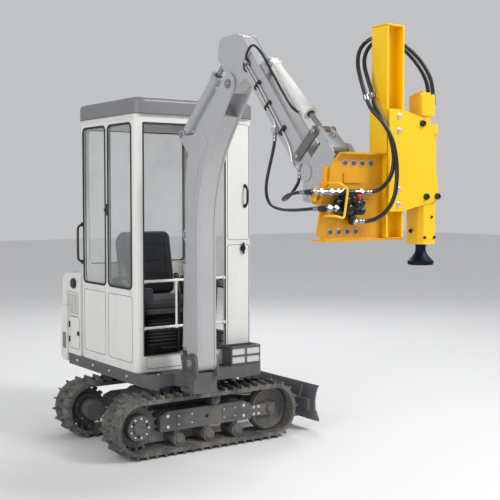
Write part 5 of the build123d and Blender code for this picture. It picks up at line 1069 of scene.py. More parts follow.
@dataclass
class PostDriver(Assembly):
    """Mast, carriage, hammer, bracket and valve: fasteners, fittings, welds and clips."""

    DRESSED = {
        # the bracket and its ears wear the yellow darkened into painted shade of the recess
        "yellow_deep": "tool_ears bracket",
        "yellow": "mast valve_guard carriage_plates hammer_housing hammer_tube hammer_head",
        "valve": "valve_block",
        "nylon": "slide_pads",
        "cap_steel": "driving_cap",
    }
    BODY = "driver"

    mast: Pair = (2.077, 0.100)
    half: float = 0.060
    plate_front: float = 2.154
    plate_back: float = 2.000
    face: float = 2.102
    bracket_back: float = 2.090
    line_x: float = 2.132
    line_z: float = 1.712
    hammer_y: float = 0.350
    hammer_front: float = 2.142
    valve: Pair = (-0.205, 1.640)

    def detail(self) -> None:
        """Makes every detail of the driver."""
        self.fasteners()
        self.unions()
        self.valve_cluster()
        self.valve_mounts()
        self.clamps()
        self.hammer_trim()
        self.seams()

    def on_plates(self, pairs: Flat) -> list[Spot]:
        """Places y, z on the carriage's front plate, then on its back plate."""
        front, back = self.plate_front, self.plate_back
        return Face.FRONT.spots(front, pairs) + Face.BACK.spots(back, pairs)

    def fasteners(self) -> None:
        """Zinc bolts on the carriage's pads, dark nuts on the hammer, the bracket's two rows."""
        pads = [(0.112, z) for z in (1.648, 1.725, 2.034, 2.110)]
        self.put("carriage_bolts", bolts(12.5, self.on_plates(pads)), "zinc", "carriage")
        hammer = [(0.280, 2.080), (0.312, 1.690), (0.395, 1.692)]
        self.put("hammer_nuts", nuts(18.5, self.on_plates(hammer)), "valve", "carriage")
        middles = ((-0.128, 1.862), (-0.226, 1.510))
        rows = [(y + 0.057 * (i - 1.5), z) for y, z in middles for i in range(4)]
        ring = ((17.8, 0), (17.8, 2.2), (16.6, 3), (12, 3), (12, 0))
        rings = [hoop(at, way, ring, 28) for at, way in Face.FRONT.spots(self.face, rows)]
        self.put("bracket_washers", rings, "zinc")
        seats = Face.FRONT.spots(self.face + 0.001, rows)
        self.put("bracket_bolts", nuts(12.8, seats), "steel")
        behind = Face.BACK.spots(self.bracket_back, rows)
        self.put("bracket_bolt_heads", bolts(12.5, behind), "steel")

    def unions(self) -> None:
        """Bright unions on the valve's lines, ferrules on hose ends, and plain sleeves."""
        x, top = self.line_x, self.line_z
        upper = ((-0.452, 30), (-0.414, 34), (-0.352, 40), (-0.304, 32), (-0.266, 26), (-0.152, 34))
        # each line's height and bore, then where its unions start with their lengths
        lines = (
            (top, 14.2, upper),
            (1.630, 15.2, ((-0.362, 36), (-0.318, 34))),
            (1.562, 14.2, ((-0.192, 30),)),
        )
        shells = [
            union_nut((x, y, z), LEFT, bore, length) for z, bore, row in lines for y, length in row
        ]
        sleeve = [(14, 0), (14.7, 1), (14.7, 185), (14, 186)]
        shells.append(lathe((x, -0.4525, top), LEFT, sleeve))
        shells.append(lathe((x, -0.176, top), LEFT, scaled(sleeve, 1, 0.32)))
        outlets = [((x, -0.1095, top), LEFT), ((x, -0.1595, 1.562), LEFT)]
        shells += spun(FERRULE, outlets, 20)
        inlets = Face.BACK.spots(2.1135, [(-0.4705, top), (-0.3845, 1.630)])
        self.put("valve_unions", shells + spun(SLIM_FERRULE, inlets, 20), "chrome")
        ports = [(2.084, 0.426), (2.050, 0.426)]
        nut = [(12.5, 0), (16, 2), (16, 16)]
        shells = spun(FERRULE, Face.TOP.spots(2.2065, ports), 20)
        shells += spun(nut, Face.TOP.spots(2.190, ports), 24, HEX)
        self.put("head_ferrules", shells, "chrome", "carriage")
        hanging = [((1.500, -0.218, 2.0445), DOWN), ((1.730, -0.218, 1.8345), DOWN)]
        self.put("arm_ferrules", spun(SLIM_FERRULE, hanging, 20), "chrome", "stick")

    def round_valve(self, x: float, shifts: Iterable[Pair], axis: Point = AHEAD) -> list[Spot]:
        """Places at x, shifted in y and z from the valve's middle, with the way out of them."""
        y, z = self.valve
        return [((x, y + dy, z + dz), axis) for dy, dz in shifts]

    def valve_cluster(self) -> None:
        """Round caps, plugs, coils and bungs round the valve block, with its red relief cap."""
        x, front = self.line_x, self.face + 0.058
        plugs = product((0.020, -0.020), (-0.022, 0.026))
        spots = self.round_valve(front, [(dy, dz) for dz, dy in plugs])
        shells = [nut for spot, r in zip(spots, (14, 12, 12, 14)) for nut in nuts(r, [spot])]
        cap = [(20.5, 0), (21.5, 2), (21.5, 9), (19.5, 12), (19.5, 17), (12, 21), (9, 18)]
        for dz in (0.020, -0.020):
            for dy, way in ((-0.074, RIGHT), (0.074, LEFT)):
                shells += spun(cap, self.round_valve(x, [(dy, dz)], way), 28)
        dome = [(17, 0), (17.5, 4), (17.5, 12), (14.5, 19), (8, 23)]
        shells += spun(dome, self.round_valve(x, ((-0.034, 0.042), (0.034, 0.042)), UP), 28)
        shells += spun(dome, self.round_valve(x, ((-0.036, -0.042), (0.012, -0.042)), DOWN), 28)
        coil = [(24, -14), (26, 0), (26, 13), (21.5, 18), (21.5, 24), (15, 28), (9, 28.5), (8, 26)]
        large = self.round_valve(front, ((-0.034, -0.014), (0.022, 0.006)))
        small = self.round_valve(front, ((-0.006, 0.036), (0.048, -0.026), (-0.044, 0.030)))
        shells += spun(coil, large, 32) + spun(scaled(coil, 0.7, 0.8), small, 28)
        shells.append(lathe((x + 0.010, -0.245, self.line_z), AHEAD, dome, 28))
        self.put("valve_caps", shells, "valve")
        red = [(10, 0), (12, 3), (12, 24), (9.5, 30), (4, 31)]
        self.put("relief_cap", lathe((x + 0.023, -0.163, 1.672), UP, red), "red")

    def valve_mounts(self) -> None:
        """The upper line's lug and foot, the lower line's stay, and the valve's own bolts."""
        x, face = self.line_x, self.face
        ring = ((22.5, 0), (22.5, 10), (19.5, 12), (14.2, 12), (14.2, -2), (19.5, -2))
        lug = hoop((x, -0.440, self.line_z), LEFT, ring)
        foot = block((face, -0.442, 1.664), (x + 0.010, -0.428, 1.699))
        stay = block((face, -0.350, 1.585), (x + 0.006, -0.338, 1.616))
        # the lugs, foot and stay wear the yellow darkened into painted shade
        self.put("line_lugs", [lug, foot, stay], "yellow_deep")
        corners = self.round_valve(face + 0.044, product((-0.052, 0.052), (-0.034, 0.034)))
        self.put("valve_bolts", bolts(5.5, corners, False), "zinc")

    def clamps(self) -> None:
        """Two bright clamps round the hoses, tied to the mast's clip by their bolt."""
        band, half = ((15.2, 0), (15.2, 26), (11.2, 26), (11.2, 0)), 0.013
        first = ((2.066, 0.004, 2.222), (-0.10, -0.05, 1))
        second = ((2.060, -0.036, 2.206), (-0.30, -0.06, 1))
        shells = []
        for at, way in (first, second):
            shells.append(hoop(np.array(at) - half * unit(way), way, band, 24))
        shells.append(block((2.052, -0.026, 2.206), (2.074, -0.012, 2.226)))
        shells.append(hex_bolt((2.074, -0.016, 2.216), AHEAD, 5, False))
        self.put("hose_clamps", shells, "chrome")

    def hammer_trim(self) -> None:
        """Nuts on the tie rods, gas plugs, the housing's bosses and the head's bolts."""
        x, y, front = self.mast[0], self.hammer_y, self.hammer_front

        def corners(reach: float) -> list[Pair]:
            """The four places at this distance along x and y from the hammer's axis."""
            return [(x + a * reach, y + b * reach) for a, b in product((-1, 1), repeat=2)]

        rods = corners(0.048)
        collar = [(14, 0), (15, 2), (15, 20)]
        shells = bolts(11.5, Face.TOP.spots(1.860, rods))
        shells += spun(collar, Face.TOP.spots(2.008, rods), 24, HEX)
        self.put("tie_rod_nuts", shells, "yellow", "carriage")
        plugs = nuts(8, [((front, y + 0.016, 1.580), AHEAD)])
        plugs += nuts(13, [((front, y, 1.790), AHEAD)])
        plugs += nuts(9, [((front, y + side * 0.036, 1.470), AHEAD) for side in (-1, 1)])
        plugs += nuts(12.5, [((x, y + way * 0.073, 1.504), (0, way, 0)) for way in (1, -1)])
        plugs += nuts(10, [((x + side * 0.032, y - 0.073, 1.640), RIGHT) for side in (-1, 1)])
        self.put("housing_plugs", plugs, "valve", "carriage")
        heads = bolts(7.5, Face.TOP.spots(2.236, corners(0.042)), False)
        self.put("head_bolts", heads, "zinc", "carriage")

    def seams(self) -> None:
        """Weld beads where the mast, its cap, the bracket and its ears meet."""
        x0, x1 = self.mast[0] - self.half, self.mast[0] + self.half
        y0, y1 = self.mast[1] - self.half, self.mast[1] + self.half
        top, low, face = 2.580, 1.473, self.face
        beads = [
            seam((x0, y0, top), (x1, y0, top), 0.003),
            seam((x1, y0, top), (x1, y0 + 0.011, top), 0.003),
            seam((x0, y0, low), (x1, y0, low)),
            seam((x1, y0, low), (x1, y1, low)),
            seam((face, 0.040, 1.480), (face, 0.040, 1.905)),
            seam((face, -0.235, 1.907), (face, 0.036, 1.907), 0.003),
            seam((face, -0.360, 1.473), (face, 0.036, 1.473), 0.003),
            seam((face, -0.345, 1.594), (face, -0.333, 1.594)),
        ]
        # the welds wear the yellow darkened into painted shade
        self.put("driver_welds", beads, "yellow_deep")


# tracks and blade


@dataclass
class Undercarriage(Assembly):
    """Track frames, drives, idlers and slewing ring: bolts, caps, plugs, covers and welds."""

    DRESSED = {
        "track": "track_right track_left",
        "chassis": "undercarriage sprockets idlers rollers",
        "steel": "slew_ring",
    }
    BODY = "chassis"

    track_x: float = 0.375
    drive: Pair = (-0.520, 0.202)
    idler: Pair = (0.520, 0.202)
    wheel_reach: float = 0.1675
    beam_out: float = 0.423
    beam_z: float = 0.216
    hub_x: float = 0.443
    ring_bolts: int = 24

    def detail(self) -> None:
        """Makes both sides and what lies between them."""
        for name, finish, shells in self.side_pieces():
            self.put(name, shells + [shell.mirrored() for shell in shells], finish)
        turn = turns(self.ring_bolts)
        shells = bolts(5.8, [((x, y, 0.428), DOWN) for x, y in circle(0.252, turn)], False)
        ways = circle(1, turn[::6])
        shells += nuts(6, [((0.2449 * x, 0.2449 * y, 0.372), (x, y, 0)) for x, y in ways])
        self.put("ring_bolts", shells, "zinc")

    def side_pieces(self) -> list[tuple[str, str, list[Shell]]]:
        """What each side of the undercarriage carries, made for the side towards +X.

        Returns:
            Rows of name, finish and surfaces.
        """
        covers, cover_bolts = [], []
        for y, width, reach in ((0.18, 0.115, 0.046), (-0.17, 0.125, 0.051)):
            outline = round_box((y, self.beam_z), width, 0.078, 0.014)
            covers.append(sheet(Face.FRONT, self.beam_out, outline, 0.004))
            shifts = product((-reach, reach), (-0.028, 0.028))
            corners = [(y + a, self.beam_z + b) for a, b in shifts]
            cover_bolts += bolts(5.5, Face.FRONT.spots(self.beam_out + 0.004, corners), False)
        thirds = circle(0.055, (0.35, 2.44, 4.54), self.drive)
        plugs = nuts(6.5, Face.FRONT.spots(self.hub_x, thirds))
        plugs += nuts(11, Face.FRONT.spots(self.beam_out, [(0.0, self.beam_z)]))
        ridges = [self.belt_ridge(0.490, 1), self.belt_ridge(0.260, -1)]
        return [
            ("undercarriage_bolts", "zinc", self.side_bolts() + cover_bolts),
            ("axle_caps", "chassis", self.axle_caps() + covers),
            ("drive_plugs", "black_steel", plugs),
            ("undercarriage_welds", "chassis", self.side_welds()),
            ("belt_ridges", "track", ridges),
        ]

    def side_bolts(self) -> list[Shell]:
        """Bolts of the drive's hub and flange, the track frame and the idler's slide.

        Returns:
            The bolts.
        """
        drive, turn = self.drive, turns(9)
        shells = bolts(8.2, Face.FRONT.spots(self.hub_x, circle(0.064, turn, drive)), False)
        behind = circle(1.33 * 0.064, turn[::2], drive)
        shells += bolts(8, Face.BACK.spots(0.336, behind), False)
        frame_ends = product((-0.30, 0.30), (0.178, 0.250))
        shells += bolts(9, Face.FRONT.spots(self.beam_out, frame_ends))
        slide = [(y, self.idler[1] + dz) for y, dz in product((0.385, 0.425), (-0.024, 0.024))]
        return shells + bolts(8, Face.FRONT.spots(self.beam_out, slide))

    def axle_caps(self) -> list[Shell]:
        """Turned caps on the drive, the idler, the three low rollers and the high one.

        Returns:
            The caps.
        """
        hub = [(46, 0), (46, 4), (40, 10), (22, 12), (18, 9)]
        axle = [(27, 0), (28, 3), (28, 10), (22, 16), (10, 18)]
        roller = [(24, 0), (26, 3), (26, 7), (16, 13), (8, 12)]
        low = [(y, 0.091) for y in (-0.230, 0.0, 0.230)]
        shells = spun(hub, Face.FRONT.spots(self.hub_x, [self.drive]), 40)
        shells += spun(axle, Face.FRONT.spots(self.beam_out, [self.idler]), 32)
        shells += spun(roller, Face.FRONT.spots(0.450, low), 28)
        return shells + spun(scaled(roller, 0.6), Face.FRONT.spots(0.450, [(0.060, 0.325)]), 28)

    def side_welds(self) -> list[Shell]:
        """Weld beads on the track frame, along its top and round its idler end."""
        x, top_x, z = self.beam_out - 0.001, self.track_x - 0.048, self.idler[1]
        spans = ((-0.340, -0.240), (0.240, 0.330))
        beads = [seam((x, y0, 0.152), (x, y1, 0.152), 0.0035) for y0, y1 in spans]
        beads += [seam((top_x, y, 0.268), (top_x, y + 0.150, 0.268)) for y in (-0.305, 0.155)]
        fork = [((0.326, -0.400, z + dz), (0.336, -0.345, z + dz)) for dz in (-0.052, 0.052)]
        return beads + [seam(start, end, 0.0035) for start, end in fork]

    def belt_ridge(self, x: float, way: int) -> Shell:
        """A moulded rib round the belt's side: a half-round section along the track's stadium loop.

        Args:
            x: where the belt's side lies.
            way: which way it faces.

        Returns:
            The closed ring; row k is the stadium of the wheel's reach grown by section value k.
        """
        turn = np.linspace(-np.pi / 2, np.pi / 2, 24)
        arc = np.stack([np.cos(turn), np.sin(turn)], axis=1) * self.wheel_reach
        loop = np.vstack([arc + self.idler, -arc + self.drive])
        section, sunk = ((5, -1), (4, 1.6), (0, 2.2), (-4, 1.6), (-5, -1)), 2
        rows = [Face.FRONT.lift(grown(loop, MM * s), x, way * MM * (h - sunk)) for s, h in section]
        return Shell.grid(np.stack(rows), looped=True).turned_out(way < 0)


@dataclass
class Blade(Assembly):
    """The dozer blade: bolted cutting edge, gussets, welds, pin caps and tow plate."""

    DRESSED = {
        "blade": "blade",
        "chassis": "blade_cylinder_barrel",
        "chrome": "blade_cylinder_rod",
    }
    BODY = "blade"

    half_width: float = 0.490
    low: Pair = (0.914, 0.070)
    middle: Pair = (0.878, 0.206)
    high: Pair = (0.908, 0.332)

    def front(self, z: np.ndarray) -> np.ndarray:
        """The bowed front's y at each height: a parabola through low, middle and high."""
        points = np.array([self.low, self.middle, self.high])
        return np.polyval(np.polyfit(points[:, 1], points[:, 0], 2), z)

    def band(self, z0: float, z1: float, half: float, thick: float) -> Shell:
        """A plate on the front: its section runs up the front at this thickness and back inside.

        Args:
            z0: its low edge.
            z1: its high edge.
            half: half its width.
            thick: how far it stands out, though never before the blade's lowest edge.

        Returns:
            The closed surface.
        """
        z = np.linspace(z0, z1, 12)
        out = np.minimum(self.front(z) + thick, self.low[0] - 0.0002)
        inside = np.stack([self.front(z) - 0.004, z], 1)[::-1]
        loop = np.vstack([np.stack([out, z], 1), inside])
        return self.across(loop, 0.0, half)

    def across(self, loop: np.ndarray, x: float, half: float) -> Shell:
        """A section of y and z, from half before x to half beyond it."""
        return Shell.grid(np.stack([np.insert(loop, 0, x + d, axis=1) for d in (-half, half)]))

    def detail(self) -> None:
        """Makes the blade's and its cylinder's details."""
        edge = self.band(0.076, 0.146, self.half_width, 0.007)
        rim = self.band(0.318, 0.330, self.half_width, 0.005)
        self.put("cutting_edge", [edge, rim], "steel")
        z, thick, sunk = 0.114, 0.007, 0.001
        y = float(self.front(np.array(z))) + thick - sunk
        dome, out = [(13, 0), (12, 3), (7, 5.5)], (0, 1, 0.25)
        row = [((x, y, z), out) for x in np.linspace(-0.42, 0.42, 7)]
        self.put("edge_bolts", spun(dome, row, 20), "zinc")
        beads, gussets, pins = [], [], []
        rib = counterclockwise([(0.845, 0.232), (0.871, 0.232), (0.884, 0.312), (0.872, 0.312)])
        cap = [(12, 0), (12, 3), (5, 5)]
        for side in (1, -1):
            for x in (0.165 + 0.022 * side, -0.165 + 0.022 * side):
                beads.append(seam((x, 0.838, 0.136), (x, 0.838, 0.208)))
            beads.append(seam((side * 0.448, 0.872, 0.150), (side * 0.448, 0.872, 0.230)))
            gussets.append(self.across(rib, side * 0.33, 0.006))
            ends = ((side * 0.2145, side), (side * 0.1155, -side))
            pins += spun(cap, [((x, 0.430, 0.235), (way, 0, 0)) for x, way in ends])
            pins.append(hex_bolt((side * 0.045, 0.300, 0.315), (side, 0, 0), 8.5))
        self.put("blade_gussets", gussets, "blade")
        self.put("blade_welds", beads, "blade")
        self.put("blade_pin_caps", pins, "zinc", "chassis")
        plate = sheet(Face.RIGHT, 0.840, round_box((0.0, 0.190), 0.110, 0.050, 0.012), 0.006)
        self.put("blade_tow_plate", plate, "blade")


# upper frame


@dataclass
class UpperFrame(Assembly):
    """Deck, counterweight, engine hood and step box: hatches, locks, lamps, exhaust and treads."""

    DRESSED = {
        "chassis": "platform step_box",
        "cab_white": "counterweight engine_hood",
        "black_steel": "engine",
    }

    tail: float = 1.000
    hood_tail: float = 0.990
    side: float = 0.465
    hood_top: float = 1.120
    deck_top: float = 0.530
    exhaust: Pair = (-0.700, 0.380)
    filler: Pair = (-0.666, 1.055)

    def detail(self) -> None:
        """Makes the details of everything under and behind the cab."""
        self.counterweight()
        self.hood()
        self.filler_cap()
        self.exhaust_pipe()
        self.engine_bay()
        self.deck()

    def on_tail(self, angles: Iterable[float], z: float) -> list[Spot]:
        """Places on the round tail at angles in degrees from its middle, with the way out."""
        ways = circle(1, [math.radians(180 - angle) for angle in angles])
        return [((self.tail * x, self.tail * y, z), (x, y, 0.0)) for x, y in ways]

    def tail_line(self, radius: float, half: float, z: float, thick: float, count: int) -> Shell:
        """A thin line round a tail, sunk by 0.6 mm: (r*cos a, r*sin a, z) about its middle.

        Args:
            radius: the tail's radius.
            half: half the angle that it runs through, in degrees.
            z: its height.
            thick: its radius.
            count: how many points it has.

        Returns:
            The closed surface.
        """
        turn, r = np.radians(np.linspace(180 - half, 180 + half, count)), radius - 0.0006
        path = np.stack([r * np.cos(turn), r * np.sin(turn), np.full(count, z)], 1)
        return tube(path, thick, 6)

    def counterweight(self) -> None:
        """Lifting bolts, lamp pots, cast seams and side plates on the counterweight."""
        self.put("counterweight_bolts", bolts(15, self.on_tail((-19, 19), 0.600)), "zinc")
        ring = [(34, 0), (36, 2), (36, 10), (31, 12), (29, 8)]
        glass = [(28.5, 4), (26, 9), (14, 11.5), (4, 12)]
        lamps = self.on_tail((-22, 22), 0.800)
        self.put("tail_lamp_rings", spun(ring, lamps, 32), "seal")
        self.put("tail_lamp_lenses", spun(glass, lamps, 32), "red")
        seams = [self.tail_line(self.tail, 26.5, z, 0.0006, 40) for z in (0.705, 0.716)]
        self.put("counterweight_seams", seams, "seal")
        outline = round_box((-0.818, 0.62), 0.058, 0.120, 0.012)
        plates = [sheet(face, level, outline, 0.003) for face, level in both_sides(0.480)]
        self.put("counterweight_plates", plates, "roof")

    def hood(self) -> None:
        """Shut lines, side hatches with locks and hinges, and the top lid with its latches."""
        hatches = (
            round_box((-0.6675, 0.690), 0.166, 0.232, 0.016),
            round_box((-0.700, 0.900), 0.196, 0.176, 0.010),
        )
        sides = both_sides(self.side)
        shells = [strip(*side, hatch, SHUT_LINE) for hatch in hatches for side in sides]
        lid = round_box((-0.735, 0.0), 0.290, 0.760, 0.030)
        shells.append(strip(Face.TOP, self.hood_top, lid, SHUT_LINE))
        shells.append(self.tail_line(self.hood_tail, 24, 1.040, 0.0008, 36))
        self.put("hood_shut_lines", shells, "seal")
        lock = [(16, 0), (17, 2), (17, 5), (12, 7), (9, 4.5)]
        hinge = [(6, 0), (7.5, 2), (7.5, 40), (6, 42)]
        out = self.side + 0.002
        knuckles = [(-0.7505, y, z) for y in (out, -out) for z in (0.615, 0.725)]
        shells = spun(lock, flanks(self.side, [(-0.602, 0.690)]), 28)
        shells += spun(hinge, [(at, UP) for at in knuckles], 16)
        shells += spun(lock, Face.TOP.spots(self.hood_top, ((-0.870, -0.20), (-0.870, 0.20))), 28)
        self.put("hood_locks", shells, "black_steel")

    def filler_cap(self) -> None:
        """A round cap with twelve ribs on the hood's right side."""
        cap = [(34, 0), (36, 3), (36, 16), (30, 21), (12, 23)]
        half, y = 0.002, -self.side
        shells = spun(cap, Face.RIGHT.spots(y, [self.filler]), 36)
        for x, z in circle(0.036, turns(12), self.filler):
            low, high = (x - half, y - 0.018, z - half), (x + half, y - 0.002, z + half)
            shells.append(block(low, high, 0.0008))
        self.put("filler_cap", shells, "valve")

    def exhaust_pipe(self) -> None:
        """A bent pipe to the rear, with a flange on the hood and a rolled lip."""
        x, y = self.exhaust
        bend = (
            (0, 1.112), (0, 1.150), (0.008, 1.172), (0.030, 1.186), (0.065, 1.190), (0.090, 1.190),
        )
        path = curve_through([(x - back, y, z) for back, z in bend], 24)
        flange = [(34, 0), (34, 5), (30, 6)]
        lip = ((22.5, 0), (24.5, 2), (24.5, 10), (18.5, 10), (18.5, 0))
        foot = lathe((x, y, self.hood_top), UP, flange, 28)
        end = hoop((-0.786, y, 1.190), BEHIND, lip, 28)
        self.put("exhaust", [tube(path, 0.0215, 20), foot, end], "black_steel")

    def engine_bay(self) -> None:
        """What shows through the air slots: a wire screen, the cooler's fins and the covers."""
        shells = []
        for y in (0.452, -0.452):
            lying = [[(-0.795, y, z), (-0.600, y, z)] for z in np.arange(0.816, 0.985, 0.008)]
            upright = [[(x, y, 0.812), (x, y, 0.988)] for x in np.arange(-0.795, -0.598, 0.013)]
            shells += [tube(wire, 0.0012, 5) for wire in lying + upright]
        self.put("air_screens", shells, "seal")
        places = np.arange(-0.745, -0.590, 0.008)
        fins = [block((x, 0.290, 0.560), (x + 0.003, 0.300, 0.850), 0.0006) for x in places]
        tanks = ((0.850, 0.868), (0.545, 0.560))
        fins += [block((-0.750, 0.282, z0), (-0.586, 0.306, z1)) for z0, z1 in tanks]
        self.put("cooler_fins", fins, "roof")
        cover = [block((-0.735, -0.15, 0.860), (-0.600, 0.19, 0.892), 0.006)]
        bung = [(20, 0), (20, 12), (14, 18)]
        pot = [(60, 0), (62, 10), (62, 50), (50, 60)]
        cover += spun(bung, Face.TOP.spots(0.892, [(-0.668, -0.08), (-0.668, 0.12)]))
        cover += spun(pot, Face.TOP.spots(0.892, [(-0.668, 0.020)]), 32)
        self.put("engine_covers", cover, "valve")

    def deck(self) -> None:
        """Tread pads on the deck, pale panels in the step box and bolts along the deck's edge."""
        stud, pitch = [(4.5, 0), (3.5, 1.6), (2, 2)], 0.015
        shells = []
        x0, x1 = 0.305, 0.385
        for y0, y1 in ((-0.425, -0.315), (0.025, 0.190)):
            outline = [(x0, y0), (x1, y0), (x1, y1), (x0, y1)]
            shells.append(sheet(Face.TOP, self.deck_top, outline, 0.0016, 0.0006))
            places = product(np.arange(x0 + 0.010, x1, pitch), np.arange(y0 + 0.010, y1, pitch))
            shells += spun(stud, Face.TOP.spots(self.deck_top + 0.0014, places), 8)
        starts = [0.300 + 0.020 * i for i in range(5)]
        shells += [block((x, 0.215, 0.6585), (x + 0.006, 0.445, 0.6625), 0.0012) for x in starts]
        self.put("tread_pads", shells, "seal")
        places = list(product((0.2695, 0.3905), (0.5665, 0.6235)))
        panels = [round_box(place, 0.099, 0.035, 0.004) for place in places]
        inner = [sheet(Face.FRONT, 0.4038, panel, 0.0016, 0.0006) for panel in panels]
        self.put("step_box_panels", inner, "inset")
        rim = ((1.5, 0), (1.5, 4.5), (-2, 4.5), (-2, 0))
        loops = [round_box(place, 0.103, 0.039, 0.004) for place in places]
        frames = [strip(Face.FRONT, 0.4036, loop, rim) for loop in loops]
        self.put("step_box_frames", frames, "cab_white")
        edge = flanks(self.side, [(x, 0.492) for x in (-0.62, -0.36, -0.10, 0.16)])
        shells = bolts(8, edge)
        shells += bolts(7, Face.TOP.spots(self.deck_top, ((0.408, -0.36), (0.408, 0.06))))
        self.put("deck_bolts", shells, "zinc")


# cab


@dataclass
class Cab(Assembly):
    """Window seals, shut lines, gutters, roof ribs, front trims and the door's fittings."""

    DRESSED = {
        "cab_white": "cab_frame door front_guard",
        "roof": "cab_roof",
        "glass": "cab_glass door_glass",
    }

    front: float = 0.290
    rear: float = -0.560
    side: float = 0.460
    wall: float = 0.0165
    roof_top: float = 2.340
    gutter: Pair = (2.204, 2.214)
    door_face: float = 0.4944
    hinge: Pair = (-0.400, 0.516)
    hinge_z: Pair = (0.754, 2.008)

    def detail(self) -> None:
        """Makes the details of the cab's outside."""
        self.seals()
        self.roof()
        self.panels()
        self.side_fittings()
        self.front_trim()
        self.guard_clamps()
        self.door()

    def window(
        self, low_a: float, high_a: float, low_b: float, high_b: float, corner: float = 0.036
    ) -> np.ndarray:
        """A window's outline, with round corners, from the limits of both its coordinates."""
        middle = ((low_a + high_a) / 2, (low_b + high_b) / 2)
        return round_box(middle, high_a - low_a, high_b - low_b, corner, 8)

    def seals(self) -> None:
        """Rubber seals round each pane, and a trim round the open front."""
        loops = [
            (Face.RIGHT, -self.side, self.window(-0.502, -0.150, 1.080, 2.172)),
            (Face.RIGHT, -self.side, self.window(-0.109, 0.232, 1.080, 2.172)),
            (Face.BACK, self.rear, self.window(-0.402, 0.402, 1.200, 2.172)),
        ]
        inner = ((6, -2), (6, 3), (-4, 3), (-4, -2))
        shells = [strip(face, level, loop, SEAL) for face, level, loop in loops]
        shells += [strip(face, level + self.wall, loop, inner) for face, level, loop in loops]
        trim = ((5, -1), (5, 2.5), (0, 4.5), (-5, 2.5), (-5, -1))
        opening = self.window(-0.402, 0.235, 0.640, 2.172, 0.006)
        shells.append(strip(Face.FRONT, self.front, opening, trim))
        flush = ((5, -1), (5, 0), (-5, 0), (-5, -1))
        doorway = self.window(-0.376, 0.124, 0.618, 2.148, 0.030)
        shells.append(strip(Face.LEFT, self.side, doorway, flush))
        self.put("window_seals", shells, "seal")

    def roof(self) -> None:
        """Pressed ribs and a hatch on the roof, and gutters and screws along its edge."""
        outlines = [round_box((-0.135, y), 0.640, 0.060, 0.028) for y in (-0.34, 0.34)]
        ribs = [sheet(Face.TOP, self.roof_top, outline, 0.006, 0.004) for outline in outlines]
        hatch = round_box((-0.100, 0.0), 0.440, 0.460, 0.060)
        ribs.append(sheet(Face.TOP, self.roof_top, hatch, 0.010, 0.006))
        self.put("roof_ribs", ribs, "roof")
        bead = ((6, -1), (6, 4), (0, 7), (-6, 4), (-6, -1))
        rim = strip(Face.TOP, self.roof_top, round_box((-0.100, 0.0), 0.476, 0.496, 0.070), bead)
        self.put("roof_hatch_seal", rim, "seal")
        low, high = self.gutter
        x0, x1 = self.rear + 0.03, self.front - 0.03
        spans = [((x0, y - 0.004), (x1, y + 0.004)) for y in (0.464, -0.464)]
        spans.append(((self.rear - 0.006, -0.41), (self.rear, 0.41)))
        gutters = [block((*start, low), (*end, high), 0.0015) for start, end in spans]
        self.put("gutters", gutters, "cab_white")
        joint = ((0.6, -1), (0.6, 1), (-3, 1), (-3, -1))
        edge = round_box((-0.135, 0.0), 0.902, 0.936, 0.070, 10)
        self.put("roof_joint", strip(Face.TOP, 2.2322, edge, joint), "seal")
        head, z = [(7.5, 0), (6.5, 2), (3, 2.8)], 2.256
        places = flanks(0.468, [(x, z) for x in np.linspace(-0.48, 0.21, 5)])
        places += Face.FRONT.spots(0.316, [(y, z) for y in (-0.34, -0.12, 0.12, 0.34)])
        self.put("roof_screws", spun(head, places, 14), "roof")

    def panels(self) -> None:
        """Shut lines of the lower sheets and the corner panel, and the sheets' screws."""
        flats = [
            (Face.RIGHT, -self.side, (-0.330, 0.810), 0.340, 0.440),
            (Face.RIGHT, -self.side, (0.060, 0.810), 0.350, 0.440),
            (Face.BACK, self.rear, (0.0, 0.860), 0.760, 0.560),
            (Face.FRONT, self.front, (0.3450, 0.955), 0.180, 0.800),
            (Face.FRONT, self.front, (0.3450, 1.790), 0.180, 0.800),
            (Face.FRONT, self.front, (-0.0835, 0.589), 0.600, 0.076),
        ]
        shells = [
            strip(face, level, round_box(middle, width, height, 0.018), SHUT_LINE)
            for face, level, middle, width, height in flats
        ]
        self.put("panel_lines", shells, "seal")
        head = [(7, 0), (6.2, 1.8), (3, 2.6)]
        rows = [(x, z) for z in (0.560, 1.052) for x in (-0.50, -0.335, -0.17, -0.09, 0.06, 0.22)]
        places = Face.RIGHT.spots(-self.side, rows)
        places += Face.FRONT.spots(self.front, product((0.262, 0.428), (0.575, 1.375, 2.185)))
        places += Face.BACK.spots(self.rear, product((-0.36, -0.12, 0.12, 0.36), (0.57, 1.16)))
        self.put("panel_screws", spun(head, places, 14), "zinc")

    def side_fittings(self) -> None:
        """The sliding window's catch and a hand grip on the rear post."""
        knob = [(10, 0), (10, 8), (7, 11)]
        plate = block((-0.1385, -0.4705, 1.560), (-0.1205, -0.4605, 1.640))
        catch = [plate, lathe((-0.1295, -0.4705, 1.600), RIGHT, knob, 20)]
        self.put("window_catch", catch, "plastic")
        post, foot = -0.531, [(16, 0), (16, 4), (11, 7)]
        bend = (
            (-0.460, 1.22), (-0.486, 1.235), (-0.494, 1.27), (-0.494, 1.44), (-0.486, 1.475),
            (-0.460, 1.49),
        )
        shells = [tube(curve_through([(post, y, z) for y, z in bend], 30), 0.0085, 14)]
        shells += spun(foot, Face.RIGHT.spots(-self.side, [(post, 1.22), (post, 1.49)]))
        self.put("rear_grip", shells, "seal")

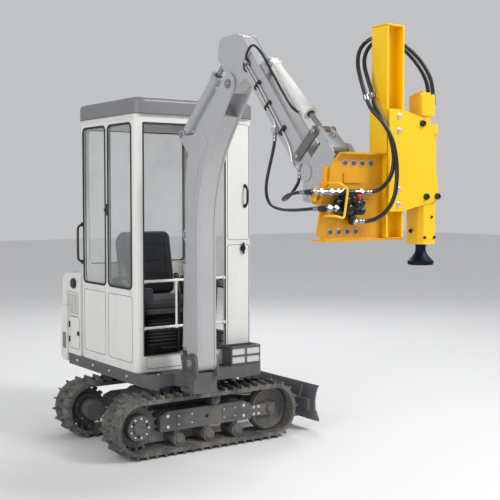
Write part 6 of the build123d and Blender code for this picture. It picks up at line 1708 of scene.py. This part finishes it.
    def front_trim(self) -> None:
        """Loop handle and latch on the tall corner panel."""
        x, y = self.front, 0.400
        bend = (
            (0, 1.625), (0.020, 1.632), (0.030, 1.655), (0.032, 1.695), (0.030, 1.735),
            (0.020, 1.758), (0, 1.765),
        )
        shells = [tube(curve_through([(x + out, y, z) for out, z in bend], 30), 0.0075, 14)]
        foot = [(14, 0), (14, 3), (9, 6)]
        shells += spun(foot, Face.FRONT.spots(x, [(y, 1.625), (y, 1.765)]))
        latch = [(21, 0), (22, 3), (22, 9), (15, 12)]
        shells.append(lathe((x, 0.380, 1.330), AHEAD, latch, 28))
        shells.append(block((x + 0.010, 0.372, 1.290), (x + 0.018, 0.388, 1.370)))
        self.put("corner_panel_fittings", shells, "black_steel")

    def guard_clamps(self) -> None:
        """Sockets at the ends of the guard's bars, sleeves in their middle, bolts beside them."""
        socket = [(17, 0), (17, 10), (12, 14), (9.3, 16)]
        sleeve = [(9.5, 0), (12, 3), (12, 21), (9.5, 24)]
        bar_x, heights, shells = 0.279, (0.820, 1.130), []
        for z in heights:
            shells += spun(socket, [((bar_x, -0.402, z), LEFT), ((bar_x, 0.235, z), RIGHT)])
            shells.append(lathe((bar_x, -0.150, z - 0.012), UP, sleeve, 20))
        self.put("guard_clamps", shells, "cab_white")
        places = [(y, z) for z in heights for y in (-0.430, 0.262)]
        self.put("guard_bolts", bolts(6.2, Face.FRONT.spots(self.front, places)), "zinc")

    def door(self) -> None:
        """Seals of the door's panes, its lock, its handle's plate, hinge caps and leaf bolts."""
        level, (hinge_x, hinge_y) = self.door_face, self.hinge
        panes = (
            self.window(-0.354, 0.104, 1.080, 2.122, 0.030),
            self.window(-0.354, 0.104, 0.684, 1.020, 0.030),
        )
        shells = [strip(Face.LEFT, level, pane, SEAL) for pane in panes]
        inner = ((5, -2.8), (5, 0.4), (-5, 0.4), (-5, -2.8))
        shells += [strip(Face.RIGHT, 0.4606, pane, inner) for pane in panes]
        self.put("door_seals", shells, "seal", "door")
        lock = [(13, 0), (14, 2), (14, 4), (9, 5.5), (6, 4)]
        pieces = [
            lathe((0.128, level, 0.955), LEFT, lock, 28),
            sheet(Face.LEFT, level, round_box((0.128, 1.050), 0.036, 0.136, 0.012), 0.0022, 0.001),
            block((0.112, 0.4555, 1.006), (0.146, 0.4604, 1.094), 0.0015),
        ]
        self.put("door_lock", pieces, "valve", "door")
        leaf_x, leaf_y, out = -0.347, 0.5046, (0.36, 0.93, 0.0)
        places = [((leaf_x, leaf_y, z + dz), out) for z in self.hinge_z for dz in (-0.022, 0.022)]
        self.put("hinge_bolts", bolts(6, places), "zinc", "door")
        cap, half = [(9.5, 0), (9.5, 3), (6, 6)], 0.067
        ends = product(self.hinge_z, (1, -1))
        caps = [((hinge_x, hinge_y, z + way * half), (0, 0, way)) for z, way in ends]
        self.put("hinge_caps", spun(cap, caps, 20), "zinc")


@dataclass(frozen=True)
class Cushion:
    """A stuffed cushion with piping.

    Its edge is a quarter circle up and down; then the outline shrinks to the middle, where the
    height is thick/2 + crown*(1 - s^4), less a valley of exp(-(d/w)^2) at each seam. Each seam is
    the direction that it is counted across (0 along, 1 across) with its place.
    """

    centre: Point
    along: Point
    normal: Point
    length: float
    width: float
    thick: float
    crown: float
    seams: Sequence[tuple[int, float]] = ()
    corner: float = 0.045
    points: int = 120
    piping: float = 0.0038
    seam_depth: float = 0.009
    seam_width: float = 0.007

    def outline(self) -> np.ndarray:
        """Its outline from above, as pairs at even steps."""
        rough = round_box((0, 0), self.length, self.width, self.corner, 8)
        closed = np.vstack([rough, rough[:1]])
        sides = np.linalg.norm(np.diff(closed, axis=0), axis=1)
        gone = np.concatenate([[0], np.cumsum(sides)])
        steps = np.linspace(0, gone[-1], self.points, endpoint=False)
        return np.stack([np.interp(steps, gone, closed[:, k]) for k in range(2)], axis=1)

    def rows(self, outline: np.ndarray) -> list[tuple[np.ndarray, np.ndarray]]:
        """Its rows from the underside's middle to the crown.

        Args:
            outline: its outline from above.

        Returns:
            Pairs and heights of each row.
        """
        r = self.thick / 2
        turn = np.radians((-90, -65, -40, -15, 0, 15, 35, 55, 75, 90))
        level = np.ones(self.points)
        edge = [(grown(outline, -r * (1 - math.cos(a))), r * math.sin(a) * level) for a in turn]
        rows = [(edge[0][0] * 0.05, -r * level)] + edge
        top = grown(outline, -r)
        for s in np.linspace(1, 0.03, 30)[1:]:
            flat, valley = top * s, 0.0
            for k, place in self.seams:
                valley += np.exp(-(((flat[:, k] - place) / self.seam_width) ** 2))
            deep = self.seam_depth * valley * min(1.0, 6 * (1 - s))
            rows.append((flat, (r + self.crown * (1 - s**4)) * level - deep))
        return rows

    def shell(self) -> Shell:
        """The closed cushion and its closed piping, a thin tube along the outline."""
        w = unit(self.normal)
        u = unit(np.array(self.along) - np.dot(self.along, w) * w)
        v, outline = np.cross(w, u), self.outline()
        middle = np.array(self.centre) + outline[:, :1] * u + outline[:, 1:] * v
        grid = np.stack([
            np.array(self.centre) + flat[:, :1] * u + flat[:, 1:] * v + height[:, None] * w
            for flat, height in self.rows(outline)
        ])
        side = unit(np.roll(outline, -1, axis=0) - np.roll(outline, 1, axis=0))
        out = side[:, 1:] * u - side[:, :1] * v
        turn = turns(8)[:, None, None]
        bead = middle[None] + self.piping * (np.cos(turn) * out[None] + np.sin(turn) * w)
        return joined([Shell.grid(grid), Shell.grid(bead, looped=True)])


@dataclass
class Interior(Assembly):
    """What the driver sits on and holds: cushions, seat base, armrests, boots, mat and gauges."""

    DRESSED = {"plastic": "consoles", "black_steel": "travel_levers"}

    floor: float = 0.554
    console_y: float = 0.310
    console_face: float = 0.248
    lean: Point = (-0.188, 0.0, 0.982)
    pod_x: float = 0.196
    pedals: Pair = (-0.070, 0.070)

    def detail(self) -> None:
        """Makes the cab's inside."""
        self.seat()
        self.seat_base()
        self.controls()
        self.gauges()
        self.floor_pieces()

    def seat(self) -> None:
        """Two stitched cushions on a moulded shell."""
        sideways, _, upright = self.lean
        seams = ((1, -0.135), (1, 0.135), (0, -0.060), (0, 0.060))
        bottom = Cushion(
            (-0.205, 0, 0.930), (1, 0, 0.06), (-0.06, 0, 1), 0.350, 0.440, 0.076, 0.022, seams
        )
        seams = ((1, -0.130), (1, 0.130), (0, -0.115), (0, 0.0), (0, 0.115))
        forwards, backwards = (upright, 0.0, -sideways), (-upright, 0, sideways)
        rest = Cushion(
            (-0.417, 0, 1.205), self.lean, forwards, 0.455, 0.420, 0.070, 0.018, seams
        )
        for name, padding in (("seat_cushion", bottom), ("seat_backrest", rest)):
            made = self.put(name, padding.shell(), "cloth")
            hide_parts("seat")
        back = Cushion(
            (-0.468, 0, 1.165), self.lean, backwards, 0.520, 0.410, 0.022, 0.006, corner=0.08
        )
        pan = sheet(Face.TOP, 0.868, round_box((-0.225, 0.0), 0.400, 0.430, 0.050), 0.034, 0.008)
        self.put("seat_shell", [back.shell(), pan], "plastic")

    def seat_base(self) -> None:
        """Bellows over a sprung base with its rails, adjusting bar and recliner knobs."""
        plan = round_box((-0.240, 0.0), 0.300, 0.340, 0.050)
        folds = enumerate(np.linspace(0.655, 0.868, 19))
        rows = [Face.TOP.lift(grown(plan, 0.010 * (k % 2)), 0.0, z) for k, z in folds]
        self.put("seat_bellows", Shell.grid(np.stack(rows)), "seal")
        plate = round_box((-0.240, 0.0), 0.370, 0.390, 0.030)
        base = [sheet(Face.TOP, 0.590, plate, 0.066, 0.008)]
        for y in (-0.150, 0.150):
            base.append(block((-0.440, y - 0.016, self.floor), (-0.040, y + 0.016, 0.590)))
        bar = [
            (-0.03, -0.09, 0.640), (-0.018, -0.09, 0.628), (-0.016, 0, 0.625),
            (-0.018, 0.09, 0.628), (-0.03, 0.09, 0.640),
        ]
        base.append(tube(curve_through(bar, 24), 0.006, 10))
        knob = [(26, 0), (26, 10), (20, 16)]
        base += spun(knob, flanks(0.215, [(-0.405, 0.925)]))
        self.put("seat_base", base, "black_steel")

    def controls(self) -> None:
        """Armrests, and the bellows and buttons of the two sticks."""
        boot = [
            (41, 0), (36, 8), (39, 14), (31, 22), (34, 28), (26, 36), (29, 42), (20, 50), (22, 56),
            (16.5, 66),
        ]
        button = [(14, 0), (13, 4), (6, 7)]
        shells, rests = [], []
        for way in (1, -1):
            y = way * self.console_y
            shells.append(lathe((-0.060, y, 1.0735), (0.11, 0, 1), boot, 32))
            shells.append(lathe((-0.0455, y - way * 0.002, 1.2585), UP, button))
            rests.append(Cushion(
                (-0.262, y, 1.106), (0.982, 0, 0.19), (-0.19, 0, 0.982),
                0.270, 0.096, 0.034, 0.006, corner=0.030,
            ))
        self.put("stick_boots", shells, "seal")
        for name, rest in zip(("armrest_left", "armrest_right"), rests):
            self.put(name, rest.shell(), "cloth")

    def gauges(self) -> None:
        """A blank gauge pod on the right post, the consoles' inner covers, dials and keys."""
        x, shells = self.pod_x, []
        shells.append(block((x, -0.408, 1.000), (0.232, -0.300, 1.078), 0.006))
        screw, cover = [(8, 0), (6, 3)], round_box((-0.215, 0.83), 0.24, 0.32, 0.02)
        for face, level in ((Face.RIGHT, self.console_face), (Face.LEFT, -self.console_face)):
            shells.append(sheet(face, level, cover, 0.003))
            shells += spun(screw, face.spots(level, ((-0.360, 0.68), (-0.360, 0.98))), 14)
        self.put("gauge_pod", shells, "plastic")
        ring = ((16.5, 0), (18.5, 3), (16.5, 5), (14.5, 3))
        dials = [hoop((x, y, 1.045), BEHIND, ring, 28) for y in (-0.380, -0.330)]
        keys = Face.BACK.spots(x, [(y, 1.016) for y in np.linspace(-0.39, -0.318, 5)])
        self.put("gauge_bezels", dials + spun([(4, 0), (4, 3)], keys, 12), "chrome")

    def floor_pieces(self) -> None:
        """Ribbed mat, pedal rubbers and lever knobs."""
        outline = round_box((0.120, 0.0), 0.260, 0.800, 0.015)
        mat = [sheet(Face.TOP, self.floor, outline, 0.004, 0.0015)]
        ribs = np.arange(-0.385, 0.386, 0.022)
        mat += [block((0.000, y, 0.5575), (0.240, y + 0.008, 0.5600), 0.001) for y in ribs]
        for y in self.pedals:
            outline = round_box((0.150, y), 0.100, 0.080, 0.010)
            mat.append(sheet(Face.TOP, 0.600, outline, 0.006, 0.002))
            for x in np.arange(0.108, 0.190, 0.012):
                mat.append(block((x, y - 0.034, 0.6055), (x + 0.005, y + 0.034, 0.609), 0.001))
        self.put("floor_mat", mat, "seal")
        knob = [(9, 0), (17, 6), (20, 18), (19, 30), (13, 40), (5, 43)]
        knobs = spun(knob, [((0.150, y, 1.128), (-0.45, 0, 1)) for y in self.pedals], 28)
        boot = [(16, 0), (20, 6), (16, 14), (18, 20), (12, 32)]
        knobs += spun(boot, Face.TOP.spots(0.594, [(0.166, y) for y in self.pedals]))
        self.put("lever_knobs", knobs, "valve")


# boom, stick and tool linkage


@dataclass(frozen=True)
class Pin:
    """A pin of the arm.

    It has its place, the node that shows its ends, that node's body, how far round it the ends
    are looked for, and its cap's radius in millimetres.
    """

    x: float
    z: float
    node: str
    body: str
    reach: float
    cap: float


@dataclass(frozen=True)
class Ram:
    """A hydraulic cylinder.

    It has its base pin, its rod's eye, its barrel's length, the barrel's and the rod's radius in
    millimetres, the way that its ports face and its finish.
    """

    name: str
    base: Point
    eye: Point
    length: float
    radius: float
    rod: float
    port: Point
    finish: str

    def along(self) -> np.ndarray:
        """The direction from the base to the eye."""
        return unit(np.subtract(self.eye, self.base))


ARM_Y = -0.150
PINS = (
    Pin(0.610, 0.622, "swing_post", "swing_post", 0.030, 26),
    Pin(0.432, 0.655, "swing_post", "swing_post", 0.024, 19),
    Pin(0.462, 1.440, "boom", "boom", 0.024, 19),
    Pin(0.424, 2.092, "boom", "boom", 0.024, 19),
    Pin(1.026, 2.365, "boom", "boom", 0.040, 26),
    Pin(0.930, 2.545, "stick", "stick", 0.024, 19),
    Pin(1.385, 2.452, "stick", "stick", 0.022, 17),
    Pin(1.700, 1.910, "rocker", "rocker", 0.024, 17),
    Pin(1.850, 2.040, "rocker", "rocker", 0.024, 17),
    Pin(1.955, 1.945, "quick_hitch", "driver", 0.030, 19),
    Pin(1.802, 1.820, "quick_hitch", "driver", 0.040, 24),
)
BLADE_RAM = ((0, 0.300, 0.315), (0, 0.792, 0.262), 0.340, 33, 14.6, (0, -0.107, -0.994))
BOOM_RAM = ((0.432, ARM_Y, 0.655), (0.462, ARM_Y, 1.440), 0.590, 37, 16.8, (0.999, 0, -0.038))
ARM_RAM = ((0.424, ARM_Y, 2.092), (0.930, ARM_Y, 2.545), 0.520, 37, 16.8, (0.667, 0, -0.745))
TILT_RAM = ((1.385, ARM_Y, 2.452), (1.850, ARM_Y, 2.040), 0.470, 33, 14.6, (-0.663, 0, -0.748))
RAMS = (
    Ram("blade", *BLADE_RAM, "chassis"),
    Ram("boom", *BOOM_RAM, "boom_grey"),
    Ram("arm", *ARM_RAM, "boom_grey"),
    Ram("tilt", *TILT_RAM, "cab_white"),
)


@dataclass
class Arm(Assembly):
    """Swing post, boom, stick, rams and tool linkage: pin caps, welds, pipes, clamps and plates."""

    DRESSED = {
        "boom_grey": "boom boom_cylinder_barrel arm_cylinder_barrel stick link quick_hitch",
        "cab_white": "tilt_cylinder_barrel",
        "arm_dark": "rocker",
        "chassis": "swing_post",
        "chrome": "boom_cylinder_rod arm_cylinder_rod tilt_cylinder_rod",
    }
    BODY = "stick"

    boom_right: float = -0.220
    boom_left: float = -0.080
    pipe_y: float = -0.0715
    clamp_y: float = -0.0635
    stick_right: float = -0.202
    swing_x: float = 0.500

    def detail(self) -> None:
        """Makes the details of the working arm."""
        for number, pin in enumerate(PINS, 1):
            self.cap_pin(number, pin)
        for ram in RAMS:
            self.trim_ram(ram)
        self.foot()
        self.boom_plates()
        self.boom_pipes()
        self.stick_pipes()
        self.tilt_pipe()
        self.stick_clips()
        self.linkage()

    def ends(self, pin: Pin) -> Pair:
        """How far a pin's node reaches to both sides near the pin.

        Args:
            pin: the pin.

        Returns:
            The lowest and highest y of the node's points within the pin's reach.
        """
        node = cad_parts[pin.node]
        places = np.empty(len(node.data.vertices) * 3)
        node.data.vertices.foreach_get("co", places)
        matrix = np.array(node.matrix_world)
        places = places.reshape(-1, 3) @ matrix[:3, :3].T + matrix[:3, 3]
        far = np.hypot(places[:, 0] - pin.x, places[:, 2] - pin.z)
        near = far < max(pin.reach, far.min() + 0.001)
        return float(places[near, 1].min()), float(places[near, 1].max())

    def cap_pin(self, number: int, pin: Pin) -> None:
        """A turned cap on each end of a pin, with a grease nipple and three small bolts.

        Args:
            number: the pin's number, for its pieces' names.
            pin: the pin.
        """
        r = pin.cap
        cap = [(r, -2), (r, 3), (r * 0.86, 6), (r * 0.45, 6.5), (r * 0.42, 5)]
        nipple = [(4.2, 4), (4.2, 8), (2.2, 9), (3, 11), (1.8, 13)]
        thirds = ((1, 0), (-0.5, 0.866), (-0.5, -0.866))
        reach = 0.68 * r * MM
        around = [(pin.x + reach * a, pin.z + reach * b) for a, b in thirds]
        caps, small = [], []
        for y, face in zip(self.ends(pin), (Face.RIGHT, Face.LEFT)):
            middle = face.spots(y, [(pin.x, pin.z)])
            caps += spun(cap, middle, 32)
            small += spun(nipple, middle, 12)
            seat = y + 0.0055 * face.outwards[1]
            small += bolts(4, face.spots(seat, around), False)
        self.put(f"pin_caps_{number:02d}", caps, "roof", pin.body)
        self.put(f"pin_fittings_{number:02d}", small, "zinc", pin.body)

    def trim_ram(self, ram: Ram) -> None:
        """Wiper and lock rings at the gland, a weld at the base and unions on the ports.

        Args:
            ram: the cylinder.
        """
        base, way, out = np.array(ram.base, float), ram.along(), np.array(ram.port, float)
        r, bar, body = ram.radius, ram.rod, f"{ram.name}_barrel"
        wiper = ((bar + 7, -1), (bar + 6, 4), (bar + 1.2, 6.5), (bar + 1.2, -1))
        lip = hoop(base + way * ram.length, way, wiper, 28)
        self.put(f"{ram.name}_wiper", lip, "seal", body)
        ring = ((r + 6.6, 0), (r + 6.6, 10), (r + 4, 11), (r + 4, -1))
        places = [base + way * (ram.length - back) for back in (0.036, 0.014)]
        rings = [hoop(place, way, ring, 40) for place in places]
        bead = ((r + 3, 0), (r + 3.5, 3), (r - 1, 6), (r - 1, -1))
        rings.append(hoop(base + way * 0.046, way, bead, 40))
        self.put(f"{ram.name}_gland_rings", rings, ram.finish, body)
        ports = [base + way * t + out * (r + 4) * MM for t in (0.068, ram.length - 0.066)]
        nut = [(10, 0), (11.5, 1), (11.5, 6.5), (9.5, 8)]
        shells = spun(nut, [(port, out) for port in ports], 24, HEX)
        self.put(f"{ram.name}_port_nuts", shells, "zinc", body)

    def foot(self) -> None:
        """The swing pin's bearing caps with their bolts, and welds on the post."""
        x, body = self.swing_x, "swing_post"
        cap = [(46, -2), (48, 2), (48, 10), (38, 16), (14, 18), (12, 15)]
        top = lathe((x, ARM_Y, 0.561), UP, cap, 40)
        under = lathe((x, ARM_Y, 0.424), DOWN, scaled(cap, 1, 0.4), 40)
        self.put("swing_pin_caps", [top, under], "roof", body)
        places = Face.TOP.spots(0.5705, circle(0.040, turns(6), (x, ARM_Y)))
        self.put("swing_pin_bolts", bolts(5.2, places, False), "zinc", body)
        rows = (ARM_Y - 0.0915, -0.0595)
        beads = [seam((0.560, y, 0.5625), (0.648, y, 0.5625), 0.0035) for y in rows]
        self.put("swing_post_welds", beads, "chassis", body)

    def boom_plates(self) -> None:
        """Weld beads along the boom's edge plates, and doubler plates with their welds."""
        spans = ((0.5235, ((0.82, 1.33), (1.55, 1.90))), (0.6595, ((0.76, 1.70),)))
        beads = [
            seam((x, y, z0), (x, y, z1), 0.0032)
            for x, heights in spans
            for y in (-0.2075, -0.0925)
            for z0, z1 in heights
        ]
        self.put("boom_welds", beads, "boom_grey", "boom")
        bend = [
            (0.548, 1.780), (0.632, 1.700), (0.700, 1.900), (0.800, 2.020), (0.735, 2.110),
            (0.600, 2.010), (0.548, 1.930),
        ]
        middle = round_box((0.5915, 1.440), 0.104, 0.170, 0.030)
        sides = ((Face.RIGHT, self.boom_right), (Face.LEFT, self.boom_left))
        plates = [sheet(*side, outline, 0.0035) for side in sides for outline in (bend, middle)]
        self.put("boom_doublers", plates, "boom_grey", "boom")
        fillet = ((4, -1), (3, 2.2), (0, 3.5), (-1, 3.5), (-1, -1))
        welds = [strip(*side, middle, fillet) for side in sides]
        self.put("doubler_welds", welds, "boom_grey", "boom")

    def boom_pipes(self) -> None:
        """Two pipes up the boom's left side with a union at each end, and their clamps."""
        route = (
            (0.575, 0.790), (0.575, 1.10), (0.575, 1.45), (0.577, 1.74), (0.602, 1.885),
            (0.680, 2.010), (0.800, 2.128), (0.905, 2.232),
        )
        nut = [(7.5, 0), (8.8, 1), (8.8, 12), (6.8, 18)]
        pipes, clamps = [], []
        for shift in (0.0, 0.022):
            line = [(x + shift, self.pipe_y, z - 0.35 * shift) for x, z in route]
            path = curve_through(line, 90)
            pipes.append(tube(path, 0.0058, 12))
            for end, before in ((0, 1), (-1, -2)):
                way = unit(path[end] - path[before])
                pipes.append(lathe(path[end] - way * 0.016, way, nut, 20, HEX))
        self.put("boom_pipes", pipes, "steel", "boom")
        y = self.clamp_y
        for x, z in ((0.586, 0.90), (0.586, 1.20), (0.586, 1.62), (0.690, 2.005), (0.850, 2.165)):
            low, high = (x - 0.024, y - 0.017, z - 0.010), (x + 0.024, y, z + 0.010)
            clamps.append(block(low, high, 0.004))
            clamps.append(hex_bolt((x, y, z), LEFT, 4.5))
        self.put("pipe_clamps", clamps, "seal", "boom")

    def stick_pipes(self) -> None:
        """Two pipes from the hole at the knuckle to the hose blocks, with a union at each end."""
        y = self.stick_right - 0.0100
        upper = [
            (1.196, -0.176, 2.448), (1.198, -0.200, 2.446), (1.214, y, 2.432), (1.262, y, 2.380),
            (1.360, y, 2.262), (1.440, y, 2.165), (1.486, y - 0.002, 2.118), (1.500, -0.217, 2.090),
            (1.500, -0.217, 2.074),
        ]
        lower = [
            (1.214, -0.176, 2.460), (1.216, -0.200, 2.458), (1.232, y, 2.444), (1.300, y, 2.370),
            (1.420, y, 2.226), (1.540, y, 2.082), (1.615, y, 1.985), (1.643, y, 1.925),
            (1.655, y, 1.880), (1.682, y - 0.002, 1.854), (1.714, -0.217, 1.850),
        ]
        nut = [(8, 0), (10, 1), (10, 14)]
        lines = [curve_through(route, 70) for route in (upper, lower)]
        pipes = [tube(line, 0.0062, 12) for line in lines]
        for line in lines:
            way = unit(line[-1] - line[-3])
            pipes.append(lathe(line[-1] - way * 0.018, way, nut, 24, HEX))
        self.put("stick_pipes", pipes, "zinc")

    def tilt_pipe(self) -> None:
        """The arched pipe to the tilt ram, with a sleeve at each end."""
        arch = curve_through([
            (1.205, -0.180, 2.472), (1.207, -0.210, 2.478), (1.235, -0.226, 2.522),
            (1.310, -0.236, 2.556), (1.400, -0.240, 2.500), (1.490, -0.236, 2.390),
            (1.580, -0.226, 2.270), (1.630, -0.205, 2.190), (1.651, -0.176, 2.156),
            (1.6595, -0.157, 2.1500),
        ], 70)
        self.put("tilt_pipe", tube(arch, 0.0075, 14), "valve")
        sleeve = [(8.5, 0), (10.5, 1), (10.5, 10), (9.5, 12), (10.5, 14), (10.5, 26), (8.5, 28)]
        ends = [(arch[3], arch[6] - arch[3]), (arch[-7], arch[-4] - arch[-7])]
        self.put("tilt_pipe_sleeves", spun(sleeve, ends, 20), "zinc")

    def stick_clips(self) -> None:
        """Clips over the stick's pipes, the grommet they come out of and the hose blocks' bolts."""
        right, clips = self.stick_right, []
        turn, side = np.array((0.64, -0.768)), np.array((0.768, 0.64))
        signs = ((-1, -1), (1, -1), (1, 1), (-1, 1))
        for x, z in ((1.318, 2.330), (1.420, 2.207), (1.560, 2.058)):
            outline = [(x, z) + a * 0.011 * turn + b * 0.030 * side for a, b in signs]
            clips.append(sheet(Face.RIGHT, right, outline, 0.018, 0.003))
            clips.append(hex_bolt((x, right - 0.018, z), RIGHT, 5))
        self.put("stick_clips", clips, "seal")
        section = ((39.5, -1), (38.5, 3), (34.5, 4), (32.5, 2), (32.5, -1))
        ring = hoop((1.205, right - 0.0045, 2.455), RIGHT, section, 40)
        self.put("knuckle_grommet", ring, "seal")
        blocks = ((1.500, 2.060), (1.730, 1.850))
        places = [(x + dx, z) for x, z in blocks for dx in (-0.010, 0.010)]
        self.put("hose_block_bolts", bolts(4.5, Face.RIGHT.spots(-0.232, places)), "zinc")

    def linkage(self) -> None:
        """A lifting eye on the link and bolts on both sides of the hitch."""
        section = ((19, 0), (19, 12), (11, 12), (11, 0))
        eye = hoop((1.9285, ARM_Y - 0.006, 2.0215), LEFT, section, 28)
        self.put("link_eye", eye, "boom_grey", "link")
        low, high = self.ends(Pin(1.900, 1.800, "quick_hitch", "driver", 0.400, 0.0))
        sides = ((low + 0.006, RIGHT), (high - 0.006, LEFT))
        places = ((1.900, 1.800), (1.872, 1.745), (1.930, 1.850))
        shells = bolts(6.5, [((x, y, z), way) for x, z in places for y, way in sides])
        self.put("hitch_bolts", shells, "zinc", "driver")


# the whole machine


ASSEMBLIES = (Hoses, PostDriver, Undercarriage, Blade, UpperFrame, Cab, Interior, Arm)


def main() -> None:
    """Builds the view, the hoses and each sub-assembly in order."""
    logging.basicConfig(level=logging.INFO, format="%(name)s %(message)s")
    Studio().set_up()
    palette = {name: finish.make() for name, (finish, _) in FINISHES.items()}
    for assembly in ASSEMBLIES:
        assembly(palette).build()


if __name__ == "__main__":
    main()
